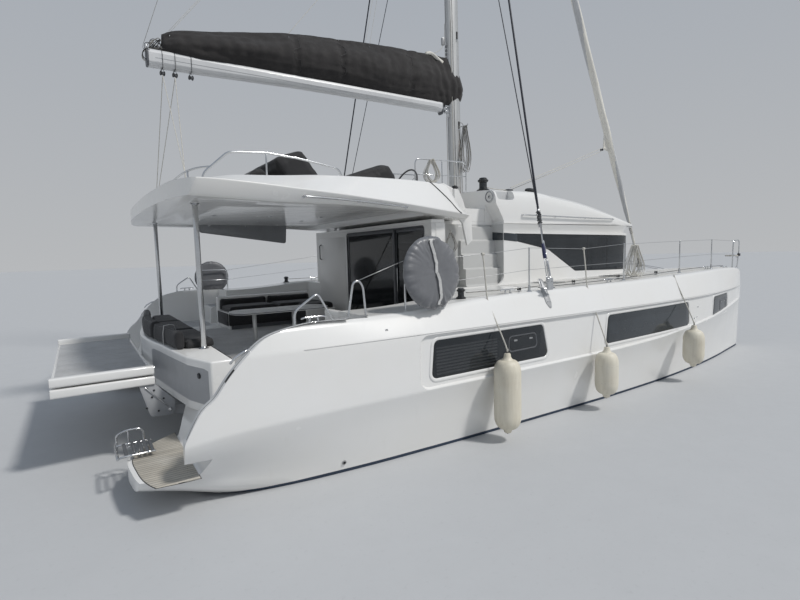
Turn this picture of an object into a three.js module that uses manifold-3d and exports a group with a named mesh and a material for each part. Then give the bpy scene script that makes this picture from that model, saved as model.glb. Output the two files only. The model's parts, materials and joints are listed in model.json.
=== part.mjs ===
// Sailing catamaran with a flybridge, afloat. Millimetres.
// Frame: +X to the bows, +Y to port, +Z up; the origin is amidships, on the centreline, at the waterline.
import * as THREE from 'three';
import { mergeVertices } from 'three/addons/utils/BufferGeometryUtils.js';
import Module from 'manifold-3d';

const wasm = await Module();
wasm.setup();

// ---------- driving dimensions ----------
const GAP = 0.4; // between pieces that touch
const HULL_Y = 3000; // centreline of each hull
const KEEL_Z = -1400; // draft
const FLOOR_Z = 1180; // cockpit and saloon floor
const PLATFORM_Z = 400; // stern platforms
const TREAD_Z = 800; // first stern step
const TUNNEL_Z = 720; // underside of the bridge deck
const WELL_Y = 3040; // half width of the cockpit well
const SALOON_Y = 2300; // half width of the saloon well
const BULKHEAD_X = -2590; // aft face of the saloon bulkhead
const ROOF_Z = 3200; // saloon ceiling, top of the coachroof walls
const SOLE_Z = 3500; // flybridge floor
const MAST = { x: -50, rake: -0.012, z0: 3960, z1: 23600, chord: 165, half: 100 };
const PIVOT_X = -330; // boom hinge
const RUDDER = { x: -6350, top: -170, bottom: -1250 };
const DRIVE = { x: -5230, shaft: -800 };
const LIFT = { px: -5500, pz: 500, qx: -6720, qz: 655, y: 1835 };
const LADDER = { x0: -7420, x1: -7030, y0: -2400, y1: -2840, z: 455 };

// Canoe body and topsides of a hull, as half breadths about its own centreline.
// x station; zk bottom; wl half breadth afloat; yo outer side, chine to knuckle; yd deck edge; zs sheer; yi inner side; zc chine
const STATIONS = [
  // x, zk, wl, yo, yd, zs, yi, zc
  [-7360, 235, 560, 800, 780, 1900, 980, 700],
  [-6900, 110, 640, 960, 930, 1900, 985, 800],
  [-6400, -60, 710, 1000, 960, 1900, 990, 860],
  [-5500, -290, 780, 1030, 930, 1925, 1000, 890],
  [-4330, -470, 830, 1045, 860, 1930, 1000, 900],
  [-2570, -600, 850, 1050, 850, 2030, 1000, 900],
  [-200, -640, 850, 1050, 850, 2070, 1000, 910],
  [1500, -620, 810, 1030, 840, 2090, 1000, 950],
  [3000, -560, 720, 950, 780, 2120, 990, 1040],
  [4200, -490, 590, 800, 660, 2140, 880, 1110],
  [5200, -420, 440, 610, 480, 2150, 610, 1190],
  [6100, -340, 270, 400, 320, 2135, 400, 1250],
  [6800, -240, 130, 210, 165, 2090, 210, 1300],
  [7130, -130, 55, 90, 70, 2000, 90, 1330],
  [7215, 60, 22, 35, 28, 1880, 35, 1340],
];
const KNUCKLE_Z = 1650;
const RECESS = { x0: -4050, x1: 7000, depth: 40 }; // band that holds the hull windows

// Upper edge of the stern wing: x, z
const WING = [[-6880, 840], [-6700, 1150], [-6570, 1260], [-6420, 1460], [-6220, 1670], [-5940, 1868]];

// Plan of the stern: x, half breadth from the boat's centreline
const STERN_PLAN = [[-7010, 2330], [-7320, 2800], [-7190, 3790], [-6880, 4100]];

// Flybridge deck and coaming: x, bottom, lip half breadth, chamfer height, coaming half breadth, coaming height
const HARDTOP = [
  [-6760, 3440, 3060, 3600, 2560, 3625],
  [-6320, 3425, 3040, 3635, 2500, 3690],
  [-5830, 3410, 3000, 3620, 2460, 3780],
  [-5310, 3400, 2960, 3590, 2430, 3810],
  [-4440, 3400, 2880, 3540, 2410, 3870],
  [-3200, 3360, 2720, 3450, 2400, 3890],
  [-2280, 3300, 2590, 3370, 2380, 3860],
  [-1920, 3270, 2530, 3340, 2370, 3470],
  [-1840, 3260, 2510, 3330, 2365, 3440],
];
const HARDTOP_PLAN = [[-6760, 0], [-6750, 1100], [-6700, 1850], [-6630, 2510], [-6510, 2960], [-6330, 3120], [-6100, 3200]];

// Roof and brow forward of the flybridge: x, half breadth, side top, crest
const BROW = [
  [-1050, 2360, 3715, 3840],
  [-600, 2356, 3790, 3900],
  [90, 2345, 3835, 3920],
  [800, 2320, 3765, 3905],
  [1600, 2300, 3665, 3830],
  [2200, 2300, 3545, 3760],
  [2660, 2290, 3447, 3665],
  [3300, 2250, 3300, 3540],
  [3600, 2170, 3258, 3490],
  [3900, 1990, 3243, 3430],
  [4100, 1800, 3236, 3385],
  [4300, 1450, 3229, 3320],
  [4400, 1100, 3225, 3280],
  [4465, 620, 3222, 3236],
];

// Plan of the coachroof wall: x, half breadth
const COACH_PLAN = [[BULKHEAD_X, 2400], [2500, 2400], [2850, 2385], [3050, 2350], [3200, 2300], [3280, 2220], [3330, 2100], [3346, 1950], [3350, 1500], [3350, 0]];

// ---------- shape helpers ----------
const vec = (p) => new THREE.Vector3(p[0], p[1], p[2]);
const lerp = (a, b, t) => a + (b - a) * t;

// Reads a table by its first column, with straight lines between rows
function at(table, x, col) {
  if (x <= table[0][0]) return table[0][col];
  for (let i = 1; i < table.length; i++)
    if (x <= table[i][0]) {
      const t = (x - table[i - 1][0]) / (table[i][0] - table[i - 1][0]);
      return lerp(table[i - 1][col], table[i][col], t);
    }
  return table[table.length - 1][col];
}

// Closed geometry as a solid
function solid(geometry) {
  const g = geometry.index ? geometry.toNonIndexed() : geometry.clone();
  g.deleteAttribute('normal');
  g.deleteAttribute('uv');
  const m = mergeVertices(g, 1e-3);
  return new wasm.Manifold(
    new wasm.Mesh({
      numProp: 3,
      vertProperties: new Float32Array(m.attributes.position.array),
      triVerts: new Uint32Array(m.index.array),
    }),
  );
}

// Skin over sections of equal point counts, closed by flat ends; drop is the axis left out when an end is triangulated
function loft(sections, drop = 0) {
  const n = sections[0].length;
  const pts = sections.flat();
  const tris = [];
  for (let s = 0; s < sections.length - 1; s++)
    for (let i = 0; i < n; i++) {
      const j = (i + 1) % n;
      const a = s * n + i, b = s * n + j, c = (s + 1) * n + i, d = (s + 1) * n + j;
      tris.push([a, b, d], [a, d, c]);
    }
  const keep = [0, 1, 2].filter((k) => k !== drop);
  const cap = (s, flip) => {
    const ring = sections[s].map((p) => new THREE.Vector2(p[keep[0]], p[keep[1]]));
    const area = THREE.ShapeUtils.area(ring);
    const faces = THREE.ShapeUtils.triangulateShape(ring, []);
    // a point on a straight edge still has to be a corner of the end
    const used = new Set(faces.flat());
    for (let k = 0; k < n; k++) {
      if (used.has(k)) continue;
      let best = null;
      faces.forEach((t, ti) => {
        for (let e = 0; e < 3; e++) {
          const A = ring[t[e]], B = ring[t[(e + 1) % 3]];
          const ab = B.clone().sub(A), ap = ring[k].clone().sub(A);
          const u = ap.dot(ab) / ab.lengthSq();
          if (u <= 0 || u >= 1) continue;
          const d = Math.abs(ab.cross(ap)) / ab.length();
          if (!best || d < best[0]) best = [d, ti, e];
        }
      });
      const [, ti, e] = best;
      const t = faces[ti];
      faces.splice(ti, 1, [t[e], k, t[(e + 2) % 3]], [k, t[(e + 1) % 3], t[(e + 2) % 3]]);
    }
    for (const [a, b, c] of faces) {
      const f = [s * n + a, s * n + b, s * n + c];
      const turned = THREE.ShapeUtils.area([ring[a], ring[b], ring[c]]) * area < 0;
      tris.push(turned !== flip ? [f[0], f[2], f[1]] : f);
    }
  };
  cap(0, true);
  cap(sections.length - 1, false);
  let volume = 0;
  for (const [a, b, c] of tris) volume += vec(pts[a]).dot(vec(pts[b]).cross(vec(pts[c])));
  const flat = [];
  for (const [a, b, c] of tris) flat.push(...pts[a], ...(volume < 0 ? [...pts[c], ...pts[b]] : [...pts[b], ...pts[c]]));
  const g = new THREE.BufferGeometry();
  g.setAttribute('position', new THREE.Float32BufferAttribute(flat, 3));
  return solid(g);
}

// Straight prism of an outline: axis 'x' takes (y,z), 'y' takes (x,z), 'z' takes (x,y)
function prism(outline, axis, a, b) {
  const put = { x: (p, t) => [t, p[0], p[1]], y: (p, t) => [p[0], t, p[1]], z: (p, t) => [p[0], p[1], t] }[axis];
  return loft([outline.map((p) => put(p, a)), outline.map((p) => put(p, b))], { x: 0, y: 1, z: 2 }[axis]);
}

function box(x0, x1, y0, y1, z0, z1) {
  const g = new THREE.BoxGeometry(x1 - x0, Math.abs(y1 - y0), z1 - z0);
  return solid(g.translate((x0 + x1) / 2, (y0 + y1) / 2, (z0 + z1) / 2));
}

// Bar along a path of straight runs, mitred at the corners; r may differ in the two section directions
function pipe(path, r, n = 8, r2 = r) {
  const P = path.map(vec);
  const T = P.slice(1).map((p, i) => p.clone().sub(P[i]).normalize());
  const up = Math.abs(T[0].z) < 0.9 ? new THREE.Vector3(0, 0, 1) : new THREE.Vector3(1, 0, 0);
  const u = up.clone().cross(T[0]).normalize();
  const v = T[0].clone().cross(u);
  const rings = P.map((p, i) => {
    const tin = T[Math.max(i - 1, 0)], tout = T[Math.min(i, T.length - 1)];
    const nb = tin.clone().add(tout).normalize();
    const ring = [];
    for (let k = 0; k < n; k++) {
      const a = ((k + 0.5) / n) * 2 * Math.PI;
      const q = u.clone().multiplyScalar(Math.cos(a) * r).addScaledVector(v, Math.sin(a) * r2);
      q.addScaledVector(tin, -q.dot(nb) / tin.dot(nb));
      ring.push(p.clone().add(q).toArray());
    }
    const turn = new THREE.Quaternion().setFromUnitVectors(tin, tout);
    u.applyQuaternion(turn);
    v.applyQuaternion(turn);
    return ring;
  });
  // ends are triangulated in the plane that the first run crosses most squarely
  const t = T[0].toArray().map(Math.abs);
  const e = T[T.length - 1].toArray().map(Math.abs);
  const drop = [0, 1, 2].sort((i, j) => t[j] + e[j] - t[i] - e[i] || i - j);
  const ok = drop.find((k) => t[k] > 0.2 && e[k] > 0.2);
  if (ok !== undefined) return loft(rings, ok);
  // a path that turns square: two runs joined at its middle
  const mid = Math.floor(path.length / 2);
  return pipe(path.slice(0, mid + 1), r, n, r2).add(pipe(path.slice(mid), r, n, r2)).add(ball(path[mid], Math.min(r, r2)));
}

function ball(c, r, n = 8) {
  return solid(new THREE.SphereGeometry(r, n, Math.max(4, n / 2)).translate(c[0], c[1], c[2]));
}

// Turned shape: profile of (radius, height) pairs from axis to axis, set on a point along a direction
function turned(profile, point, dir, n = 16) {
  const g = new THREE.LatheGeometry(profile.map((p) => new THREE.Vector2(p[0], p[1])), n);
  g.applyQuaternion(new THREE.Quaternion().setFromUnitVectors(new THREE.Vector3(0, 1, 0), vec(dir).normalize()));
  g.translate(point[0], point[1], point[2]);
  const s = solid(g);
  if (s.volume() > 0) return s;
  return solid(flipped(g));
}
function flipped(g) {
  const h = g.index ? g.toNonIndexed() : g.clone();
  const a = h.attributes.position.array;
  for (let i = 0; i < a.length; i += 9)
    for (let k = 0; k < 3; k++) [a[i + 3 + k], a[i + 6 + k]] = [a[i + 6 + k], a[i + 3 + k]];
  return h;
}
const join = (parts) => parts.reduce((a, b) => a.add(b));
const cut = (s, tools) => tools.reduce((a, b) => a.subtract(b), s);
// Outline on one side of the centreline made whole by its mirror image
const whole = (half) => [...half, ...half.filter((p) => p[1] !== 0).reverse().map((p) => [p[0], -p[1]])];

const boat = new THREE.Group();
boat.name = 'catamaran';
const paint = (color, roughness, metalness = 0) => new THREE.MeshStandardMaterial({ color, roughness, metalness });
const M = {
  gelcoat: paint(0xf1f0ec, 0.28),
  grey: paint(0x8d9093, 0.45),
  deck: paint(0xb9b2a2, 0.8),
  glass: paint(0x14181c, 0.08),
  steel: paint(0xc9ccce, 0.25, 1),
  alloy: paint(0xb9bab8, 0.4, 0.9),
  canvas: paint(0x3b3d42, 0.9),
  cushion: paint(0x23262b, 0.85),
  antifoul: paint(0x23303f, 0.8),
  fender: paint(0xd9d3c1, 0.5),
  sail: paint(0xe7e6e0, 0.8),
  black: paint(0x17181a, 0.5),
  bronze: paint(0x9a7b45, 0.35, 1),
  wood: paint(0x8b6a4a, 0.5),
  net: paint(0xd8d8d4, 0.8),
};
function add(name, s, material) {
  const m = s.getMesh();
  const v = new Float32Array(m.numVert * 3);
  for (let i = 0; i < m.numVert; i++) v.set(m.vertProperties.subarray(i * m.numProp, i * m.numProp + 3), i * 3);
  const g = new THREE.BufferGeometry();
  g.setAttribute('position', new THREE.BufferAttribute(v, 3));
  g.setIndex(new THREE.BufferAttribute(m.triVerts, 1));
  const mesh = new THREE.Mesh(g, material);
  mesh.name = name;
  boat.add(mesh);
}
const SIDES = [['starboard', -1], ['port', 1]];

// ---------- hulls ----------
// Section of a hull at station x, grown by g all round
function hullSection(x, s, g) {
  const c = (k) => at(STATIONS, x, k);
  const zk = c(1) - g, wl = c(2) + g, yo = c(3) + g, yd = c(4) + g, zs = c(5) + g, yi = c(6) + g, zc = c(7);
  const drop = zc - zk; // height from the bottom to the chine
  const pts = [
    [0, zk], [wl * 0.55, zk + drop * 0.05], [wl * 0.88, zk + drop * 0.2], [wl, zk + drop * 0.42],
    [yo - 60, zc - 160], [yo, zc], [yo, KNUCKLE_Z], [yd, zs], [-yi, zs], [-yi, zc - 100],
    [-wl, zk + drop * 0.42], [-wl * 0.88, zk + drop * 0.2], [-wl * 0.55, zk + drop * 0.05],
  ];
  return pts.map(([o, z]) => [x, s * (HULL_Y + o), z]);
}
const hullBody = (s, g = 0) => loft(STATIONS.map((r) => hullSection(r[0] + (r[0] > 7200 ? g : r[0] < -7300 ? -g : 0), s, g)));

function hull(s) {
  // band with the hull windows, set in from the side
  const band = STATIONS.map((r) => r[0]).filter((x) => x > RECESS.x0 && x < RECESS.x1);
  const recess = loft([RECESS.x0, ...band, RECESS.x1].map((x) => {
    const yo = at(STATIONS, x, 3), zc = at(STATIONS, x, 7) + 10;
    const d = Math.min(RECESS.depth, yo * 0.2);
    return [[yo - d, zc + 25], [yo + 60, zc - 10], [yo + 60, KNUCKLE_Z - 5], [yo - d, KNUCKLE_Z - 40]].map(([o, z]) => [x, s * (HULL_Y + o), z]);
  }));
  const Y = (a, b) => [Math.min(s * a, s * b), Math.max(s * a, s * b)];
  const cutBox = (x0, x1, a, b, z0, z1) => box(x0, x1, ...Y(a, b), z0, z1);
  const wing = prism([[-7800, PLATFORM_Z], [-6880, PLATFORM_Z], ...WING, [-5940, 2600], [-7800, 2600]], 'y', ...Y(1500, 4500));
  // everything inside the wing, down to platform and steps
  const stairs = prism([[-7800, PLATFORM_Z], [-6700, PLATFORM_Z], [-6510, TREAD_Z], [-6120, TREAD_Z], [-6080, FLOOR_Z],
    [-5080, FLOOR_Z], [-5060, 1560], [-4700, 1560], [-4680, 2600], [-7800, 2600]], 'y', ...Y(1500, 3860));
  const plan = prism([[-6500, 1500], [-6500, 2000], ...STERN_PLAN.map(([x, y], i) => (i === 0 ? [-6720, 2090] : [x, y])).slice(0, 1),
    ...STERN_PLAN, [-6500, 4500], [-8000, 4500], [-8000, 1500]].map(([x, y]) => [x, s * y]), 'z', -600, 2600);
  const body = cut(hullBody(s), [
    recess, wing, stairs, plan,
    cutBox(-6120, BULKHEAD_X - GAP, 1500, WELL_Y, FLOOR_Z, 2600), // cockpit
    cutBox(BULKHEAD_X - 60, 3250, 1500, SALOON_Y, FLOOR_Z, 2600), // saloon
    cutBox(-5950, -5150, 2620, 3380, 180, FLOOR_Z + 50), // engine room
    cutBox(-5990, -5110, 2580, 3420, FLOOR_Z - 45, FLOOR_Z + 50), // rebate for its hatch
    solid(new THREE.CylinderGeometry(48, 48, 500, 16).rotateX(Math.PI / 2).translate(RUDDER.x, s * HULL_Y, -170)), // rudder tube
  ]);
  if (s > 0) return body;
  // moulded seat on the starboard side of the cockpit
  return join([body, box(-4600, BULKHEAD_X - 260, -WELL_Y - 5, -2350, FLOOR_Z - 5, 1600), box(-4600, -4480, -WELL_Y - 5, -2350, 1590, 1900)]);
}
const grown = Object.fromEntries(SIDES.map(([side, s]) => [side, hullBody(s, GAP)]));
for (const [side, s] of SIDES) {
  add('hull_' + side, hull(s), M.gelcoat);

  // stub keel, straight foil sections: z, leading edge, trailing edge, half thickness
  const KEEL = [[-350, 1500, -2050, 190], [-900, 1330, -1900, 175], [KEEL_Z + 60, 1120, -1700, 150], [KEEL_Z, 1060, -1660, 125]];
  const foil = (z, x0, x1, t) => {
    const L = x0 - x1;
    const row = [[0, 0], [0.05, 0.5], [0.2, 0.95], [0.35, 1], [0.7, 0.6], [1, 0.04]];
    const p = row.map(([a, b]) => [x0 - a * L, b * t]);
    return [...p, ...p.slice(1).reverse().map(([x, y]) => [x, -y])].map(([x, y]) => [x, s * HULL_Y + y, z]);
  };
  add('keel_' + side, loft(KEEL.map(([z, a, b, t]) => foil(z, a, b, t)), 2).subtract(grown[side]), M.antifoul);

  // rudder: blade and stock
  const blade = loft([[RUDDER.top, -6130, -6690, 42], [-700, -6140, -6680, 38], [RUDDER.bottom, -6180, -6560, 26]].map(([z, a, b, t]) => foil(z, a, b, t)), 2);
  add('rudder_' + side, blade.add(pipe([[RUDDER.x, s * HULL_Y, RUDDER.top - 60], [RUDDER.x, s * HULL_Y, 60]], 42, 16)), M.antifoul);

  // saildrive leg with its gear case, and the propeller behind it
  const legFoil = (z, a, b, t) => foil(z, a, b, t);
  const leg = loft([[-200, DRIVE.x + 170, DRIVE.x - 200, 60], [-560, DRIVE.x + 130, DRIVE.x - 150, 45], [-880, DRIVE.x + 110, DRIVE.x - 110, 34]].map((r) => legFoil(...r)), 2);
  const gearcase = turned([[0, -230], [52, -226], [70, -120], [76, 0], [62, 130], [0, 190]], [DRIVE.x, s * HULL_Y, DRIVE.shaft], [1, 0, 0]);
  const skeg = loft([[-850, DRIVE.x + 60, DRIVE.x - 110, 14], [-1000, DRIVE.x - 10, DRIVE.x - 110, 7]].map((r) => legFoil(...r)), 2);
  add('saildrive_' + side, join([leg, gearcase, skeg]).subtract(grown[side]), M.antifoul);
  // propeller: boss and three twisted blades
  const px = DRIVE.x - 300;
  const boss = turned([[0, -75], [28, -60], [50, 20], [50, 64], [0, 64]], [px, s * HULL_Y, DRIVE.shaft], [1, 0, 0]);
  const blades = [0, 1, 2].map((k) => {
    // radius, chord, pitch angle, thickness
    const rows = [[30, 90, 62, 16], [120, 150, 42, 10], [190, 150, 32, 7], [248, 60, 27, 4]];
    const a = (k / 3) * 2 * Math.PI;
    return loft(rows.map(([r, c, p, t]) => {
      const q = (p * Math.PI) / 180;
      return [[-c / 2, -t / 2], [c / 2, -t / 2], [c / 2, t / 2], [-c / 2, t / 2]].map(([u, w]) => {
        const ax = u * Math.sin(q) + w * Math.cos(q), tg = u * Math.cos(q) - w * Math.sin(q);
        return [px + ax, s * HULL_Y + r * Math.cos(a) - tg * Math.sin(a), DRIVE.shaft + r * Math.sin(a) + tg * Math.cos(a)];
      });
    }), k === 0 ? 1 : 2);
  });
  add('propeller_' + side, join([boss, ...blades]), M.bronze);

  // diesel engine, one block in its compartment, and the hatch over it
  add('engine_' + side, box(-5900, -5200, s * HULL_Y - 260, s * HULL_Y + 260, 180 + GAP, 830), M.grey);
  add('engine_hatch_' + side, join([
    box(-5984, -5116, s * HULL_Y - 414, s * HULL_Y + 414, FLOOR_Z - 45 + GAP, FLOOR_Z - 1),
    box(-5930, -5170, s * HULL_Y - 360, s * HULL_Y + 360, FLOOR_Z - 70, FLOOR_Z - 40),
  ]), M.deck);
}

// ---------- bridge deck ----------
{
  const inner = HULL_Y - 1000 - GAP;
  const deckPlan = (x0, x1, z0, z1) => box(x0, x1, -2250, 2250, z0, z1);
  const lockers = SIDES.flatMap(([, s]) => [
    box(3560, 4200, Math.min(s * 1300, s * 1900), Math.max(s * 1300, s * 1900), 1450, 2200),
    box(3520, 4240, Math.min(s * 1260, s * 1940), Math.max(s * 1260, s * 1940), 2015, 2200),
  ]);
  const body = join([
    box(-6115, 4420, -inner, inner, TUNNEL_Z, FLOOR_Z),
    box(-6540, -6100, -inner, inner, TUNNEL_Z, TREAD_Z - GAP),
    deckPlan(3251, 4420, TUNNEL_Z + 100, 2060),
  ]);
  const nose = prism([[3300, 2060], [4600, 2060], [4600, 1500], [4180, TUNNEL_Z - 50], [4600, TUNNEL_Z - 50], [4800, 2300], [3300, 2300]], 'y', -2600, 2600);
  // brackets under the aft edge that carry the platform's arms
  const bracket = (y0, y1) => cut(prism([[LIFT.px - 160, TUNNEL_Z + 5], [LIFT.px + 260, TUNNEL_Z + 5], [LIFT.px + 95, LIFT.pz - 100], [LIFT.px - 85, LIFT.pz - 100]], 'y', y0, y1), [pipe([[LIFT.px, y0 - 5, LIFT.pz], [LIFT.px, y1 + 5, LIFT.pz]], 57, 12)]);
  add('bridgedeck', cut(join([body, bracket(-LIFT.y + 55, -LIFT.y + 90), bracket(LIFT.y - 90, LIFT.y - 55)]), [grown.starboard, grown.port, nose, ...lockers, box(3470, 4260, -1180, 1180, 1700, 2200)]), M.gelcoat);
  for (const [side, s] of SIDES)
    add('foredeck_hatch_' + side, box(3526, 4234, Math.min(s * 1266, s * 1934), Math.max(s * 1266, s * 1934), 2015 + GAP, 2059), M.gelcoat);
}

// ---------- coachroof ----------
const STAIR = { x0: -2300, xm: -1770, x1: -910, y: 2046 };
{
  const outer = prism(whole(COACH_PLAN), 'z', 1900, ROOF_Z - GAP);
  const innerPlan = COACH_PLAN.map(([x, y]) => [x === BULKHEAD_X ? x - 50 : x - 90, y === 0 ? 0 : y - 90]);
  const inner = prism(whole(innerPlan), 'z', 1800, ROOF_Z + 50);
  // alcoves of the two side stairs, which climb inboard: tread height, riser
  const TREADS = [[2060, 2300], [2380, 2230], [2640, 2170], [2900, 2110], [3160, STAIR.y]];
  const housings = SIDES.map(([, s]) => {
    const Y = (a, b) => [Math.min(s * a, s * b), Math.max(s * a, s * b)];
    const block = box(STAIR.x0 - 80, STAIR.x1 + 80, ...Y(STAIR.y - 86, 2400), 1900, ROOF_Z - GAP);
    const well = join([box(STAIR.x0, STAIR.xm + 1, ...Y(2120, 2600), 2060, 3400), ...TREADS.map(([z, y]) => box(STAIR.xm, STAIR.x1, ...Y(y, 2600), z, 3400))]);
    return [block, well];
  });
  // side window strip: x, z
  const strip = [[-640, 2890], [330, 2700], [1180, 2230], [3600, 2190], [3600, 2975], [-640, 3020]];
  const windows = [
    prism(strip, 'y', -2600, -1000),
    prism(strip, 'y', 1000, 2600),
    box(3000, 3500, -1480, 1480, 2190, 2975),
  ];
  let shell = join([outer.subtract(inner), ...housings.map((h) => h[0])]);
  shell = cut(shell, [...housings.map((h) => h[1]), ...windows]);
  // corner posts between the side and front panes
  const ring = (a, b) => prism(whole(COACH_PLAN.map(([x, y]) => [x - a, y === 0 ? 0 : y - a])), 'z', 2100, 3100)
    .subtract(prism(whole(COACH_PLAN.map(([x, y]) => [x - b - (x === BULKHEAD_X ? 50 : 0), y === 0 ? 0 : y - b])), 'z', 2000, 3200));
  const posts = SIDES.map(([, s]) => ring(46, 91).intersect(box(3120, 3400, Math.min(s * 2040, s * 2400), Math.max(s * 2040, s * 2400), 2150, 3000)));
  shell = join([shell, ...posts]);
  shell = cut(shell, [grown.starboard, grown.port, box(-3000, 3249, -SALOON_Y, SALOON_Y, 0, 2050), box(-3000, 3600, -SALOON_Y, SALOON_Y, 0, 2060 + GAP), box(3249, 3600, -2700, 2700, 0, 2060 + GAP),
    box(-3000, BULKHEAD_X + 95, -2700, 2700, 0, 4000)]);
  add('coachroof_walls', shell.decompose().sort((a, b) => b.volume() - a.volume())[0], M.gelcoat);

  // one dark pane wraps each side, and one crosses the front
  const glassRing = ring(30, 42);
  const shrunk = [[-630, 2894], [330, 2704.5], [1181, 2234], [3600, 2194], [3600, 2971], [-630, 3015]];
  for (const [side, s] of SIDES) {
    const pane = glassRing.intersect(prism(shrunk, 'y', Math.min(s * 1484, s * 2600), Math.max(s * 1484, s * 2600)));
    add('side_window_' + side, pane.decompose().sort((a, b) => b.volume() - a.volume())[0], M.glass);
  }
  add('front_window', glassRing.intersect(box(3005, 3500, -1476, 1476, 2194, 2971)), M.glass);

  // roof and brow
  const sections = BROW.map(([x, w, zt, zcr]) => {
    const half = [[w - 10, ROOF_Z], [w, ROOF_Z + (zt - ROOF_Z) * 0.25], [w - 25, zt - Math.min(40, (zt - ROOF_Z) * 0.3)], [w - 110, zt], [w * 0.72, zcr], [0, zcr + 25]];
    return [...half, ...half.slice(0, -1).reverse().map(([y, z]) => [-y, z])].map(([y, z]) => [x, y, z]);
  });
  const aftRoof = prism([[BULKHEAD_X, 0], [BULKHEAD_X, 2395], [STAIR.x0, 2395], [STAIR.x0, STAIR.y - 1], [-1040, STAIR.y - 1], [-1040, 0]].flatMap((p) => [p]), 'z', ROOF_Z, 3259)
    .add(prism([[BULKHEAD_X, 0], [BULKHEAD_X, -2395], [STAIR.x0, -2395], [STAIR.x0, -STAIR.y + 1], [-1040, -STAIR.y + 1], [-1040, 0]], 'z', ROOF_Z, 3259));
  const mastStep = box(MAST.x - 230, MAST.x + 230, -170, 170, 3850, MAST.z0 - GAP);
  const stairTop = SIDES.map(([, s]) => box(-1100, STAIR.x1, Math.min(s * (STAIR.y - 1), s * 2700), Math.max(s * (STAIR.y - 1), s * 2700), 3100, 4200));
  add('coachroof_top', cut(join([loft(sections), aftRoof, mastStep]), stairTop), M.gelcoat);
}

// ---------- aft bulkhead and its sliding door ----------
const DOOR = { y0: -2170, y1: 720, split: -1200, top: 3150, x: BULKHEAD_X };
{
  const T = [[-SALOON_Y + GAP, FLOOR_Z + GAP], [SALOON_Y - GAP, FLOOR_Z + GAP], [SALOON_Y - GAP, 2045], [2395, 2045], [2395, ROOF_Z - GAP],
    [-2395, ROOF_Z - GAP], [-2395, 2045], [-SALOON_Y + GAP, 2045]];
  add('aft_bulkhead', prism(T, 'x', BULKHEAD_X, BULKHEAD_X + 94).subtract(box(DOOR.x - 20, DOOR.x + 120, DOOR.y0, DOOR.y1, FLOOR_Z + 40, DOOR.top)), M.grey);
  add('saloon_door_fixed', box(DOOR.x + 10, DOOR.x + 34, DOOR.split, DOOR.y1 - GAP, FLOOR_Z + 40 + GAP, DOOR.top - GAP), M.glass);
  add('saloon_door', box(DOOR.x + 48, DOOR.x + 76, DOOR.y0 + 6, DOOR.split + 40, FLOOR_Z + 46, DOOR.top - 6), M.glass);
}

// ---------- saloon inside ----------
add('galley_unit', join([box(-2350, -1700, -2290, -1450, FLOOR_Z + GAP, 2055), box(-1900, -200, -1495, -900, FLOOR_Z + GAP, 2055)]), M.wood);
add('saloon_dinette', join([box(600, 3000, 700, 1900, FLOOR_Z + GAP, 1620), box(2400, 3000, -1500, 900, FLOOR_Z + GAP, 1620),
  box(600, 2700, 1750, 1900, 1600, 2150)]), M.cushion);
add('saloon_table', join([box(950, 2000, -300, 600, 1880, 1920), box(1400, 1560, 60, 240, FLOOR_Z + GAP, 1890)]), M.wood);

// ---------- flybridge ----------
// Deck with its coaming; g grows its upper faces
function flybridge(g) {
  const sections = HARDTOP.map(([x, zb, yl, zc, yt, zt]) => {
    const half = [[yl - 40, zb], [yl, zb + 25], [yl - 5, zc], [yt + g, zt + g], [0, zt + g]];
    return [...half, ...half.slice(0, -1).reverse().map(([y, z]) => [-y, z])].map(([y, z]) => [x, y, z]);
  });
  const plan = prism(whole([...HARDTOP_PLAN, [-1000, 3200], [-1000, 0]]), 'z', 3000, 4200);
  const inside = [[-6200, 0], [-6200, 1700], [-6000, 2150], [-5600, 2280], [-2300, 2250], [-1900, 2250], [-1800, 2600], [-1800, 0]].map(([x, y]) => [x + (x < -5000 ? g : 0), y - (y ? g : 0)]);
  const well = prism(whole(inside), 'z', SOLE_Z + g, 4300);
  const top = loft(sections).intersect(plan).subtract(well).subtract(box(-4000, -1800, -2800, 2800, 3000, 3259.6));
  const bridge = box(-1900, -1052, -STAIR.y, STAIR.y, 3260, SOLE_Z + g);
  const console = prism([[-1950, SOLE_Z - 5], [-1250, SOLE_Z - 5], [-1250, 3960], [-1500, 4050], [-1880, 4020], [-1990, 3700]], 'y', -1400, -500);
  return join([top, bridge, console]);
}
add('flybridge_deck', flybridge(0), M.gelcoat);
const flybridgeGrown = flybridge(GAP);
for (const [side, s] of SIDES) add('roof_post_' + side, pipe([[-6260, s * 2010, 1460 + GAP], [-6260, s * 2010, 3414]], 38, 12), M.steel);
const WHEEL = { p: [-2150, -950, 3955], d: [-0.94, 0, 0.34], r: 400 };
{
  const rim = turned(Array.from({ length: 8 }, (_, k) => [WHEEL.r + 15 * Math.cos((k / 8) * 2 * Math.PI), 15 * Math.sin((k / 8) * 2 * Math.PI)]).concat([[WHEEL.r + 15, 0]]), WHEEL.p, WHEEL.d, 32);
  const axis = vec(WHEEL.d).normalize();
  const u = new THREE.Vector3(0, 1, 0), v = axis.clone().cross(u);
  const P = vec(WHEEL.p);
  const spokes = [0, 1, 2].map((k) => {
    const a = Math.PI / 2 + (k / 3) * 2 * Math.PI;
    const d = u.clone().multiplyScalar(Math.cos(a)).addScaledVector(v, Math.sin(a));
    return pipe([P.toArray(), P.clone().addScaledVector(d, WHEEL.r).toArray()], 9, 6);
  });
  const hub = pipe([P.clone().addScaledVector(axis, 35).toArray(), P.clone().addScaledVector(axis, -225).toArray()], 30, 12);
  add('steering_wheel', join([rim, hub, ...spokes]), M.black);
}
add('helm_seat', prism([[-3670, SOLE_Z + GAP], [-2660, SOLE_Z + GAP], [-2660, 4090], [-2800, 4300], [-2970, 4290], [-3670, 4050]], 'y', -1500, -400), M.cushion);
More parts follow.
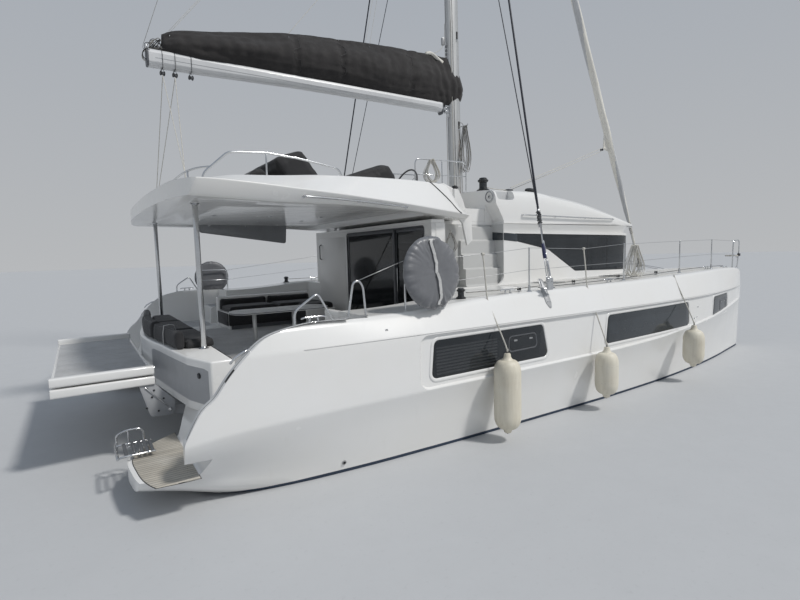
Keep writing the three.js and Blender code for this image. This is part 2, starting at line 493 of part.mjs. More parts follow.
add('flybridge_sunpad', prism([[-5240, SOLE_Z + GAP], [-3980, SOLE_Z + GAP], [-3980, 4110], [-4190, 4400], [-4290, 4505], [-4360, 4505], [-4820, 4320], [-4750, 4235], [-4620, 4070], [-4720, 4030], [-4900, 4070], [-5010, 4165], [-5120, 4130], [-5240, 4030]], 'y', -1050, 1050), M.cushion);
{
  const rail = [[-6220, 3690], [-6190, 3800], [-5870, 4090], [-5360, 4120], [-4870, 4080], [-4260, 3980], [-4200, 3840]];
  const run = (s) => pipe(rail.map(([x, z]) => [x, s * 2340, z]), 16, 8);
  // the two side rails are one piece with the rail that crosses astern
  const cross = pipe([[-6095, -2340, 3882], [-6300, -1900, 3882], [-6320, 0, 3882], [-6300, 1900, 3882], [-6095, 2340, 3882]], 14, 8);
  const posts = [-1900, -900, 0, 900, 1900].map((y) => pipe([[-6303 - (Math.abs(y) < 1000 ? 12 : 0), y, 3600], [-6303 - (Math.abs(y) < 1000 ? 12 : 0), y, 3885]], 13, 8));
  add('flybridge_rail_aft', join([run(-1), run(1), cross, ...posts]).subtract(flybridgeGrown), M.steel);
}

// ---------- aft bench and cockpit ----------
{
  const plan = [[-6840, 0], [-6800, 600], [-6720, 1180], [-6630, 1990], [-6560, 2560], [-6390, 3020], [-6060, 3020], [-6060, 0]];
  add('aft_bench', prism(whole(plan), 'z', TREAD_Z + GAP, 1460).subtract(box(-6122, -6000, -4000, 4000, 0, FLOOR_Z + GAP)), M.gelcoat);
  // back cushions follow the aft edge, clear of the roof posts
  const back = [[-6790, 0], [-6750, 600], [-6670, 1180], [-6590, 1930], [-6470, 1930], [-6550, 1180], [-6640, 0]];
  const seat = [[-6660, 0], [-6570, 1180], [-6490, 1900], [-6080, 1900], [-6080, 0]];
  add('bench_cushions', join([prism(whole(back), 'z', 1460 + GAP, 1760), prism(whole(seat), 'z', 1460 + GAP, 1580)]), M.cushion);
}
add('cockpit_sofa', join([box(-5050, -2850, 1500, 2420, FLOOR_Z + GAP, 1540), box(-5050, -2850, 2420, 2620, FLOOR_Z + GAP, 1830), box(-3550, -2850, 900, 1550, FLOOR_Z + GAP, 1540)]), M.gelcoat);
add('sofa_cushions', join([box(-5030, -2870, 1500, 2300, 1540 + GAP, 1660), box(-3530, -2870, 900, 1550, 1540 + GAP, 1660), box(-5030, -2870, 2255, 2418, 1540 + GAP, 1810)]), M.cushion);
add('cockpit_table', join([prism([[-5600, -820], [-5560, -1010], [-5420, -1120], [-4080, -1150], [-3920, -1040], [-3880, -820], [-3920, -610], [-4080, -490], [-5420, -490], [-5560, -620]], 'z', 1760, 1800),
  pipe([[-5190, -820, FLOOR_Z + GAP], [-5190, -820, 1780]], 38, 12), pipe([[-4490, -820, FLOOR_Z + GAP], [-4490, -820, 1780]], 38, 12)]), M.grey);

// ---------- mast, stays and boom ----------
const mastX = (z) => MAST.x + MAST.rake * (z - 3900);
{
  // z, scale of the section
  const rows = [[MAST.z0, 1], [19500, 1], [MAST.z1, 0.6]];
  const ring = [[1, 0], [0.82, 0.62], [0.35, 0.97], [-0.35, 0.97], [-0.85, 0.72], [-1, 0.3], [-1, -0.3], [-0.85, -0.72], [-0.35, -0.97], [0.35, -0.97], [0.82, -0.62]];
  const tube = loft(rows.map(([z, k]) => ring.map(([a, b]) => [mastX(z) + a * MAST.chord * k, b * MAST.half * k, z])), 2);
  const fittings = [
    box(mastX(6000) - 295, mastX(6000) - 130, -45, 45, 5880, 5925), // gooseneck, lower
    box(mastX(6000) - 295, mastX(6000) - 130, -45, 45, 6005, 6050), // gooseneck, upper
    box(mastX(18800), mastX(18800) + 260, -20, 20, 18760, 18860), // forestay tang
  ];
  // one pair of spreaders with its diamond wire on each side
  const spreader = SIDES.flatMap(([, s]) => [
    pipe([[mastX(14800), 0, 14800], [mastX(14800) + 250, s * 1150, 14830]], 45, 8, 22),
    pipe([[mastX(10900), s * 60, 10900], [mastX(14800) + 250, s * 1140, 14830], [mastX(18700), s * 60, 18700]], 6, 6),
  ]);
  add('mast', join([tube, ...fittings, ...spreader]), M.alloy);
}
const CHAIN = { x: -1480, y: 3965, z: 2180 };
for (const [side, s] of SIDES) {
  const plate = box(CHAIN.x - 45, CHAIN.x + 45, Math.min(s * 3955, s * 3975), Math.max(s * 3955, s * 3975), 1990, CHAIN.z + 60);
  const toMast = (z, dx) => [[CHAIN.x + dx, s * CHAIN.y, CHAIN.z], [mastX(z), s * (MAST.half + 14), z]];
  const clip = box(CHAIN.x - 60, CHAIN.x + 60, Math.min(s * 3925, s * 3990), Math.max(s * 3925, s * 3990), 2060, 2260);
  add('shrouds_' + side, join([plate, clip, pipe(toMast(17600, -35), 8, 6), pipe(toMast(13900, 35), 8, 6)]).subtract(grown[side]), M.steel);
}
const STAY = { foot: [7650, 1915], slope: 0.453 };
{
  const stay = (z) => [7180 + (2950 - z) * STAY.slope, 0, z];
  const a = stay(2080), b = stay(18350);
  const L = vec(b).distanceTo(vec(a));
  // furled headsail on its foil: height along the stay, radius
  add('furled_genoa', turned([[0, 0], [95, 0], [95, 130], [45, 135], [45, 240], [88, 420], [98, 2500], [92, 9000], [60, L - 1500], [28, L - 300], [14, L], [0, L]], a, vec(b).sub(vec(a)).toArray(), 12), M.sail);
}
{
  const boomSection = (x, k) => [[-70, 5822], [70, 5822], [105, 5880], [105, 6020], [80, 6080], [-80, 6080], [-105, 6020], [-105, 5880]].map(([y, z]) => [x, y * k, z]);
  const spar = loft([boomSection(-470, 0.9), boomSection(-6470, 1)]);
  const lug = box(-520, PIVOT_X - 35, -30, 30, 5930, 6000);
  const eye = solid(new THREE.CylinderGeometry(38, 38, 70, 16).rotateX(Math.PI / 2).translate(PIVOT_X, 0, 5965));
  add('boom', join([spar, lug, eye]), M.alloy);
  // stack bag: x, bottom, top, half width
  const BAG = [[-520, 6100, 6990, 90], [-980, 6090, 7100, 170], [-2360, 6090, 6920, 215], [-3870, 6090, 6800, 225], [-5000, 6090, 6570, 215], [-6200, 6090, 6360, 170]];
  const sec = ([x, z0, z1, w]) => {
    const h = z1 - z0;
    const half = [[w * 0.55, z0], [w, z0 + h * 0.25], [w * 0.95, z0 + h * 0.6], [w * 0.45, z0 + h * 0.93]];
    return [[0, z0], ...half, [0, z1], ...[...half].reverse().map(([y, z]) => [-y, z])].map(([y, z]) => [x, y, z]);
  };
  add('sail_bag', loft(BAG.map(sec)), M.canvas);
}

// ---------- bows ----------
{
  const beam = pipe([[6700, -2860, 1800], [6700, 2860, 1800]], 95, 12);
  const striker = [pipe([[6700, -2600, 1840], [6700, -500, 2190]], 9, 6), pipe([[6700, 500, 2190], [6700, 2600, 1840]], 9, 6), pipe([[6700, -510, 2190], [6700, 510, 2190]], 12, 6),
    pipe([[6700, -500, 2195], [6700, -500, 1800]], 25, 8), pipe([[6700, 500, 2195], [6700, 500, 1800]], 25, 8)];
  add('crossbeam', join([beam, ...striker]).subtract(grown.starboard).subtract(grown.port), M.alloy);
  const longeron = loft([[4425, 1330, 1600, 150], [6700, 1500, 1703, 120], [7760, 1780, 1900, 80]].map(([x, z0, z1, w]) => [[-w, z0], [w, z0], [w, z1], [-w, z1]].map(([y, z]) => [x, y, z])));
  const toggle = box(7560, 7640, -14, 14, 1850, 1990);
  add('longeron', join([longeron, toggle]), M.alloy);
  for (const [side, s] of SIDES)
    add('trampoline_' + side, prism([[4480, 190], [6560, 190], [6560, 2690], [5900, 2470], [5200, 2290], [4480, 2110]].map(([x, y]) => [x, s * y]), 'z', 1930, 1946), M.net);
}

// ---------- guard rails ----------
for (const [side, s] of SIDES) {
  // stanchion feet on the deck: x, half breadth, deck height
  const posts = [[-1730, 3770, 2048], [970, 3650, 2082], [3280, 3480, 2125], [5000, 3330, 2149]];
  const foot = ([x, y, z]) => pipe([[x, s * y, z - 30], [x, s * y, z + 690]], 13, 8);
  const start = { 340: s > 0 ? [-4460, 3830, 2160] : [-3400, -3780, 2280], 680: s > 0 ? [-4460, 3830, 2400] : [-3400, -3780, 2620] };
  const line = (h) => pipe([start[h], ...posts.map(([x, y, z]) => [x, s * y, z + h]), [6420, s * 3190, 2120 + h]], 4, 6);
  // pulpit at the bow; aft, the frame that holds the pack and two low loops on one foot strip
  const pulpit = pipe([[6400, s * 3190, 2080], [6420, s * 3190, 2120 + 680], [6950, s * 3100, 2820], [7130, s * 3030, 2560], [7080, s * 3010, 2030]], 14, 8);
  const pulpit2 = pipe([[6415, s * 3190, 2120 + 340], [7110, s * 3020, 2350]], 12, 6);
  const low = pipe([[-5650, s * 3895, 1880], [-5650, s * 3895, 2075], [-5360, s * 3890, 2268], [-5150, s * 3880, 1890]], 14, 8);
  // the port frame stands right behind the low loop, lower than the starboard one
  const frames = s > 0
    ? [pipe([[-5140, 3880, 1880], [-5140, 3880, 2410], [-4460, 3830, 2410], [-4460, 3830, 1890]], 13, 8), pipe([[-5140, 3880, 2160], [-4460, 3830, 2160]], 8, 6)]
    : [pipe([[-4080, -3780, 1890], [-4080, -3780, 2610], [-3400, -3780, 2610], [-3400, -3780, 1930]], 13, 8), pipe([[-4080, -3780, 2270], [-3400, -3780, 2280]], 8, 6),
      pipe([[-4960, -3840, 1890], [-4870, -3835, 2355], [-4790, -3835, 2382], [-4730, -3830, 2300], [-4700, -3830, 1890]], 14, 8), pipe([[-5175, -3880, 1938], [-4680, -3830, 1944]], 26, 8, 12), pipe([[-4790, -3835, 2380], [-4080, -3780, 2600]], 5, 6)];
  const solidRail = join([low, ...frames, pulpit, pulpit2, line(340), line(680), ...posts.map(foot)]);
  add('guardrail_' + side, solidRail.subtract(grown[side]).decompose().sort((a, b) => b.volume() - a.volume())[0], M.steel);
}

// ---------- hydraulic platform astern ----------
{
  const arm = (y0, y1) => prism([[LIFT.px + 70, LIFT.pz - 60], [LIFT.px + 70, LIFT.pz + 45], [LIFT.px, LIFT.pz + 75], [LIFT.qx, LIFT.qz + 48], [LIFT.qx - 48, LIFT.qz + 20], [LIFT.qx - 48, LIFT.qz - 40], [LIFT.qx + 60, LIFT.qz - 85], [LIFT.px - 300, LIFT.pz - 110]], 'y', y0, y1);
  const tube = pipe([[LIFT.px, -LIFT.y + 5, LIFT.pz], [LIFT.px, LIFT.y - 5, LIFT.pz]], 50, 12);
  const pins = [-1, 1].map((s) => pipe([[LIFT.qx, s * (LIFT.y - 30), LIFT.qz], [LIFT.qx, s * (LIFT.y + 44), LIFT.qz]], 20, 10));
  add('lift_arms', join([arm(-LIFT.y, -LIFT.y + 45), arm(LIFT.y - 45, LIFT.y), tube, ...pins]), M.grey);
  const lug = (y0, y1) => cut(prism([[-7080, 1045], [-6890, 1045], [-6650, 775], [-6650, 620], [-6720, 575], [-6960, 590]], 'y', y0, y1), [pipe([[LIFT.qx, y0 - 5, LIFT.qz], [LIFT.qx, y1 + 5, LIFT.qz]], 25, 12)]);
  const lugs = [-1, 1].map((s) => lug(Math.min(s * (LIFT.y + 8), s * (LIFT.y + 36)), Math.max(s * (LIFT.y + 8), s * (LIFT.y + 36))));
  const beams = [-1, 1].flatMap((s) => [1030, 1165].map((z) => box(-8040, -6880, Math.min(s * 1780, s * 1900), Math.max(s * 1780, s * 1900), z, z + 120)));
  const deck = box(-8040, -6880, -1785, 1785, 1040, 1190);
  const ribs = [1, -1].map((s) => box(-8000, -6900, Math.min(s * 1770, s * 1800), Math.max(s * 1770, s * 1800), 1060, 1250));
  add('lift_platform', join([deck, ...beams, ...ribs, ...lugs]), M.gelcoat);
}

// ---------- boarding ladder on the starboard platform ----------
{
  const { x0, x1, y0, y1, z } = LADDER;
  const rails = [y0, y1].map((y) => pipe([[x0, y, z + 3], [x0 + 60, y, z + 10], [x1, y, z + 10]], 13, 8));
  // treads stack up close together in the stowed ladder
  const treads = [-7330, -7240, -7165, -7110, -7055].map((x) => box(x - 20, x + 20, y1, y0, z + 4, z + 24));
  const hinge = pipe([[x0, y1 - 25, z + 3], [x0, y0 + 25, z + 3]], 17, 10);
  add('swim_ladder', join([...rails, ...treads, hinge]), M.steel);
}

// ---------- fenders and covered packs ----------
// name, x, bottom, top of the body, radius
for (const [name, x, z0, z1, r] of [['fender_aft', -2700, 150, 1210, 190], ['fender_middle', -400, 240, 1010, 185], ['fender_forward', 2450, 340, 1080, 190]])
  add(name, turned([[0, z0 - 30], [45, z0 - 20], [70, z0 + 20], [r * 0.8, z0 + 110], [r, z0 + 230], [r, z1 - 230], [r * 0.8, z1 - 110], [70, z1 - 20], [45, z1 + 60], [0, z1 + 60]], [x, -(x > 2000 ? 4225 : 4050 + r + 8), 0], [0, 0, 1], 16), M.fender);
for (const [side, s] of SIDES) {
  const k = s > 0 ? 0.84 : 1;
  const profile = [[0, -80], [370, -75], [460, -45], [490, 0], [460, 45], [370, 75], [0, 80]].map(([r, h]) => [r * k, h]);
  add('rescue_pack_' + side, turned(profile, s > 0 ? [-4800, 4000, 2230] : [-3740, -3930, 2430], [0.1, s, 0.08], 20), M.canvas);
}

export default boat;
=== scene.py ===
# Looks of a sailing catamaran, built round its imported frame. Metres; +X to the bows, +Y to port, +Z up, origin at the waterline.
import json
import math
import random

import bpy
import bmesh
import numpy as np
from mathutils import Matrix, Quaternion, Vector
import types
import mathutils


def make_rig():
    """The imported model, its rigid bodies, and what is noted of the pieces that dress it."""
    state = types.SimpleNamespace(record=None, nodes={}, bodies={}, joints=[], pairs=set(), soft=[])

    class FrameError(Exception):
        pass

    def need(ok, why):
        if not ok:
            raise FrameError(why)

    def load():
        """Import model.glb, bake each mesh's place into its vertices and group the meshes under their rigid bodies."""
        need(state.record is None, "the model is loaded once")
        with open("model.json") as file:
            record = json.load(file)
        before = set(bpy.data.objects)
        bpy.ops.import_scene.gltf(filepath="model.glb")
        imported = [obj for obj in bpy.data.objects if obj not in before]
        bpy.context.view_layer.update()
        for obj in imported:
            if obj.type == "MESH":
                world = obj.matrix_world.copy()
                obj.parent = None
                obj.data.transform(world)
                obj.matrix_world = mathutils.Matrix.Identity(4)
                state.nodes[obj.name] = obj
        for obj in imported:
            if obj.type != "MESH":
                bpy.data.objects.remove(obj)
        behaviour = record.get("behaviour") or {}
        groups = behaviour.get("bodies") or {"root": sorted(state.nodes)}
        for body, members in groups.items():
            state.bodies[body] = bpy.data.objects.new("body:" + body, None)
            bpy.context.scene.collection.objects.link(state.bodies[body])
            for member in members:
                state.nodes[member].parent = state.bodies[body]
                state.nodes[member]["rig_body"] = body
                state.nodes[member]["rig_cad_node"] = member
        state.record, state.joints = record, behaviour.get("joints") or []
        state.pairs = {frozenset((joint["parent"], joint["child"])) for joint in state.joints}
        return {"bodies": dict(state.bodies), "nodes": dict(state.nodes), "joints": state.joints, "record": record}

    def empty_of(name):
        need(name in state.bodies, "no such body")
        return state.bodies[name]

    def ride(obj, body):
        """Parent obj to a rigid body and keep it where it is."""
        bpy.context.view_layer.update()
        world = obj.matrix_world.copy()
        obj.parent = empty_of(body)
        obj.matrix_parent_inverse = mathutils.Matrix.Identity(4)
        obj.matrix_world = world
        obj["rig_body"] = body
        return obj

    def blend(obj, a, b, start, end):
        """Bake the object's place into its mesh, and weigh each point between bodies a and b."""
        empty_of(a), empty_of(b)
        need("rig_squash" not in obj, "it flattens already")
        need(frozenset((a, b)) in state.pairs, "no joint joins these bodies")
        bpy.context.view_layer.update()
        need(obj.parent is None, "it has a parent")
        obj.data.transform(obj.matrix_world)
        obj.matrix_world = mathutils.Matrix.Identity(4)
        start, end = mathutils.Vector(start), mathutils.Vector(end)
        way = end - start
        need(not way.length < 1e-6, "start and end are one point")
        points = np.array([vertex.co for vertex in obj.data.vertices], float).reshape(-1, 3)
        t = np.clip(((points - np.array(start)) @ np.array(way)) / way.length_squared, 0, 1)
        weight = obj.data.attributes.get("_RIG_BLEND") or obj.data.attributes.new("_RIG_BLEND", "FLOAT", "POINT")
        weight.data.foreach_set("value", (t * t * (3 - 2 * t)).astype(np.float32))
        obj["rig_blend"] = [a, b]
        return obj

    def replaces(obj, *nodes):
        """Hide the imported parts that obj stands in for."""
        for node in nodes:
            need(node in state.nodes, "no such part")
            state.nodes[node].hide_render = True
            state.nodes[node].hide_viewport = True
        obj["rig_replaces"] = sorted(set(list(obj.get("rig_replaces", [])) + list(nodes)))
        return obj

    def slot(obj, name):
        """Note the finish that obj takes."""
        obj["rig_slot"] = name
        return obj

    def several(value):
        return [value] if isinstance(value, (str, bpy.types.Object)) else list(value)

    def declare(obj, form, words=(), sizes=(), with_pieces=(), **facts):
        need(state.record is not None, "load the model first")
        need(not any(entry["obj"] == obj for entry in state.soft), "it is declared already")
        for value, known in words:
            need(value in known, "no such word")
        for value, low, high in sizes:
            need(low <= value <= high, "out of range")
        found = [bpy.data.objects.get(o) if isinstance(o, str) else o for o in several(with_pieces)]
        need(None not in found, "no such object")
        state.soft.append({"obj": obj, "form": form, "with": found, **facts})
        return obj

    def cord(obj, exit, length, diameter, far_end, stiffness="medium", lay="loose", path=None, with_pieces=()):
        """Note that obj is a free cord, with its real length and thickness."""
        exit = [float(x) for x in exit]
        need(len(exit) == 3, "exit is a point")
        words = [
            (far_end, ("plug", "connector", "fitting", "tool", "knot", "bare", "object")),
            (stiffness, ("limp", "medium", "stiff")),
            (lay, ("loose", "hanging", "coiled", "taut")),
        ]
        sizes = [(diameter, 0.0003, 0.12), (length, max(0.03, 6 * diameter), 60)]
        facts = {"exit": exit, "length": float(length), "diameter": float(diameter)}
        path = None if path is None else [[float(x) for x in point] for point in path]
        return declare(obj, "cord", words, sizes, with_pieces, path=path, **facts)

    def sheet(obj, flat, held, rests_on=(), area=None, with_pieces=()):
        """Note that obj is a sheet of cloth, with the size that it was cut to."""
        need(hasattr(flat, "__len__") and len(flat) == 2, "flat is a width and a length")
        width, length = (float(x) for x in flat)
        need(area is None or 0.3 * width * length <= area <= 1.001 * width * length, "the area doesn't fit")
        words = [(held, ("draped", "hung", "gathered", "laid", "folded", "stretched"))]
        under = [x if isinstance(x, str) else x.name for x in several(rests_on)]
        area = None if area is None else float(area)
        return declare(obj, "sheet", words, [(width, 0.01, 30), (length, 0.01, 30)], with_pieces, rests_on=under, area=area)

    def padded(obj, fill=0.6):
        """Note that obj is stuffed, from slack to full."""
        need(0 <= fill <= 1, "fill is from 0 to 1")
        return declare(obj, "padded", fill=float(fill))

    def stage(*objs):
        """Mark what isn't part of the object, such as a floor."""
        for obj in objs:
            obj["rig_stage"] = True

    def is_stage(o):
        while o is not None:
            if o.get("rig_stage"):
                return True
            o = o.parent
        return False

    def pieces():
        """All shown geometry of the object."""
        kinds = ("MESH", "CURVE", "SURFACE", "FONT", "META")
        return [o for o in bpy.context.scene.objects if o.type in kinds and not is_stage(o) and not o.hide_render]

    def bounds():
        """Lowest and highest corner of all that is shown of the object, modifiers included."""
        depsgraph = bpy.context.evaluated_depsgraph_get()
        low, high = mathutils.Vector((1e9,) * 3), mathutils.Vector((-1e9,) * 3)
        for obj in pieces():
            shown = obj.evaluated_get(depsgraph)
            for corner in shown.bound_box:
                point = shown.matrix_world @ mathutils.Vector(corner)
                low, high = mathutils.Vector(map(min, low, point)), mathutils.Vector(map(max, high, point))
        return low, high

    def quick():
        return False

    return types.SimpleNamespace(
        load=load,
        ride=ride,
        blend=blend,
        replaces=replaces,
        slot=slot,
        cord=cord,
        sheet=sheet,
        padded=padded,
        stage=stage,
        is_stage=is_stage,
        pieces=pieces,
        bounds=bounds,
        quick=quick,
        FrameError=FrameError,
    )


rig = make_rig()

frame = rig.load()
cad_box = [list(v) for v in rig.bounds()]
SC = bpy.context.scene
R = random.Random(7)

# ---------- camera: the photograph's place, angle and field ----------
def make_camera():
    yaw, pitch, roll = (math.radians(a) for a in (56.957, -5.298, -1.526))
    cy, sy, cp, sp = math.cos(yaw), math.sin(yaw), math.cos(pitch), math.sin(pitch)
    f = Vector((cy * cp, sy * cp, sp))
    r = Vector((sy, -cy, 0))
    u = r.cross(f)
    right = math.cos(roll) * r + math.sin(roll) * u
    up = -math.sin(roll) * r + math.cos(roll) * u
    cam = bpy.data.cameras.new("camera")
    cam.sensor_width = 36.0
    cam.lens = 493.02 * 36.0 / 800.0
    cam.clip_start, cam.clip_end = 0.05, 600
    ob = bpy.data.objects.new("camera", cam)
    SC.collection.objects.link(ob)
    m = Matrix.Identity(4)
    for i, c in enumerate((right, up, -f)):
        for k in range(3):
            m[k][i] = c[k]
    m.translation = Vector((-7.6436, -9.1337, 2.6824))
    ob.matrix_world = m
    SC.camera = ob


make_camera()


# ---------- light ----------
def make_light():
    w = bpy.data.worlds.new("studio")
    SC.world = w
    w.use_nodes = True
    nt = w.node_tree
    bg = nt.nodes["Background"]
    tc = nt.nodes.new("ShaderNodeTexCoord")
    sep = nt.nodes.new("ShaderNodeSeparateXYZ")
    nt.links.new(tc.outputs["Generated"], sep.inputs[0])
    mp = nt.nodes.new("ShaderNodeMapRange")
    mp.inputs[1].default_value, mp.inputs[2].default_value = -0.05, 0.9
    nt.links.new(sep.outputs["Z"], mp.inputs[0])
    rp = nt.nodes.new("ShaderNodeValToRGB")
    rp.color_ramp.elements[0].color = (0.80, 0.815, 0.83, 1)
    rp.color_ramp.elements[1].color = (0.50, 0.58, 0.70, 1)
    nt.links.new(mp.outputs[0], rp.inputs[0])
    nt.links.new(rp.outputs[0], bg.inputs["Color"])
    bg.inputs["Strength"].default_value = 0.60
    sun = bpy.data.lights.new("key", "SUN")
    sun.energy = 2.25
    sun.angle = math.radians(7)
    sun.color = (1.0, 0.975, 0.94)
    ob = bpy.data.objects.new("key", sun)
    ob.rotation_euler = Vector((0.42, -0.62, 0.95)).to_track_quat("Z", "Y").to_euler()
    SC.collection.objects.link(ob)
    SC.view_settings.view_transform = "Standard"
    SC.view_settings.exposure = 0.0


make_light()

# ---------- mesh code ----------
def shade(me, deg=35.0):
    me.polygons.foreach_set("use_smooth", [True] * len(me.polygons))
    me.set_sharp_from_angle(angle=math.radians(deg))


def clean(verts, faces, weld=1e-5):
    """A mesh with outward faces from plain lists."""
    bm = bmesh.new()
    vs = [bm.verts.new(v) for v in verts]
    for f in faces:
        f = [i for k, i in enumerate(f) if i != f[k - 1]]
        if len(set(f)) > 2:
            try:
                bm.faces.new([vs[i] for i in f])
            except ValueError:
                pass
    if weld:
        bmesh.ops.remove_doubles(bm, verts=bm.verts, dist=weld)
    bmesh.ops.recalc_face_normals(bm, faces=bm.faces)
    me = bpy.data.meshes.new("m")
    bm.to_mesh(me)
    bm.free()
    return me


def put(name, me, mat, body="boat", slot=None, deg=35.0, replaces=()):
    ob = bpy.data.objects.new(name, me)
    me.name = name
    SC.collection.objects.link(ob)
    for m in mat if isinstance(mat, (list, tuple)) else [mat]:
        if len(me.materials) == 0 or isinstance(mat, (list, tuple)):
            me.materials.append(m)
    shade(me, deg)
    if body:
        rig.ride(ob, body)
    if slot:
        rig.slot(ob, slot)
    if replaces:
        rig.replaces(ob, *replaces)
    return ob


def skin(rings, closed=True, cap=True, loop=False):
    """(verts, faces) over rings of equal counts. closed: each ring closes; loop: the last ring joins the first."""
    n = len(rings[0])
    verts = [tuple(p) for r in rings for p in r]
    faces = []
    m = len(rings)
    for s in range(m if loop else m - 1):
        a0, b0 = s * n, ((s + 1) % m) * n
        for i in range(n if closed else n - 1):
            j = (i + 1) % n
            faces.append((a0 + i, a0 + j, b0 + j, b0 + i))
    if cap and closed and not loop:
        faces.append(tuple(range(n))[::-1])
        faces.append(tuple((m - 1) * n + i for i in range(n)))
    return verts, faces


def loft(rings, **kw):
    return clean(*skin(rings, **kw))


def join_meshes(meshes):
    verts, faces = [], []
    for me in meshes:
        o = len(verts)
        verts += [tuple(v.co) for v in me.vertices]
        faces += [tuple(o + i for i in p.vertices) for p in me.polygons]
    bm = bmesh.new()
    vs = [bm.verts.new(v) for v in verts]
    for f in faces:
        bm.faces.new([vs[i] for i in f])
    out = bpy.data.meshes.new("j")
    bm.to_mesh(out)
    bm.free()
    return out


def mirror_y(me):
    """A copy on the other side of the centreline."""
    out = me.copy()
    bm = bmesh.new()
    bm.from_mesh(out)
    for v in bm.verts:
        v.co.y = -v.co.y
    bmesh.ops.reverse_faces(bm, faces=bm.faces)
    bm.to_mesh(out)
    bm.free()
    return out


def boolean(me, cutters, op="DIFFERENCE", solver="MANIFOLD"):
    a = bpy.data.objects.new("bool", me)
    SC.collection.objects.link(a)
    tmp = [a]
    for c in cutters:
        b = bpy.data.objects.new("cutter", c)
        SC.collection.objects.link(b)
        tmp.append(b)
        m = a.modifiers.new("b", "BOOLEAN")
        m.operation, m.object = op, b
        m.solver = solver
    dg = bpy.context.evaluated_depsgraph_get()
    out = bpy.data.meshes.new_from_object(a.evaluated_get(dg))
    for o in tmp:
        bpy.data.objects.remove(o)
    out.materials.clear()
    return out


def fillet(pts, r, n=5):
    """Outline with each corner rounded by r (one number or one per corner)."""
    out = []
    m = len(pts)
    for i, p in enumerate(pts):
        rr = r[i] if isinstance(r, (list, tuple)) else r
        a, b, c = Vector(pts[i - 1]), Vector(p), Vector(pts[(i + 1) % m])
        u, v = (a - b), (c - b)
        lu, lv = u.length, v.length
        if rr <= 0 or lu < 1e-6 or lv < 1e-6:
            out.append(tuple(b))
            continue
        u, v = u / lu, v / lv
        half = math.acos(max(-1, min(1, u.dot(v)))) / 2
        if half > math.radians(86) or half < math.radians(2):
            out.append(tuple(b))
            continue
        t = min(rr / math.tan(half), lu * 0.48, lv * 0.48)
        p0, p1 = b + u * t, b + v * t
        rad = t * math.tan(half)
        bis = (u + v).normalized()
        cen = b + bis * (rad / math.sin(half))
        s, e = p0 - cen, p1 - cen
        ang = s.angle(e)
        for k in range(n + 1):
            w = k / n
            q = (s * math.sin((1 - w) * ang) + e * math.sin(w * ang)) / math.sin(ang) if ang > 1e-4 else s
            out.append(tuple(cen + q))
    return out


def offset(pts, d):
    """Closed outline moved inwards by d; the outline runs either way round."""
    m = len(pts)
    area = sum(pts[i][0] * pts[(i + 1) % m][1] - pts[(i + 1) % m][0] * pts[i][1] for i in range(m))
    sg = 1 if area > 0 else -1
    out = []
    for i in range(m):
        a, b, c = Vector(pts[i - 1]), Vector(pts[i]), Vector(pts[(i + 1) % m])
        e1, e2 = (b - a), (c - b)
        if e1.length < 1e-9:
            e1 = e2
        if e2.length < 1e-9:
            e2 = e1
        e1, e2 = e1.normalized(), e2.normalized()
        n1, n2 = Vector((-e1.y, e1.x)) * sg, Vector((-e2.y, e2.x)) * sg
        nn = n1 + n2
        if nn.length < 1e-6:
            nn = n1
        nn.normalize()
        k = max(0.35, nn.dot(n1))
        out.append(tuple(b + nn * (d / k)))
    return out


PUT = {"x": lambda p, t: (t, p[0], p[1]), "y": lambda p, t: (p[0], t, p[1]), "z": lambda p, t: (p[0], p[1], t)}


def prism(outline, axis, a, b, bevel=0.0, seg=2, bevel_a=None, bevel_b=None):
    """Prism of an outline with rounded rims: axis x takes (y,z), y takes (x,z), z takes (x,y)."""
    if a > b:
        a, b = b, a
        bevel_a, bevel_b = bevel_b, bevel_a
    ba = bevel if bevel_a is None else bevel_a
    bb = bevel if bevel_b is None else bevel_b
    rings = []
    for k in range(seg + 1) if ba > 0 else [seg]:
        t = k / seg * math.pi / 2
        rings.append([PUT[axis](p, a + ba * (1 - math.cos(t))) for p in offset(outline, ba * (1 - math.sin(t)))])
    for k in range(seg, -1, -1) if bb > 0 else [seg]:
        t = k / seg * math.pi / 2
        rings.append([PUT[axis](p, b - bb * (1 - math.cos(t))) for p in offset(outline, bb * (1 - math.sin(t)))])
    return loft(rings)


def rbox(x0, x1, y0, y1, z0, z1, r=0.01, axis="z", bevel=None, seg=2, n=4):
    """Box with rounded upright corners r and rounded rims."""
    lo = {"x": (y0, z0, y1, z1), "y": (x0, z0, x1, z1), "z": (x0, y0, x1, y1)}[axis]
    a, b = {"x": (x0, x1), "y": (y0, y1), "z": (z0, z1)}[axis]
    o = fillet([(lo[0], lo[1]), (lo[2], lo[1]), (lo[2], lo[3]), (lo[0], lo[3])], r, n)
    return prism(o, axis, min(a, b), max(a, b), r if bevel is None else bevel, seg)


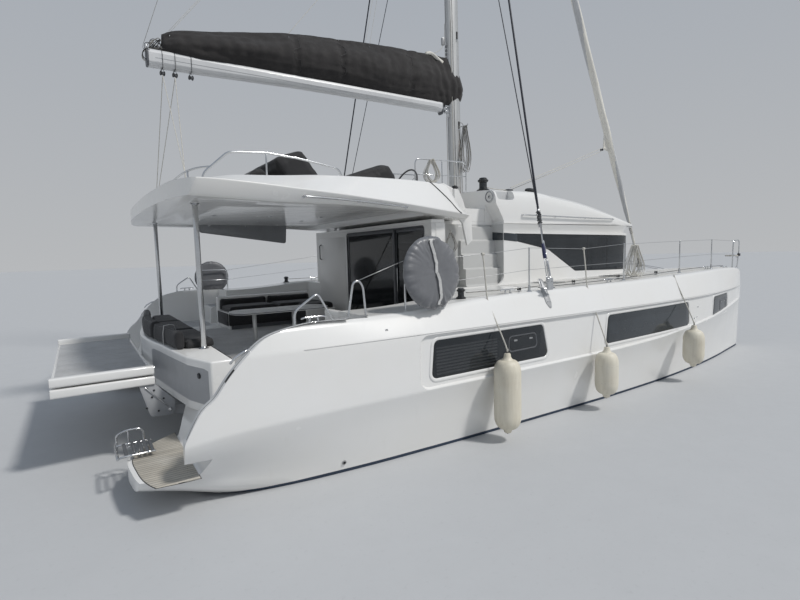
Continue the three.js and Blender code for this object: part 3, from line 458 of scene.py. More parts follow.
def spline(pts, step=0.05, closed=False):
    """Points along a smooth curve through pts, about step apart."""
    P = [Vector(p) for p in pts]
    n = len(P)
    out = []
    last = n if closed else n - 1
    for i in range(last):
        p0 = P[(i - 1) % n] if closed or i > 0 else P[0] * 2 - P[1]
        p1, p2 = P[i], P[(i + 1) % n]
        p3 = P[(i + 2) % n] if closed or i + 2 < n else P[-1] * 2 - P[-2]
        # centripetal
        t01, t12, t23 = (max((a - b).length, 1e-6) ** 0.5 for a, b in ((p0, p1), (p1, p2), (p2, p3)))
        m1 = (p2 - p1 + t12 * ((p1 - p0) / t01 - (p2 - p0) / (t01 + t12)))
        m2 = (p2 - p1 + t12 * ((p3 - p2) / t23 - (p3 - p1) / (t12 + t23)))
        k = max(1, int(round((p2 - p1).length / step)))
        for j in range(k):
            t = j / k
            out.append((2 * t ** 3 - 3 * t ** 2 + 1) * p1 + (t ** 3 - 2 * t ** 2 + t) * m1 + (-2 * t ** 3 + 3 * t ** 2) * p2 + (t ** 3 - t ** 2) * m2)
    if not closed:
        out.append(P[-1])
    return out


def bent(pts, r, n=6):
    """Path of straight runs with rounded bends."""
    P = [Vector(p) for p in pts]
    out = [P[0]]
    for i in range(1, len(P) - 1):
        a, b, c = P[i - 1], P[i], P[i + 1]
        u, v = (a - b), (c - b)
        t = min(r, u.length * 0.49, v.length * 0.49)
        u.normalize()
        v.normalize()
        p0, p1 = b + u * t, b + v * t
        for k in range(n + 1):
            w = k / n
            out.append((1 - w) ** 2 * p0 + 2 * w * (1 - w) * b + w ** 2 * p1)
    out.append(P[-1])
    return out


def tube_mesh(path, r, n=10, caps=True, flat=None, closed=False, radii=None):
    """Round bar along a path, with a uv map: u round it, v along it in metres."""
    P = [Vector(p) for p in path]
    m = len(P)
    T = []
    for i in range(m):
        a = P[i - 1] if (i > 0 or closed) else P[i]
        b = P[(i + 1) % m] if (i < m - 1 or closed) else P[i]
        d = b - a
        T.append(d.normalized() if d.length > 1e-9 else (T[-1] if T else Vector((0, 0, 1))))
    up = Vector((0, 0, 1)) if abs(T[0].z) < 0.9 else Vector((1, 0, 0))
    u = up.cross(T[0]).normalized()
    bm = bmesh.new()
    uv = bm.loops.layers.uv.new("uv")
    rings, along = [], [0.0]
    for i in range(m):
        if i:
            q = T[i - 1].rotation_difference(T[i])
            u = (q @ u)
            u = (u - u.dot(T[i]) * T[i]).normalized()
            along.append(along[-1] + (P[i] - P[i - 1]).length)
        v = T[i].cross(u)
        rr = radii[i] if radii else r
        r2 = flat * rr / r if flat else rr
        rings.append([bm.verts.new(P[i] + u * math.cos(2 * math.pi * k / n) * rr + v * math.sin(2 * math.pi * k / n) * r2) for k in range(n)])
    tot = m if closed else m - 1
    for i in range(tot):
        A, B = rings[i], rings[(i + 1) % m]
        va = along[i]
        vb = along[i + 1] if i + 1 < m else along[i] + (P[0] - P[i]).length
        for k in range(n):
            j = (k + 1) % n
            f = bm.faces.new((A[k], A[j], B[j], B[k]))
            for lp, (uu, vv) in zip(f.loops, ((k / n, va), ((k + 1) / n, va), ((k + 1) / n, vb), (k / n, vb))):
                lp[uv].uv = (uu, vv)
    if caps and not closed:
        for ring, i, d in ((rings[0], 0, -1), (rings[-1], m - 1, 1)):
            rr = radii[i] if radii else r
            tip = P[i] + T[i] * d * rr * 0.55
            mid = [bm.verts.new(P[i] + (v.co - P[i]) * 0.7 + T[i] * d * rr * 0.4) for v in ring]
            for k in range(n):
                j = (k + 1) % n
                bm.faces.new((ring[k], ring[j], mid[j], mid[k]) if d > 0 else (ring[j], ring[k], mid[k], mid[j]))
            bm.faces.new(mid if d > 0 else mid[::-1])
    bmesh.ops.recalc_face_normals(bm, faces=bm.faces)
    me = bpy.data.meshes.new("tube")
    bm.to_mesh(me)
    bm.free()
    return me


def merge(meshes):
    """Several meshes with their uv maps in one."""
    bm = bmesh.new()
    for me in meshes:
        bm.from_mesh(me)
    out = bpy.data.meshes.new("merged")
    bm.to_mesh(out)
    bm.free()
    return out


def tube(name, path, r, mat, body="boat", slot=None, n=10, **kw):
    return put(name, tube_mesh(path, r, n, **kw), mat, body, slot, 60)


def lathe_mesh(profile, point, direction, n=32):
    """Turned shape: (radius, height) pairs from axis to axis, or closed on itself, on a point along a direction."""
    q = Vector((0, 0, 1)).rotation_difference(Vector(direction).normalized())
    o = Vector(point)
    rings = []
    for r, h in profile:
        rings.append([o + q @ Vector((max(r, 1e-5) * math.cos(2 * math.pi * k / n), max(r, 1e-5) * math.sin(2 * math.pi * k / n), h)) for k in range(n)])
    ends = profile[0][0] > 1e-4 and profile[-1] == profile[0]
    if ends:
        return loft(rings[:-1], cap=False, loop=True)
    return clean(*skin(rings, cap=True), weld=2e-5)


def pchip(xs, ys):
    """Smooth curve through a table that never overshoots it."""
    xs, ys = np.array(xs, float), np.array(ys, float)
    h, d = np.diff(xs), np.diff(ys) / np.diff(xs)
    m = np.zeros(len(xs))
    for i in range(1, len(xs) - 1):
        if d[i - 1] * d[i] > 0:
            w1, w2 = 2 * h[i] + h[i - 1], h[i] + 2 * h[i - 1]
            m[i] = (w1 + w2) / (w1 / d[i - 1] + w2 / d[i])
    m[0], m[-1] = d[0], d[-1]

    def f(x):
        x = min(max(x, xs[0]), xs[-1])
        i = int(min(max(np.searchsorted(xs, x) - 1, 0), len(xs) - 2))
        t = (x - xs[i]) / h[i]
        return float((2 * t ** 3 - 3 * t ** 2 + 1) * ys[i] + (t ** 3 - 2 * t ** 2 + t) * h[i] * m[i] + (-2 * t ** 3 + 3 * t ** 2) * ys[i + 1] + (t ** 3 - t ** 2) * h[i] * m[i + 1])

    return f


def solidify_apply(me, thickness, off=-1):
    a = bpy.data.objects.new("sol", me)
    SC.collection.objects.link(a)
    m = a.modifiers.new("s", "SOLIDIFY")
    m.thickness, m.offset = thickness, off
    out = bpy.data.meshes.new_from_object(a.evaluated_get(bpy.context.evaluated_depsgraph_get()))
    bpy.data.objects.remove(a)
    return out


def subdivided(me, levels=1):
    a = bpy.data.objects.new("sub", me)
    SC.collection.objects.link(a)
    m = a.modifiers.new("s", "SUBSURF")
    m.levels = m.render_levels = levels
    out = bpy.data.meshes.new_from_object(a.evaluated_get(bpy.context.evaluated_depsgraph_get()))
    bpy.data.objects.remove(a)
    return out


SIDES = (("starboard", -1), ("port", 1))


# ---------- materials ----------
class Mat:
    def __init__(self, name, base, rough, metal=0.0):
        self.m = bpy.data.materials.new(name)
        self.m.use_nodes = True
        self.nt = self.m.node_tree
        self.nt.nodes.clear()
        self.out = self.node("OutputMaterial")
        self.b = self.node("BsdfPrincipled")
        self.link(self.b.outputs[0], self.out.inputs[0])
        self.set("Base Color", (*base, 1))
        self.set("Roughness", rough)
        self.set("Metallic", metal)
        self.base, self.rough = base, rough
        self.coord = self.node("TexCoord")
        self.normal = None

    def node(self, kind, **kw):
        n = self.nt.nodes.new("ShaderNode" + kind)
        for k, v in kw.items():
            setattr(n, k, v)
        return n

    def link(self, a, b):
        self.nt.links.new(a, b)

    def set(self, name, v):
        self.b.inputs[name].default_value = v
        return self

    def mapping(self, scale=(1, 1, 1), uv=False, rot=(0, 0, 0)):
        mp = self.node("Mapping")
        mp.inputs["Scale"].default_value = scale
        mp.inputs["Rotation"].default_value = rot
        self.link(self.coord.outputs["UV" if uv else "Object"], mp.inputs["Vector"])
        return mp.outputs[0]

    def noise(self, scale, detail=3.0, rough=0.55, vec=None, stretch=(1, 1, 1), dist=0.0):
        n = self.node("TexNoise")
        n.inputs["Scale"].default_value = scale
        n.inputs["Detail"].default_value = detail
        n.inputs["Roughness"].default_value = rough
        n.inputs["Distortion"].default_value = dist
        self.link(vec or self.mapping(stretch), n.inputs["Vector"])
        return n.outputs["Fac"]

    def ramp(self, fac, stops):
        r = self.node("ValToRGB")
        els = r.color_ramp.elements
        while len(els) < len(stops):
            els.new(0.5)
        for e, (p, c) in zip(els, stops):
            e.position = p
            e.color = (c, c, c, 1) if isinstance(c, (int, float)) else (*c, 1)
        self.link(fac, r.inputs[0])
        return r.outputs[0]

    def mix(self, fac, a, b, kind="MIX"):
        n = self.node("Mix", data_type="RGBA", blend_type=kind)
        for sock, v in ((n.inputs[0], fac), (n.inputs[6], a), (n.inputs[7], b)):
            if isinstance(v, (int, float)):
                sock.default_value = v
            elif isinstance(v, tuple):
                sock.default_value = (*v, 1)
            else:
                self.link(v, sock)
        return n.outputs[2]

    def math(self, op, a, b=0.0, clamp=False):
        n = self.node("Math", operation=op, use_clamp=clamp)
        for sock, v in ((n.inputs[0], a), (n.inputs[1], b)):
            if isinstance(v, (int, float)):
                sock.default_value = v
            else:
                self.link(v, sock)
        return n.outputs[0]

    def colour(self, c):
        self.link(c, self.b.inputs["Base Color"])
        return self

    def roughness(self, fac, lo, hi):
        n = self.node("MapRange")
        n.inputs[3].default_value, n.inputs[4].default_value = lo, hi
        self.link(fac, n.inputs[0])
        self.link(n.outputs[0], self.b.inputs["Roughness"])
        return self

    def bump(self, height, distance, strength=1.0):
        n = self.node("Bump")
        n.inputs["Distance"].default_value = distance
        n.inputs["Strength"].default_value = strength
        self.link(height, n.inputs["Height"])
        if self.normal is not None:
            self.link(self.normal, n.inputs["Normal"])
        self.normal = n.outputs[0]
        self.link(self.normal, self.b.inputs["Normal"])
        return self

    def soft_edges(self, radius=0.008):
        n = self.node("Bevel")
        n.samples = 4
        n.inputs["Radius"].default_value = radius
        self.normal = n.outputs[0]
        self.link(self.normal, self.b.inputs["Normal"])
        return self

    def separate(self, vec):
        s = self.node("SeparateXYZ")
        self.link(vec, s.inputs[0])
        return s.outputs


def dark(c, k):
    return tuple(x * k for x in c)


def gelcoat(name, base=(0.80, 0.80, 0.79), rough=0.24, grime=0.5, streaks=0.5, edge=0.007):
    m = Mat(name, base, rough)
    m.soft_edges(edge)
    big = m.noise(0.7, 4)
    fine = m.noise(9, 5, 0.6)
    run = m.noise(1.0, 4, 0.6, stretch=(5.5, 5.5, 0.45))
    c = m.mix(m.ramp(big, [(0.35, 0.0), (0.75, 1.0)]), base, (base[0] * 0.975, base[1] * 0.965, base[2] * 0.945))
    dirt = m.ramp(run, [(0.62, 0.0), (0.86, 0.16 * streaks)])
    c = m.mix(dirt, c, (0.42, 0.40, 0.35))
    spots = m.math("MULTIPLY", m.ramp(fine, [(0.66, 0.0), (0.84, 0.13 * grime)]), m.ramp(big, [(0.4, 0.2), (0.7, 1.0)]))
    c = m.mix(spots, c, (0.38, 0.36, 0.32))
    m.colour(c)
    m.roughness(m.noise(2.2, 4, 0.5), rough * 0.85, rough * 1.25)
    m.bump(m.noise(1.6, 2), 0.004, 0.10)
    m.set("Coat Weight", 0.35).set("Coat Roughness", 0.08)
    return m.m


def nonskid(name, base=(0.60, 0.585, 0.54), pitch=0.016, grime=1.0):
    m = Mat(name, base, 0.72)
    v = m.mapping((1 / pitch, 1 / pitch, 1 / pitch), rot=(0, 0, math.radians(45)))
    x, y, _ = m.separate(v)
    sx = m.math("SINE", m.math("MULTIPLY", x, 2 * math.pi))
    sy = m.math("SINE", m.math("MULTIPLY", y, 2 * math.pi))
    dots = m.math("MULTIPLY", sx, sy)
    c = m.mix(m.ramp(m.noise(2.2, 5, 0.65), [(0.3, 0.0), (0.75, 0.9)]), base, dark(base, 0.78))
    c = m.mix(m.ramp(m.noise(14, 6, 0.7), [(0.5, 0.0), (0.8, 0.45 * grime)]), c, (0.30, 0.28, 0.24))
    m.colour(c)
    m.roughness(m.noise(5), 0.6, 0.85)
    m.bump(m.ramp(dots, [(0.35, 0.0), (0.7, 1.0)]), 0.0012, 0.8)
    return m.m


def planking(name, axis_x=True):
    """Grey-beige synthetic planks with dark seams."""
    base = (0.50, 0.465, 0.40)
    m = Mat(name, base, 0.68)
    p = m.mapping((1, 1, 1))
    x, y, _ = m.separate(p)
    across = y if axis_x else x
    cell = m.math("FRACT", m.math("MULTIPLY", across, 1 / 0.055))
    seam = m.math("GREATER_THAN", m.math("ABSOLUTE", m.math("SUBTRACT", cell, 0.5)), 0.445)
    idx = m.math("FLOOR", m.math("MULTIPLY", across, 1 / 0.055))
    wn = m.node("TexWhiteNoise", noise_dimensions="1D")
    m.link(idx, wn.inputs["W"])
    grain = m.noise(1.0, 6, 0.65, stretch=(9, 160, 9) if axis_x else (160, 9, 9), dist=0.3)
    tone = m.mix(wn.outputs["Value"], dark(base, 0.86), dark(base, 1.1))
    tone = m.mix(m.ramp(grain, [(0.35, 0.0), (0.7, 0.6)]), tone, (0.33, 0.30, 0.25))
    tone = m.mix(m.ramp(m.noise(3, 5, 0.6), [(0.45, 0.0), (0.8, 0.6)]), tone, (0.62, 0.60, 0.55))
    c = m.mix(seam, tone, (0.045, 0.045, 0.048))
    m.colour(c)
    m.roughness(grain, 0.55, 0.82)
    m.bump(grain, 0.0008, 0.5)
    m.bump(m.math("SUBTRACT", 1.0, seam), 0.0015, 0.8)
    return m.m


def plastic(name, base, rough, var=0.1, bumpy=0.0004, scale=30, edge=0.004, coat=0.0, worn=None):
    m = Mat(name, base, rough)
    if edge:
        m.soft_edges(edge)
    c = m.mix(m.ramp(m.noise(2.3, 5, 0.6), [(0.3, 0.0), (0.75, 1.0)]), base, dark(base, 1 - var))
    c = m.mix(m.ramp(m.noise(17, 5, 0.65), [(0.58, 0.0), (0.8, 0.35)]), c, worn or dark(base, 0.7))
    m.colour(c)
    m.roughness(m.noise(6, 5), rough * 0.8, min(1.0, rough * 1.3))
    m.bump(m.noise(scale * 10, 2), bumpy, 0.5)
    if coat:
        m.set("Coat Weight", coat)
    return m.m


def metal(name, base, rough, brushed=(1, 1, 1), spots=0.4, stain=(0.30, 0.24, 0.17)):
    m = Mat(name, base, rough, 1.0)
    c = m.mix(m.ramp(m.noise(4, 6, 0.65), [(0.35, 0.0), (0.75, 1.0)]), base, dark(base, 0.82))
    c = m.mix(m.ramp(m.noise(23, 6, 0.7), [(0.66, 0.0), (0.84, spots)]), c, stain)
    m.colour(c)
    g = m.noise(60, 4, 0.6, stretch=brushed)
    m.roughness(g, rough * 0.65, rough * 1.7)
    m.bump(g, 0.0003, 0.35)
    return m.m


def painted_alloy(name):
    """Anodised spar, worn and chalky with runs down it."""
    base = (0.52, 0.53, 0.53)
    m = Mat(name, base, 0.42, 0.75)
    run = m.noise(1.0, 6, 0.65, stretch=(28, 28, 0.8))
    c = m.mix(m.ramp(run, [(0.35, 0.0), (0.72, 1.0)]), base, (0.66, 0.66, 0.65))
    c = m.mix(m.ramp(m.noise(7, 6, 0.7), [(0.56, 0.0), (0.8, 0.7)]), c, (0.26, 0.25, 0.23))
    m.colour(c)
    m.roughness(run, 0.3, 0.6)
    m.bump(m.noise(40, 4), 0.0004, 0.3)
    return m.m


def cloth(name, base, rough=0.85, pitch=0.0016, var=0.16, sheen=0.3, fold=0.004, fold_scale=6, faded=None, uv=False, coat=0.0, weave=0.0005):
    m = Mat(name, base, rough)
    v = m.mapping((1 / pitch, 1 / pitch, 1 / pitch))
    x, y, z = m.separate(v)
    a = m.math("SINE", m.math("MULTIPLY", m.math("ADD", x, z), math.pi))
    b = m.math("SINE", m.math("MULTIPLY", m.math("SUBTRACT", m.math("ADD", y, x), z), math.pi))
    w = m.math("MULTIPLY", a, b)
    c = m.mix(m.ramp(m.noise(1.7, 5, 0.6), [(0.3, 0.0), (0.75, 1.0)]), base, dark(base, 1 - var))
    c = m.mix(m.ramp(m.noise(6.5, 6, 0.7), [(0.5, 0.0), (0.82, 0.5)]), c, faded or tuple(min(1, k * 1.35 + 0.01) for k in base))
    c = m.mix(m.ramp(w, [(0.0, 0.0), (1.0, 0.22)]), c, dark(base, 0.7))
    m.colour(c)
    m.roughness(m.noise(9, 4), rough * 0.85, min(1, rough * 1.1))
    m.bump(m.noise(fold_scale, 4, 0.5, dist=0.4), fold, 0.5)
    m.bump(w, weave, 0.6)
    m.set("Sheen Weight", sheen).set("Sheen Roughness", 0.5)
    if coat:
        m.set("Coat Weight", coat).set("Coat Roughness", 0.25)
    return m.m


def braid(name, base, fleck, rough=0.8, strands=16, pitch=0.030, share=0.25):
    """Braided rope by its uv map: u round, v along in metres."""
    m = Mat(name, base, rough)
    v = m.mapping((1, 1, 1), uv=True)
    u, l, _ = m.separate(v)
    a = m.math("FRACT", m.math("ADD", m.math("MULTIPLY", u, 4), m.math("MULTIPLY", l, 1 / pitch)))
    b = m.math("FRACT", m.math("SUBTRACT", m.math("MULTIPLY", u, 4), m.math("MULTIPLY", l, 1 / pitch)))
    ra = m.math("ABSOLUTE", m.math("SUBTRACT", a, 0.5))
    rb = m.math("ABSOLUTE", m.math("SUBTRACT", b, 0.5))
    h = m.math("MAXIMUM", ra, rb)
    fl = m.math("LESS_THAN", m.math("FRACT", m.math("ADD", m.math("MULTIPLY", u, 1), m.math("MULTIPLY", l, 0.25 / pitch))), share)
    c = m.mix(m.math("MULTIPLY", fl, 0.85), base, fleck)
    # painted shade: darker in the hollows of the braid, where its bump is lowest
    c = m.mix(m.ramp(h, [(0.25, 0.5), (0.45, 0.0)]), c, dark(base, 0.45))
    c = m.mix(m.ramp(m.noise(8, 5, 0.65), [(0.4, 0.0), (0.8, 0.55)]), c, dark(base, 0.62))
    m.colour(c)
    m.roughness(m.noise(30, 3), rough * 0.9, min(1, rough * 1.15))
    m.bump(h, 0.0012, 0.8)
    return m.m


def glazing(name, base, alpha, rough=0.05):
    m = Mat(name, base, rough)
    c = m.mix(m.ramp(m.noise(1.3, 4, 0.6), [(0.3, 0.0), (0.8, 1.0)]), base, tuple(min(1, k * 1.5 + 0.012) for k in base))
    m.colour(c)
    m.roughness(m.noise(5, 5, 0.6), rough * 0.5, rough * 2.6)
    m.bump(m.noise(1.1, 2), 0.002, 0.15)
    m.set("Alpha", alpha).set("Specular IOR Level", 0.6)
    return m.m


def veneer(name):
    base = (0.34, 0.22, 0.125)
    m = Mat(name, base, 0.42)
    g = m.noise(1.0, 7, 0.65, stretch=(3, 3, 70), dist=0.6)
    c = m.mix(m.ramp(g, [(0.3, 0.0), (0.7, 1.0)]), base, (0.20, 0.12, 0.065))
    m.colour(m.mix(m.ramp(m.noise(2), [(0.3, 0.0), (0.8, 0.4)]), c, (0.42, 0.29, 0.17)))
    m.roughness(g, 0.32, 0.55)
    m.bump(g, 0.0003, 0.4)
    return m.m


def fender_vinyl(name):
    base = (0.70, 0.655, 0.54)
    m = Mat(name, base, 0.5)
    run = m.noise(1.0, 6, 0.7, stretch=(14, 14, 1.4))
    c = m.mix(m.ramp(run, [(0.4, 0.0), (0.8, 0.75)]), base, (0.50, 0.445, 0.345))
    c = m.mix(m.ramp(m.noise(28, 6, 0.75), [(0.6, 0.0), (0.78, 0.7)]), c, (0.20, 0.185, 0.16))
    c = m.mix(m.ramp(m.noise(2.2, 3), [(0.35, 0.0), (0.8, 0.7)]), c, (0.78, 0.75, 0.66))
    m.colour(c)
    m.roughness(run, 0.38, 0.7)
    m.bump(m.noise(9, 4), 0.004, 0.35)
    m.bump(m.noise(160, 3), 0.0006, 0.5)
    return m.m


GEL = gelcoat("gelcoat_white")
GEL_DECK = gelcoat("gelcoat_deck", (0.79, 0.79, 0.775), 0.34, grime=0.9, streaks=0.15)
GEL_LINER = gelcoat("gelcoat_liner", (0.74, 0.74, 0.73), 0.38, grime=0.2, streaks=0.0)
# grey gelcoat for the faces inside the stair opening: painted shade of the stair well
WELL_SHADE = gelcoat("stair_well", (0.50, 0.505, 0.50), 0.38, grime=0.2, streaks=0.0)
NONSKID = nonskid("deck_nonskid", (0.68, 0.67, 0.64))
TREAD = nonskid("tread_grey", (0.50, 0.505, 0.51), 0.014)
PLANK = planking("platform_planks")
GREY = plastic("panel_grey", (0.36, 0.37, 0.385), 0.42, 0.14, worn=(0.50, 0.50, 0.50))
GREY_LIGHT = plastic("panel_light_grey", (0.56, 0.57, 0.575), 0.4, 0.1)
GREY_DARK = plastic("panel_dark_grey", (0.10, 0.105, 0.115), 0.45, 0.2)
BLACK = plastic("black_plastic", (0.018, 0.019, 0.021), 0.38, 0.3, worn=(0.06, 0.06, 0.062))
RUBBER = plastic("black_rubber", (0.028, 0.028, 0.03), 0.75, 0.2, worn=(0.09, 0.09, 0.088), edge=0.002)
GLASS = glazing("tinted_glass", (0.012, 0.016, 0.020), 0.80)
GLASS_HULL = glazing("hull_glass", (0.020, 0.026, 0.032), 1.0, 0.07)
GLASS_DOOR = glazing("door_glass", (0.010, 0.012, 0.014), 0.72)
STEEL = metal("stainless", (0.66, 0.67, 0.68), 0.20)
STEEL_DULL = metal("stainless_dull", (0.46, 0.465, 0.47), 0.36, spots=0.7)
CHROME = metal("chrome", (0.74, 0.745, 0.75), 0.11, spots=0.2)
ALLOY = painted_alloy("worn_alloy")
ALLOY_BOOM = plastic("boom_paint", (0.62, 0.63, 0.64), 0.33, 0.12, coat=0.2, worn=(0.45, 0.45, 0.44))
BRONZE = metal("bronze", (0.52, 0.38, 0.18), 0.36, stain=(0.12, 0.22, 0.17))
CANVAS = cloth("canvas_charcoal", (0.023, 0.021, 0.021), 0.88, fold=0.018, fold_scale=4.2, faded=(0.046, 0.042, 0.040), sheen=0.08)
CANVAS_SIDE = cloth("canvas_grey", (0.20, 0.205, 0.215), 0.85, fold=0.006, fold_scale=4)
PACK = cloth("pack_fabric", (0.155, 0.160, 0.172), 0.42, pitch=0.0022, fold=0.004, fold_scale=11, faded=(0.22, 0.225, 0.24), sheen=0.1, coat=0.45, weave=0.0003)
WEBBING = cloth("webbing_silver", (0.62, 0.62, 0.61), 0.6, pitch=0.0025, fold=0.001, sheen=0.2)
SEAT = cloth("upholstery_charcoal", (0.017, 0.017, 0.019), 0.74, pitch=0.002, fold=0.003, fold_scale=5, faded=(0.030, 0.030, 0.033), sheen=0.10)
PIPING = cloth("piping", (0.014, 0.014, 0.016), 0.7, fold=0.0005)
SAIL = cloth("sailcloth", (0.78, 0.76, 0.70), 0.62, pitch=0.003, var=0.10, fold=0.007, fold_scale=5, faded=(0.60, 0.55, 0.46), sheen=0.05)
UVSTRIP = cloth("sail_strip", (0.55, 0.56, 0.57), 0.7, fold=0.006, fold_scale=5)
ANTIFOUL = plastic("antifouling", (0.032, 0.050, 0.085), 0.82, 0.3, 0.001, 12, worn=(0.07, 0.10, 0.10))
FENDER = fender_vinyl("fender_vinyl")
WOOD = veneer("veneer")
ENGINE = plastic("engine_paint", (0.30, 0.32, 0.34), 0.4, 0.15)
ROPE = braid("rope_white", (0.66, 0.64, 0.58), (0.50, 0.48, 0.44))
ROPE_GREY = braid("rope_grey", (0.33, 0.32, 0.295), (0.16, 0.155, 0.15), share=0.4)
ROPE_DARK = braid("rope_dark", (0.035, 0.036, 0.040), (0.11, 0.11, 0.115), share=0.2)
ROPE_RED = braid("rope_fleck", (0.60, 0.58, 0.53), (0.32, 0.05, 0.045), share=0.22)
WIRE = metal("wire", (0.50, 0.505, 0.51), 0.34, brushed=(1, 1, 8))
NETTING = braid("netting_cord", (0.70, 0.70, 0.68), (0.60, 0.60, 0.58), pitch=0.02)
DARK_HOLE = plastic("shadow_gap", (0.012, 0.012, 0.013), 0.8, 0.1, edge=0)
FLOOR = plastic("studio_floor", (0.50, 0.51, 0.52), 0.65, 0.03, 0.0, edge=0)


# ---------- hulls ----------
HULL_Y, KNUCKLE = 3.0, 1.65
STATIONS = [
    (-7.36, .235, .56, .80, .78, 1.90, .98, .70), (-6.90, .11, .64, .96, .93, 1.90, .985, .80), (-6.40, -.06, .71, 1.0, .96, 1.90, .99, .86),
    (-5.50, -.29, .78, 1.03, .93, 1.925, 1.0, .89), (-4.33, -.47, .83, 1.045, .86, 1.93, 1.0, .90), (-2.57, -.60, .85, 1.05, .85, 2.03, 1.0, .90),
    (-.20, -.64, .85, 1.05, .85, 2.07, 1.0, .91), (1.5, -.62, .81, 1.03, .84, 2.09, 1.0, .95), (3.0, -.56, .72, .95, .78, 2.12, .99, 1.04),
    (4.2, -.49, .59, .80, .66, 2.14, .88, 1.11), (5.2, -.42, .44, .61, .48, 2.15, .61, 1.19), (6.1, -.34, .27, .40, .32, 2.135, .40, 1.25),
    (6.8, -.24, .13, .21, .165, 2.09, .21, 1.30), (7.13, -.13, .055, .09, .07, 2.0, .09, 1.33), (7.215, .06, .022, .035, .028, 1.88, .035, 1.34)]
HF = [None] + [pchip([r[0] for r in STATIONS], [r[k] for r in STATIONS]) for k in range(1, 8)]
WING = [(-6.88, .84), (-6.70, 1.15), (-6.57, 1.26), (-6.42, 1.46), (-6.22, 1.67), (-6.02, 1.82), (-5.76, 1.895), (-5.45, 1.935)]
STERN_PLAN = [(-7.01, 2.33), (-7.20, 2.52), (-7.32, 2.80), (-7.315, 3.2), (-7.27, 3.55), (-7.17, 3.82), (-7.03, 4.0), (-6.88, 4.1)]


def smooth(t):
    t = max(0.0, min(1.0, t))
    return t * t * (3 - 2 * t)


def recess_at(x):
    """(depth, lower edge, upper edge) of the band that holds the hull windows."""
    yo, zc = HF[3](x), HF[7](x)
    u = x + 4.05
    end = 0.16
    lift = 0.0
    if u < end:
        lift = end - math.sqrt(max(0.0, end ** 2 - (end - max(u, 0)) ** 2))
    d = min(0.04, yo * 0.16) * smooth(u / 0.035) * smooth((6.9 - x) / 0.5)
    return d, zc + 0.012 + lift, KNUCKLE - 0.020 - lift


def arc(prev, p, nxt, r, n=3):
    a, b, c = Vector(prev), Vector(p), Vector(nxt)
    u, v = a - b, c - b
    t = min(r, u.length * 0.45, v.length * 0.45)
    p0, p1 = b + u.normalized() * t, b + v.normalized() * t
    return [tuple((1 - k / n) ** 2 * p0 + 2 * (k / n) * (1 - k / n) * b + (k / n) ** 2 * p1) for k in range(n + 1)]


def hull_ring(x, s, g=0.0):
    zk, wl, yo, yd, zs, yi, zc = (HF[k](x) for k in range(1, 8))
    d = zc - zk
    dep, zl, zu = recess_at(x)
    low = [(-wl * 0.88, zk + d * 0.2), (-wl * 0.55, zk + d * 0.05), (0, zk), (wl * 0.55, zk + d * 0.05), (wl * 0.88, zk + d * 0.2), (wl, zk + d * 0.42), (yo - min(0.06, yo * 0.2), zc - 0.16)]
    bottom = [tuple(p) for p in smooth_row([(-wl, zk + d * 0.42)] + low, 3)]
    pts = bottom[:-1]
    A4, A5 = low[-1], (yo, zc)
    pts.append(A4)
    pts += arc(A4, A5, (yo, zl), 0.03)
    pts += [(yo, zl), (yo - dep * 0.35, zl + 0.010), (yo - dep, zl + 0.022), (yo - dep, zu - 0.024), (yo - dep * 0.35, zu - 0.010), (yo, zu)]
    K, D = (yo, KNUCKLE), (yd, zs)
    pts += arc((yo, zu), K, D, 0.03)
    rd = min(0.07, yd * 0.4)
    pts += arc(K, D, (-yi, zs), rd, 5)
    pts += arc(D, (-yi, zs), (-yi, zc - 0.1), rd, 4)
    pts += arc((-yi, zs), (-yi, zc - 0.1), (-wl, zk + d * 0.42), 0.15, 4)
    return [(x, s * (HULL_Y + o), z) for o, z in pts]


def smooth_row(pts, k):
    """Catmull-Rom through 2D points with k steps each, always the same count."""
    P = [Vector((p[0], p[1])) for p in pts]
    out = []
    for i in range(len(P) - 1):
        p0 = P[i - 1] if i else P[0] * 2 - P[1]
        p3 = P[i + 2] if i + 2 < len(P) else P[-1] * 2 - P[-2]
        p1, p2 = P[i], P[i + 1]
        for j in range(k):
            t = j / k
            out.append(0.5 * ((2 * p1) + (p2 - p0) * t + (2 * p0 - 5 * p1 + 4 * p2 - p3) * t ** 2 + (3 * p1 - p0 - 3 * p2 + p3) * t ** 3))
    out.append(P[-1])
    return out


def hull_xs():
    xs = set(round(-7.36 + 0.14 * i, 3) for i in range(int(14.5 / 0.14)))
    xs |= {round(-4.05 + 0.012 * i, 3) for i in range(0, 20)}
    xs |= {round(6.3 + 0.06 * i, 3) for i in range(0, 14)} | {7.13, 7.16, 7.18, 7.2, 7.215}
    xs = sorted(x for x in xs if x <= 7.2151)
    out = [xs[0]]
    for x in xs[1:]:
        if x - out[-1] > 0.008:
            out.append(x)
    return out


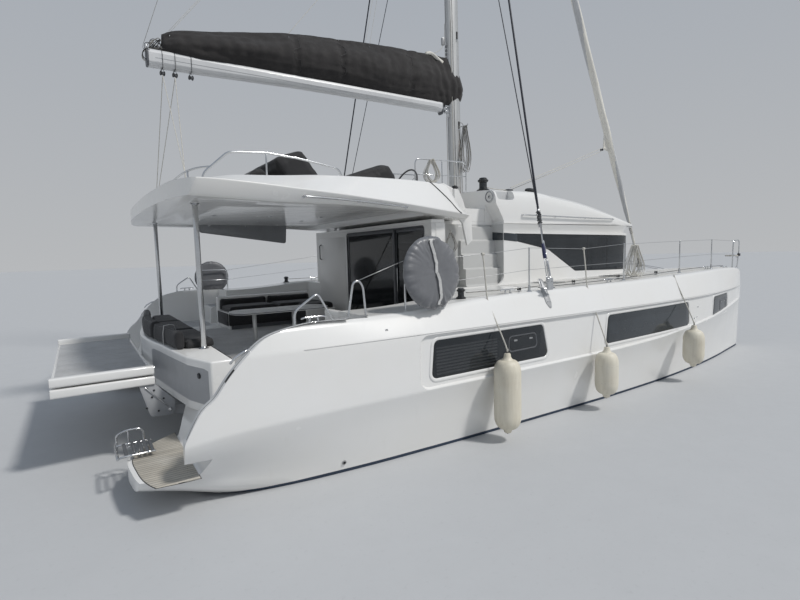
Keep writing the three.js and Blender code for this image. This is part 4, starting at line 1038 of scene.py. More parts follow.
def hull_mesh(s):
    body = loft([hull_ring(x, s) for x in hull_xs()])
    Y = lambda a, b: (min(s * a, s * b), max(s * a, s * b))
    top = [tuple(p)[:2] for p in spline([(p[0], p[1], 0) for p in WING], 0.05)]
    wing = prism(fillet([(-7.8, .40), (-6.88, .40), (-6.88, .80)], 0.0) + fillet([(-6.88, .40), (-6.88, .84), (-6.70, 1.15)], [0, .14, 0])[1:-1] + top[2:] + [(-5.45, 2.6), (-7.8, 2.6)], "y", *Y(1.5, 4.5))
    steps = [(-7.8, .40), (-6.70, .40), (-6.51, .80), (-6.12, .80), (-6.08, 1.18), (-5.08, 1.18), (-5.06, 1.56), (-4.70, 1.56), (-4.68, 2.6), (-7.8, 2.6)]
    stairs = prism(fillet(steps, [0, .05, .03, .05, .03, .04, .04, .03, .05, 0, ], 4), "y", *Y(1.5, 3.86), bevel_b=0.0)
    plan = [tuple(p)[:2] for p in spline([(p[0], p[1], 0) for p in STERN_PLAN], 0.05)]
    plan = [(-6.5, 1.5), (-6.5, 2.0), (-6.72, 2.09)] + plan + [(-6.5, 4.5), (-8.0, 4.5), (-8.0, 1.5)]
    plan = prism([(x, s * y) for x, y in plan], "z", -.6, 2.6)
    cb = lambda x0, x1, a, b, z0, z1, r=0.03: rbox(x0, x1, *Y(a, b), z0, z1, r, bevel=0)
    tools = [wing, stairs, plan, cb(-6.12, -2.5904, 1.5, 3.04, 1.18, 2.6), cb(-2.65, 3.25, 1.5, 2.3, 1.18, 2.6),
             cb(-5.95, -5.15, 2.62, 3.38, .18, 1.23), cb(-5.99, -5.11, 2.58, 3.42, 1.135, 1.23)]
    me = boolean(body, tools)
    bm = bmesh.new()
    bm.from_mesh(me)
    bmesh.ops.bisect_plane(bm, geom=bm.verts[:] + bm.edges[:] + bm.faces[:], plane_co=(0, 0, 0.045), plane_no=(0, 0, 1), dist=1e-5)
    for f in bm.faces:
        f.material_index = 1 if f.calc_center_median().z < 0.045 else 0
    bm.to_mesh(me)
    bm.free()
    return me


def hull_side(x, s, off=0.0):
    """Outer face of the window band at x."""
    return s * (HULL_Y + HF[3](x) - recess_at(x)[0] + off)


def on_side(outline, s, off):
    return [(x, hull_side(x, s, off), z) for x, z in outline]


def dense(outline, step=0.12):
    out = []
    m = len(outline)
    for i in range(m):
        a, b = Vector(outline[i]), Vector(outline[(i + 1) % m])
        k = max(1, int((b - a).length / step))
        out += [tuple(a + (b - a) * j / k) for j in range(k)]
    return out


def panel_on_side(outline, s, off, thick=0.004, rim=0.002):
    """Thin plate that follows the hull side, with a rounded rim."""
    o = dense(outline)
    rings = [on_side(o, s, off - thick), on_side(o, s, off - rim), on_side(offset(o, rim * 0.4), s, off - rim * 0.3), on_side(offset(o, rim), s, off)]
    xs = sorted(set(round(p[0], 4) for p in o))
    verts, faces = skin(rings, cap=False)
    me = clean(verts, faces)
    # the face: strips between lower and upper edge, so that it bends with the hull
    bm = bmesh.new()
    bm.from_mesh(me)
    inner = offset(o, rim)
    lo_x, hi_x = min(p[0] for p in inner), max(p[0] for p in inner)
    loop = [tuple(p) for p in inner]
    n = len(loop)
    left = min(range(n), key=lambda i: loop[i][0])
    right = max(range(n), key=lambda i: loop[i][0])
    one = [loop[(left + k) % n] for k in range((right - left) % n + 1)]
    two = [loop[(left - k) % n] for k in range((left - right) % n + 1)]
    i = j = 0
    tris = []
    while i < len(one) - 1 or j < len(two) - 1:
        if j >= len(two) - 1 or (i < len(one) - 1 and one[i + 1][0] <= two[j + 1][0]):
            tris.append((one[i], one[i + 1], two[j]))
            i += 1
        else:
            tris.append((one[i], two[j + 1], two[j]))
            j += 1
    cache = {}

    def vert(p):
        k = (round(p[0], 6), round(p[1], 6))
        if k not in cache:
            cache[k] = bm.verts.new((p[0], hull_side(p[0], s, off), p[1]))
        return cache[k]

    for t in tris:
        vs = [vert(p) for p in t]
        if len(set(vs)) == 3:
            try:
                bm.faces.new(vs)
            except ValueError:
                pass
    bmesh.ops.remove_doubles(bm, verts=bm.verts, dist=1e-5)
    bmesh.ops.recalc_face_normals(bm, faces=bm.faces)
    bm.to_mesh(me)
    bm.free()
    return me


def ring_on_side(outline, s, profile):
    """Moulded frame round an outline on the hull side: profile of (outwards in the plane, height)."""
    o = dense(outline)
    return loft([on_side(offset(o, -a), s, h) for a, h in profile], cap=False)


WINDOWS = {
    "aft": [(-3.84, 1.035), (-1.58, 1.045), (-1.70, 1.545), (-3.79, 1.535)],
    "mid": [(-.09, 1.05), (2.86, 1.075), (2.80, 1.545), (-.03, 1.535)],
    "fore": [(4.20, 1.10), (5.42, 1.14), (5.38, 1.555), (4.24, 1.545)],
}


def make_hulls():
    for side, s in SIDES:
        me = hull_mesh(s)
        ob = put("hull_shell_" + side, me, [GEL, ANTIFOUL], slot="gelcoat", deg=32, replaces=["hull_" + side])
        for name, pts in WINDOWS.items():
            o = fillet(pts, 0.075, 6)
            put(f"hull_window_frame_{name}_{side}", ring_on_side(o, s, [(.060, -.004), (.052, .008), (.040, .012), (.018, .012), (.006, .006), (.001, -.006)]), GEL, slot="gelcoat", deg=50)
            put(f"hull_window_back_{name}_{side}", panel_on_side(offset(o, -0.004), s, 0.0015, 0.004, 0.0005), BLACK)
            put(f"hull_window_glass_{name}_{side}", panel_on_side(offset(o, 0.002), s, 0.0075, 0.003, 0.0015), GLASS_HULL if name != "aft" else GLASS, slot="glass")
            # opening port inside the pane: frame, seal and two catches
            x0, x1 = {"aft": (-2.42, -1.84), "mid": (2.10, 2.64), "fore": (4.72, 5.22)}[name]
            z0, z1 = {"aft": (1.22, 1.43), "mid": (1.16, 1.44), "fore": (1.20, 1.45)}[name]
            if name != "mid":
                op = fillet([(x0, z0), (x1, z0 + .01), (x1 - .03, z1), (x0, z1 - .005)], 0.05, 5)
                put(f"hull_port_frame_{name}_{side}", ring_on_side(op, s, [(.020, .0065), (.017, .011), (.004, .011), (.0, .0075)]), GREY_DARK, deg=50)
                put(f"hull_port_seal_{name}_{side}", ring_on_side(offset(op, .03), s, [(.006, .0065), (.003, .009), (.0, .0065)]), RUBBER, deg=50)
                for k in (0.22, 0.78):
                    cx = x0 + (x1 - x0) * k
                    put(f"hull_port_catch_{name}_{side}_{int(k*100)}", panel_on_side(fillet([(cx - .035, z1 - .075), (cx + .035, z1 - .075), (cx + .035, z1 - .05), (cx - .035, z1 - .05)], 0.01, 3), s, 0.012, 0.005, 0.002), STEEL_DULL)
        # slatted blind behind the aft pane
        slats = []
        for k in range(9):
            z = 1.075 + k * 0.043
            slats.append(panel_on_side(fillet([(-3.76, z), (-2.66, z + .003), (-2.66, z + .026), (-3.76, z + .024)], 0.006, 2), s, 0.0045, 0.002, 0.0008))
        put("hull_blind_" + side, merge(slats), GREY_LIGHT)
        # curtains seen through the middle pane
        folds = []
        for k in range(14):
            x = 0.15 + k * 0.19
            w = 0.045 + 0.03 * math.sin(k * 2.3)
            folds.append(panel_on_side([(x, 1.10), (x + w, 1.10), (x + w * 0.8, 1.52), (x - 0.01, 1.52)], s, 0.004, 0.002, 0.001))
        put("hull_curtain_" + side, merge(folds), GREY_DARK)


make_hulls()


# ---------- coachroof ----------
BULK = -2.59
_half = [(2.3, 2.4), (2.6, 2.396), (2.85, 2.378), (3.05, 2.342), (3.20, 2.285), (3.29, 2.195), (3.334, 2.07), (3.347, 1.9), (3.35, 1.5)]
_front = [tuple(p)[:2] for p in spline([(x, y, 0) for x, y in _half] + [(3.35, 0.0, 0)] + [(x, -y, 0) for x, y in _half[::-1]], 0.07)]
COACH = [(BULK, 2.4)] + _front + [(BULK, -2.4)]
STRIP = [(-.64, 2.885), (.33, 2.70), (1.18, 2.235), (3.6, 2.19), (3.6, 2.975), (-.64, 3.02)]


def lo_hi(s, a, b):
    return (min(s * a, s * b), max(s * a, s * b))


def coach_face(x):
    """Half breadth of the coachroof wall at x."""
    best = 2.4
    for (x0, y0), (x1, y1) in zip(_front, _front[1:]):
        if x0 <= x <= x1 and y0 > 0:
            return y0 + (y1 - y0) * (x - x0) / max(1e-6, x1 - x0)
    return best


def make_walls():
    outer = prism(COACH, "z", 1.96, 3.1996)
    inner = prism(offset(COACH, .09), "z", 1.8, 3.4)
    steps = fillet([(2.6, 2.06), (2.30, 2.06), (2.30, 2.38), (2.23, 2.38), (2.23, 2.64), (2.17, 2.64), (2.17, 2.90), (2.11, 2.90), (2.11, 3.16), (2.046, 3.16), (2.046, 3.4), (2.6, 3.4)], [0, .05, .016, .03, .016, .03, .016, .03, .016, .03, 0, 0], 4)
    blocks, wells = [], []
    for _, s in SIDES:
        blocks.append(rbox(-2.38, -1.69, *lo_hi(s, 1.96, 2.4), 1.95, 3.1996, .002, bevel=0))
        blocks.append(rbox(-1.80, -.83, *lo_hi(s, 1.96, 2.36), 1.95, 3.1996, .002, bevel=0))
        wells.append(prism([(s * a, b) for a, b in steps], "x", -1.77, -.91))
        corner = fillet([(-2.30, 2.06), (-.91, 2.06), (-.91, 2.79), (-2.30, 2.79)], [.0, .12, 0, 0], 6)
        wells.append(prism(fillet([(-2.30, 2.06), (-1.76, 2.06), (-1.76, 3.4), (-2.30, 3.4)], [.08, 0, 0, .02], 6), "y", *lo_hi(s, 2.12, 2.6)))
    side = fillet(STRIP, [.05, .25, .10, 0, 0, .05], 6)
    wells.append(rbox(-2.7, -2.497, -2.5, 2.5, 1.9, 3.25, .001, bevel=0))
    # above the window strip the wall leans in under the brow
    inset = offset(COACH, .076)
    if len(inset) == len(COACH):
        lean = loft([[(x, y, 3.030) for x, y in inset], [(x, y, 3.1997) for x, y in offset(COACH, .0015)]])
        collar = boolean(prism(offset(COACH, -.05), "z", 3.036, 3.1993), [lean])
        wells.append(boolean(collar, [rbox(-3.0, -.905, -3, 3, 2.9, 3.4, .001, bevel=0)]))
    wins = [prism(side, "y", -2.6, -1.55), prism(side, "y", 1.55, 2.6), rbox(2.9, 3.6, -1.46, 1.46, 2.20, 2.965, .06, axis="x", bevel=0)]
    me = boolean(boolean(outer, [inner]), blocks, "UNION")
    me = boolean(me, wells + wins)
    ob = put("coachroof_wall", me, [GEL, WELL_SHADE], slot="gelcoat", deg=30, replaces=["coachroof_walls"])
    # painted shade: the faces inside the stair opening take the grey stair well gelcoat
    for f in ob.data.polygons:
        c = f.center
        if -2.36 < c.x < -.9052 and 2.04 < abs(c.y) < 2.3975 and c.z > 2.03:
            f.material_index = 1
    # rounded lower corner of the stair opening
    for side_name, s in SIDES:
        arc_ = [(-.9045 - .20 + .20 * math.cos(a), 2.055 + .20 + .20 * math.sin(a)) for a in [-math.pi / 2 + math.pi / 2 * k / 10 for k in range(11)]]
        put("stair_corner_" + side_name, prism([(-.9045, 2.055)] + arc_[::-1], "y", *lo_hi(s, 2.352, 2.3995), .0), GEL, slot="gelcoat")
    # black bed of the panes, the panes themselves follow the wall 8 mm inside it
    bed = boolean(boolean(prism(offset(COACH, .012), "z", 2.10, 3.1), [prism(offset(COACH, .030), "z", 2.0, 3.2)]), [], "UNION")
    for side_name, s in SIDES:
        for nm, mat, d0, d1, grow in (("pane", GLASS, .009, .017, -.002), ("bed", BLACK, .018, .030, .004)):
            ring = boolean(prism(offset(COACH, d0), "z", 2.12, 3.09), [prism(offset(COACH, d1), "z", 2.0, 3.2)])
            o = fillet([(-.632, 2.892), (.33, 2.707), (1.18, 2.242), (3.6, 2.197), (3.6, 2.968), (-.632, 3.013)], [.045, .25, .10, 0, 0, .045], 6)
            if nm == "bed":
                o2 = offset(o, .035)
                band = boolean(prism(o, "y", *lo_hi(s, 1.556, 2.6)), [prism(o2, "y", *lo_hi(s, 1.60, 2.7))])
            else:
                band = prism(offset(o, .003), "y", *lo_hi(s, 1.56, 2.6))
            put(f"side_{nm}_{side_name}", boolean(ring, [band], "INTERSECT"), mat, slot="glass" if nm == "pane" else None, deg=30, replaces=["side_window_" + side_name] if nm == "pane" else ())
        # the dark band runs on round the corner into the stair
        put("strip_end_" + side_name, prism(fillet([(s * 2.07, 2.905), (s * 2.385, 2.895), (s * 2.385, 3.030), (s * 2.07, 3.062)], [.02, .002, .002, .02], 4), "x", -.916, -.9095, .001), GLASS_HULL, slot="glass")
        put("strip_side_" + side_name, prism(fillet([(-.905, 2.896), (-.55, 2.865), (-.55, 3.014), (-.905, 3.034)], [.002, .002, .002, .002], 3), "y", *lo_hi(s, 2.3995, 2.4045), .001), GLASS_HULL, slot="glass")
        # seam of the opening pane
        for k, x in enumerate((1.62, 2.30)):
            y = coach_face(x)
            put(f"pane_seam_{side_name}_{k}", rbox(x - .006, x + .006, *lo_hi(s, y - .014, y - .0065), 2.26, 2.96, .002, bevel=.001), RUBBER)
    ring = boolean(prism(offset(COACH, .009), "z", 2.12, 3.09), [prism(offset(COACH, .018), "z", 2.0, 3.2)])
    put("front_pane", boolean(ring, [rbox(2.95, 3.5, -1.455, 1.455, 2.205, 2.96, .055, axis="x", bevel=0)], "INTERSECT"), GLASS, slot="glass", replaces=["front_window"])
    for k, y in enumerate((-.5, .5)):
        put(f"front_mullion_{k}", rbox(3.326, 3.3435, y - .018, y + .018, 2.21, 2.955, .004, bevel=.002), BLACK)


make_walls()


BROW = [(-1.05, 2.36, 3.825, 3.88), (-.6, 2.356, 3.835, 3.90), (.09, 2.345, 3.842, 3.92), (.8, 2.32, 3.765, 3.905), (1.6, 2.30, 3.665, 3.83), (2.2, 2.30, 3.545, 3.76), (2.66, 2.29, 3.447, 3.665), (3.3, 2.25, 3.30, 3.54), (3.6, 2.165, 3.257, 3.488), (3.9, 1.985, 3.242, 3.428), (4.1, 1.79, 3.235, 3.383), (4.3, 1.43, 3.228, 3.318), (4.4, 1.08, 3.224, 3.278), (4.46, .62, 3.221, 3.236)]
BF = [None] + [pchip([r[0] for r in BROW], [r[k] for r in BROW]) for k in (1, 2, 3)]


def brow_half(x):
    w, zt, zc = BF[1](x), BF[2](x), BF[3](x)
    h = zt - 3.2
    t = min(1.0, h / .35)
    side = [(w - .05 * t, 3.2004), (w - .018 * t, 3.2004 + min(.02, h * .2)), (w - .004, 3.2 + h * .22), (w, 3.2 + h * .42), (w - .006 * t, 3.2 + h * .65), (w - .022 * t, 3.2 + h * .82), (w - .055 * t, 3.2 + h * .94), (w - .11 * t, zt)]
    top = smooth_row([(w - .055 * t, 3.2 + h * .94), (w - .11 * t, zt), (w * .86, zt + (zc - zt) * .52), (w * .68, zt + (zc - zt) * .86), (w * .42, zc + .012), (w * .2, zc + .021), (0, zc + .025)], 3)[3:]
    return side[:-1] + [tuple(p) for p in top]


def brow_z(x, y):
    row = brow_half(x)
    y = abs(y)
    for a, b in zip(row[6:], row[7:]):
        if b[0] <= y <= a[0]:
            return a[1] + (b[1] - a[1]) * (a[0] - y) / max(1e-6, a[0] - b[0])
    return row[-1][1]


def make_roof():
    xs = [-1.05 + .08 * i for i in range(64)] + [4.0, 4.1, 4.2, 4.3, 4.36, 4.41, 4.44, 4.46]
    rings = []
    for x in sorted(set(round(v, 3) for v in xs)):
        h = brow_half(x)
        rings.append([(x, y, z) for y, z in h] + [(x, -y, z) for y, z in h[:-1][::-1]])
    body = loft(rings)
    cut = []
    for _, s in SIDES:
        # the aft edge of each cheek rakes forward going down
        cut.append(prism([(-1.4, 3.1), (-.845, 3.1), (-.845, 3.26), (-1.0, 3.50), (-1.1, 3.66), (-1.4, 3.66)], "y", *lo_hi(s, 2.046, 2.7)))
        # pocket in the shoulder
        cut.append(rbox(-1.005, -.555, *lo_hi(s, 2.16, 2.6), 3.655, 4.2, .07, axis="y", bevel=0))
    body = boolean(body, cut)
    plan = [(BULK, -2.395), (-2.30, -2.395), (-2.30, -2.045), (-1.0, -2.045), (-1.0, 2.045), (-2.30, 2.045), (-2.30, 2.395), (BULK, 2.395)]
    body = boolean(body, [prism(fillet(plan, [0, .02, .02, 0, 0, .02, .02, 0], 3), "z", 3.2004, 3.259), rbox(-.29, .19, -.18, .18, 3.75, 3.9596, .05)], "UNION")
    put("roof_shell", body, GEL, slot="gelcoat", deg=32, replaces=["coachroof_top"])
    # grey panel on the inner wall of each pocket as painted shade of the recess; handrails, domes, hatches
    for side, s in SIDES:
        # painted shade: light grey panel over the inner wall of the pocket
        put("pocket_lining_" + side, prism(fillet([(-1.0, 3.659), (-.56, 3.659), (-.56, 3.832), (-1.0, 3.828)], [.02, .065, .01, .01], 5), "y", *lo_hi(s, 2.152, 2.1625), .001), GREY_LIGHT, slot="grey_panel")
        y = lambda x, o=.04: s * (BF[1](x) + o - .004)
        pts = [(x, y(x), 3.378 - (x + .4) * .010) for x in (-.34, -.1, .2, .5, .8, 1.1, 1.4, 1.7, 2.0, 2.3, 2.62)]
        path = [(-.36, y(-.36, -.01), 3.378)] + pts + [(2.64, y(2.64, -.01), 3.348)]
        put("brow_handrail_" + side, tube_mesh(bent(path, .02, 4), .0125, 10), STEEL, slot="stainless", deg=60)
        for k, x in enumerate((-.36, .64, 1.64, 2.64)):
            z = 3.378 - (x + .4) * .010
            put(f"brow_rail_foot_{side}_{k}", lathe_mesh([(0, 0), (.028, 0), (.028, .004), (.016, .010), (.011, .045), (0, .045)], (x, y(x, -.006), z), (0, s, 0), 20), STEEL, slot="stainless")
        # speaker in the cheek
        for nm, prof, mat in (("rim", [(.108, 0), (.113, .006), (.108, .014), (.094, .016), (.088, .006), (.088, 0), (.108, 0)], GREY_LIGHT), ("cone", [(0, .012), (.020, .011), (.026, .004), (.030, .001), (.060, .006), (.078, .010), (.086, .007), (.088, .002), (.0, .0)], GEL_LINER)):
            put(f"speaker_{nm}_{side}", lathe_mesh(prof, (-1.0505, s * 2.18, 3.716), (-1, 0, 0), 36), mat, deg=40)
        put("speaker_hub_" + side, lathe_mesh([(0, .011), (.017, .011), (.019, .014), (.012, .019), (0, .020)], (-1.0505, s * 2.18, 3.716), (-1, 0, 0), 20), GREY_DARK)
        put("speaker_gap_" + side, lathe_mesh([(.0885, .004), (.0925, .004), (.0925, .0165), (.0885, .0165), (.0885, .004)], (-1.0505, s * 2.18, 3.716), (-1, 0, 0), 36), GREY_DARK)
        # ventilator dome
        for nm, prof, mat in (("base", [(0, -.01), (.135, -.01), (.135, .010), (.122, .016), (0, .016)], GEL), ("cap", [(0, .014), (.105, .014), (.115, .030), (.105, .055), (.07, .074), (.03, .082), (0, .083)], BLACK)):
            p = (.20, s * 2.05, brow_z(.20, 2.05) - .004)
            put(f"vent_{nm}_{side}", lathe_mesh(prof, p, (-.02, s * .25, 1), 36), mat)
        # rubber lip under the brow
        put("brow_lip_" + side, tube_mesh([(x, s * (BF[1](x) - .045 * min(1, (BF[2](x) - 3.2) / .35)), 3.2) for x in [-.82 + .2 * i for i in range(24)]], .006, 6), RUBBER, deg=60)
    # roof hatches over the saloon
    for k, (x, yy) in enumerate(((1.75, .75), (1.75, -.75))):
        z = brow_z(x, yy)
        put(f"roof_hatch_frame_{k}", rbox(x - .30, x + .30, yy - .30, yy + .30, z - .04, z + .012, .05, bevel=.006), ALLOY)
        put(f"roof_hatch_glass_{k}", rbox(x - .26, x + .26, yy - .26, yy + .26, z + .006, z + .020, .04, bevel=.004), GLASS_HULL, slot="glass")


make_roof()


# ---------- hardtop with the flybridge ----------
HARD = [(-6.76, 3.44, 3.06, 3.60, 2.56, 3.625), (-6.32, 3.425, 3.04, 3.635, 2.50, 3.69), (-5.83, 3.41, 3.0, 3.62, 2.46, 3.78), (-5.31, 3.40, 2.96, 3.59, 2.43, 3.81),
        (-4.44, 3.40, 2.88, 3.54, 2.41, 3.87), (-3.2, 3.36, 2.72, 3.45, 2.40, 3.89), (-2.28, 3.30, 2.59, 3.37, 2.38, 3.86), (-1.92, 3.27, 2.53, 3.34, 2.37, 3.47), (-1.84, 3.26, 2.51, 3.33, 2.365, 3.44)]
TF = [None] + [pchip([r[0] for r in HARD], [r[k] for r in HARD]) for k in range(1, 6)]


def hard_half(x):
    zb, yl, zc, yt, zt = (TF[k](x) for k in range(1, 6))
    lip = arc((yl - .075, zb + .02), (yl, zc), (yt, zt), .020, 4)
    crown = arc((yl, zc), (yt, zt), (0, zt + .001), .035, 5)
    low = arc((0, zb), (yl - .105, zb), (yl, zc), .03, 3)
    return [(0, zb)] + [(p[0], p[1]) for p in low] + [(p[0], p[1]) for p in lip] + [(p[0], p[1]) for p in crown] + [(0, zt)]


def make_hardtop():
    xs = [-6.80] + [-6.76 + .075 * i for i in range(62)] + [-2.2, -2.1, -2.03, -1.97, -1.92, -1.84]
    rings = []
    for x in sorted(set(round(v, 3) for v in xs if v <= -1.84 + 1e-6)):
        h = hard_half(max(x, -6.76))
        rings.append([(x, y, z) for y, z in h] + [(x, -y, z) for y, z in h[1:-1][::-1]])
    body = loft(rings)
    half = [tuple(p)[:2] for p in spline([(-6.76, 0, 0), (-6.75, 1.1, 0), (-6.70, 1.85, 0), (-6.63, 2.51, 0), (-6.51, 2.94, 0), (-6.33, 3.11, 0), (-6.0, 3.19, 0)], .06)]
    plan = prism([(-1.0, -3.2)] + [(x, -y) for x, y in half[::-1]][:-1] + half + [(-1.0, 3.2)], "z", 2.9, 4.4)
    inside = fillet([(-6.20, -1.7), (-6.20, 1.7), (-6.0, 2.15), (-5.6, 2.28), (-2.3, 2.25), (-1.9, 2.25), (-1.80, 2.6), (-1.8, -2.6), (-1.9, -2.25), (-2.3, -2.25), (-5.6, -2.28), (-6.0, -2.15)], [.3, .3, .2, .3, .1, 0, 0, 0, 0, .1, .3, .2], 5)
    well = prism(inside, "z", 3.50, 4.5)
    # recess of the ceiling: raked sides
    rec = lambda g: fillet([(-6.42 + g, -2.45 + g), (-2.66 - g * .3, -2.45 + g), (-2.66 - g * .3, 2.45 - g), (-6.42 + g, 2.45 - g)], .25, 5)
    ceiling = loft([[(x, y, 3.2) for x, y in rec(-.02)], [(x, y, 3.405) for x, y in rec(.0)], [(x, y, 3.437) for x, y in rec(.06)]])
    top = boolean(body, [plan], "INTERSECT")
    grooves = [rbox(-5.80, -3.0, y - .011, y + .011, 3.30, 3.450, .004, axis="x", bevel=0) for y in [-1.65 + .33 * i for i in range(11)]]
    top = boolean(top, [well, rbox(-4.0, -1.8, -2.8, 2.8, 3.0, 3.2596, .001, bevel=0), ceiling] + grooves)
    bridge = rbox(-1.95, -1.052, -2.046, 2.046, 3.26, 3.50, .004, bevel=0)
    top = boolean(top, [bridge], "UNION")
    put("flybridge_shell", top, GEL, slot="gelcoat", deg=30, replaces=["flybridge_deck"])
    # non-skid of the sole, with a margin
    put("flybridge_sole", prism(offset(inside[:0] + fillet([(-6.12, -1.6), (-6.12, 1.6), (-5.9, 2.05), (-5.55, 2.18), (-1.15, 2.0), (-1.15, -2.0), (-5.55, -2.18), (-5.9, -2.05)], .12, 4), 0.0), "z", 3.4995, 3.503, .002), NONSKID, slot="deck_tread")
    # helm console
    con = fillet([(-1.95, 3.498), (-1.25, 3.498), (-1.25, 3.96), (-1.50, 4.05), (-1.88, 4.02), (-1.99, 3.70)], [0, 0, .07, .05, .05, .08], 5)
    put("helm_console", prism(con, "y", -1.40, -.50, .035, 3), GEL, slot="gelcoat")
    A, B = Vector((-1.50, 4.05)), Vector((-1.88, 4.02))
    dirv = (B - A).normalized()
    nrm = Vector((-dirv.y, dirv.x)) * -1
    if nrm.y < 0:
        nrm = -nrm
    P = lambda u, o: tuple(A + dirv * u + nrm * o)
    L = (B - A).length
    put("helm_panel", prism([P(.04, 0), P(L - .04, 0), P(L - .04, .008), P(.04, .008)], "y", -1.34, -.56, .003), GREY_DARK)
    for k, (u0, u1, y0, y1) in enumerate(((.07, .25, -1.30, -1.02), (.07, .25, -.98, -.86), (.07, .16, -.82, -.72), (.07, .16, -.70, -.60))):
        put(f"helm_screen_{k}", prism([P(u0, .006), P(u1, .006), P(u1, .016), P(u0, .016)], "y", y0, y1, .003), BLACK if k else GLASS_HULL)
    for k, y in enumerate((-.80, -.74, -.68, -.62)):
        c = A + dirv * .24 + nrm * .008
        put(f"helm_switch_{k}", lathe_mesh([(0, 0), (.012, 0), (.012, .008), (.008, .012), (0, .013)], (c.x, y, c.y), (nrm.x, 0, nrm.y), 16), STEEL_DULL)
    # engine levers on the side of the console
    for k, y in enumerate((-.56, -.62)):
        put(f"throttle_{k}", tube_mesh(bent([(-1.42, y, 4.00), (-1.43, y, 4.06), (-1.39, y, 4.13)], .02), .008, 8), CHROME, deg=60)
        put(f"throttle_knob_{k}", lathe_mesh([(0, -.02), (.012, -.016), (.018, 0), (.012, .016), (0, .02)], (-1.385, y, 4.143), (0.2, 0, 1), 16), BLACK)
    # dark joints of the ceiling boards
    put("ceiling_joints", merge([rbox(-5.79, -3.01, y - .0100, y + .0100, 3.4400, 3.4490, .003, axis="x", bevel=0) for y in [-1.65 + .33 * i for i in range(11)]]), GREY_DARK)
    # stiff side panel under the port edge of the hardtop, held by small brackets
    pane = fillet([(-5.35, 3.436), (-3.38, 3.436), (-3.41, 3.01), (-5.36, 3.27)], [.01, .01, .05, .05], 4)
    put("side_panel_port", merge([prism(pane, "y", 2.334, 2.344, .003), clean(*skin([[(x, yy, z) for x, z in offset(pane, d)] for d, yy in ((0, 2.330), (.022, 2.330), (.022, 2.348), (0, 2.348))], cap=False, loop=True))]), GREY)
    put("side_panel_brackets", merge([rbox(x - .03, x + .03, 2.300, 2.334, 3.405, 3.437, .006, bevel=.003) for x in (-5.15, -4.35, -3.60)]), STEEL, slot="stainless")
    # lamps of the ceiling
    for k, (x, y) in enumerate([(-5.6, -.165), (-5.6, .83), (-3.6, -.165), (-3.6, .83), (-4.6, -.165)]):
        put(f"ceiling_lamp_{k}", lathe_mesh([(0, 0), (.045, 0), (.045, .005), (.030, .008), (.026, .004), (0, .004)], (x, y, 3.4365), (0, 0, -1), 24), STEEL, slot="stainless")
    for side, s in SIDES:
        # grab rail along the fascia
        yy = lambda x, o=.045: s * (TF[2](x) - .055 + o)
        zz = lambda x: TF[1](x) + .45 * (TF[3](x) - TF[1](x))
        xs = [-5.05 + .25 * i for i in range(8)]
        path = [(-5.07, yy(-5.07, -.02), zz(-5.07))] + [(x, yy(x), zz(x)) for x in xs] + [(-3.28, yy(-3.28, -.02), zz(-3.28))]
        put("fascia_rail_" + side, tube_mesh(bent(path, .02, 4), .0125, 10), STEEL, slot="stainless", deg=60)
        for k, x in enumerate((-5.06, -4.18, -3.28)):
            put(f"fascia_rail_foot_{side}_{k}", lathe_mesh([(0, 0), (.026, 0), (.026, .004), (.015, .009), (.011, .052), (0, .052)], (x, yy(x, -.008), zz(x)), (0, s, .2), 20), STEEL, slot="stainless")
        # dark joint across the coaming and down the fascia
        def fas(x, q):
            # point on the outer face between its lower lip (q 0) and the crown (q 1)
            return (x, s * (TF[2](x) + (TF[4](x) - TF[2](x)) * q + .0035), TF[3](x) + (TF[5](x) - TF[3](x)) * q + .002)
        seam = [fas(-2.60 + .55 * k / 8, 1 - k / 8) for k in range(9)]
        put("coaming_seam_" + side, tube_mesh(seam, .0075, 6), RUBBER, deg=60)
        # fin that stands between stair and cockpit and carries the forward corner of the hardtop
        fin = fillet([(-2.32, 3.36), (-1.70, 3.36), (-1.675, 2.90), (-1.80, 2.80), (-1.90, 3.20), (-1.98, 3.275), (-2.30, 3.285)], [.01, .02, .02, .01, .03, .03, .01], 4)
        put("stair_fin_" + side, prism(fin, "y", *lo_hi(s, 2.355, 2.398), .006), GEL, slot="gelcoat")
        put("coaming_end_" + side, prism(fillet([(-2.02, 3.27), (-1.70, 3.27), (-1.83, 3.62), (-1.93, 3.80), (-2.02, 3.80)], [0, .02, .05, .05, 0], 4), "y", *lo_hi(s, 2.27, 2.33), .008), GEL, slot="gelcoat")
    # small all-round lamp on the aft coaming
    put("stern_lamp", lathe_mesh([(0, 0), (.034, 0), (.036, .012), (.030, .016), (.030, .052), (.036, .058), (.030, .070), (0, .074)], (-6.36, -1.25, 3.683), (0, 0, 1), 24), BLACK)
    # locker box on the flybridge sole
    put("flybridge_locker", rbox(-6.02, -5.30, -1.3, 1.3, 3.4995, 3.78, .06, bevel=.02), GEL, slot="gelcoat")


make_hardtop()


# ---------- bridge deck, foredeck and cockpit floor ----------
def deck_grid(x0, x1, ya, yb, z=lambda x, y: 0.0, s=1, r=.07, step=.14, thick=.003):
    """Thin panel on the deck with rounded corners: its outline as strips along x."""
    xs = [x0, x0 + r * .08, x0 + r * .3, x0 + r * .6, x0 + r]
    n = max(1, int((x1 - x0 - 2 * r) / step))
    xs += [x0 + r + (x1 - x0 - 2 * r) * i / n for i in range(1, n)]
    xs += [x1 - r, x1 - r * .6, x1 - r * .3, x1 - r * .08, x1]
    rings = []
    for x in xs:
        a, b = ya(x), yb(x)
        d = min(x - x0, x1 - x)
        c = 0.0 if d >= r else r - math.sqrt(max(0.0, r * r - (r - d) ** 2))
        a, b = a + c, b - c
        ring = [(x, s * a, z(x, a) - .002), (x, s * (a + .0015), z(x, a) + thick), (x, s * (b - .0015), z(x, b) + thick), (x, s * b, z(x, b) - .002)]
        rings.append(ring)
    return loft(rings)


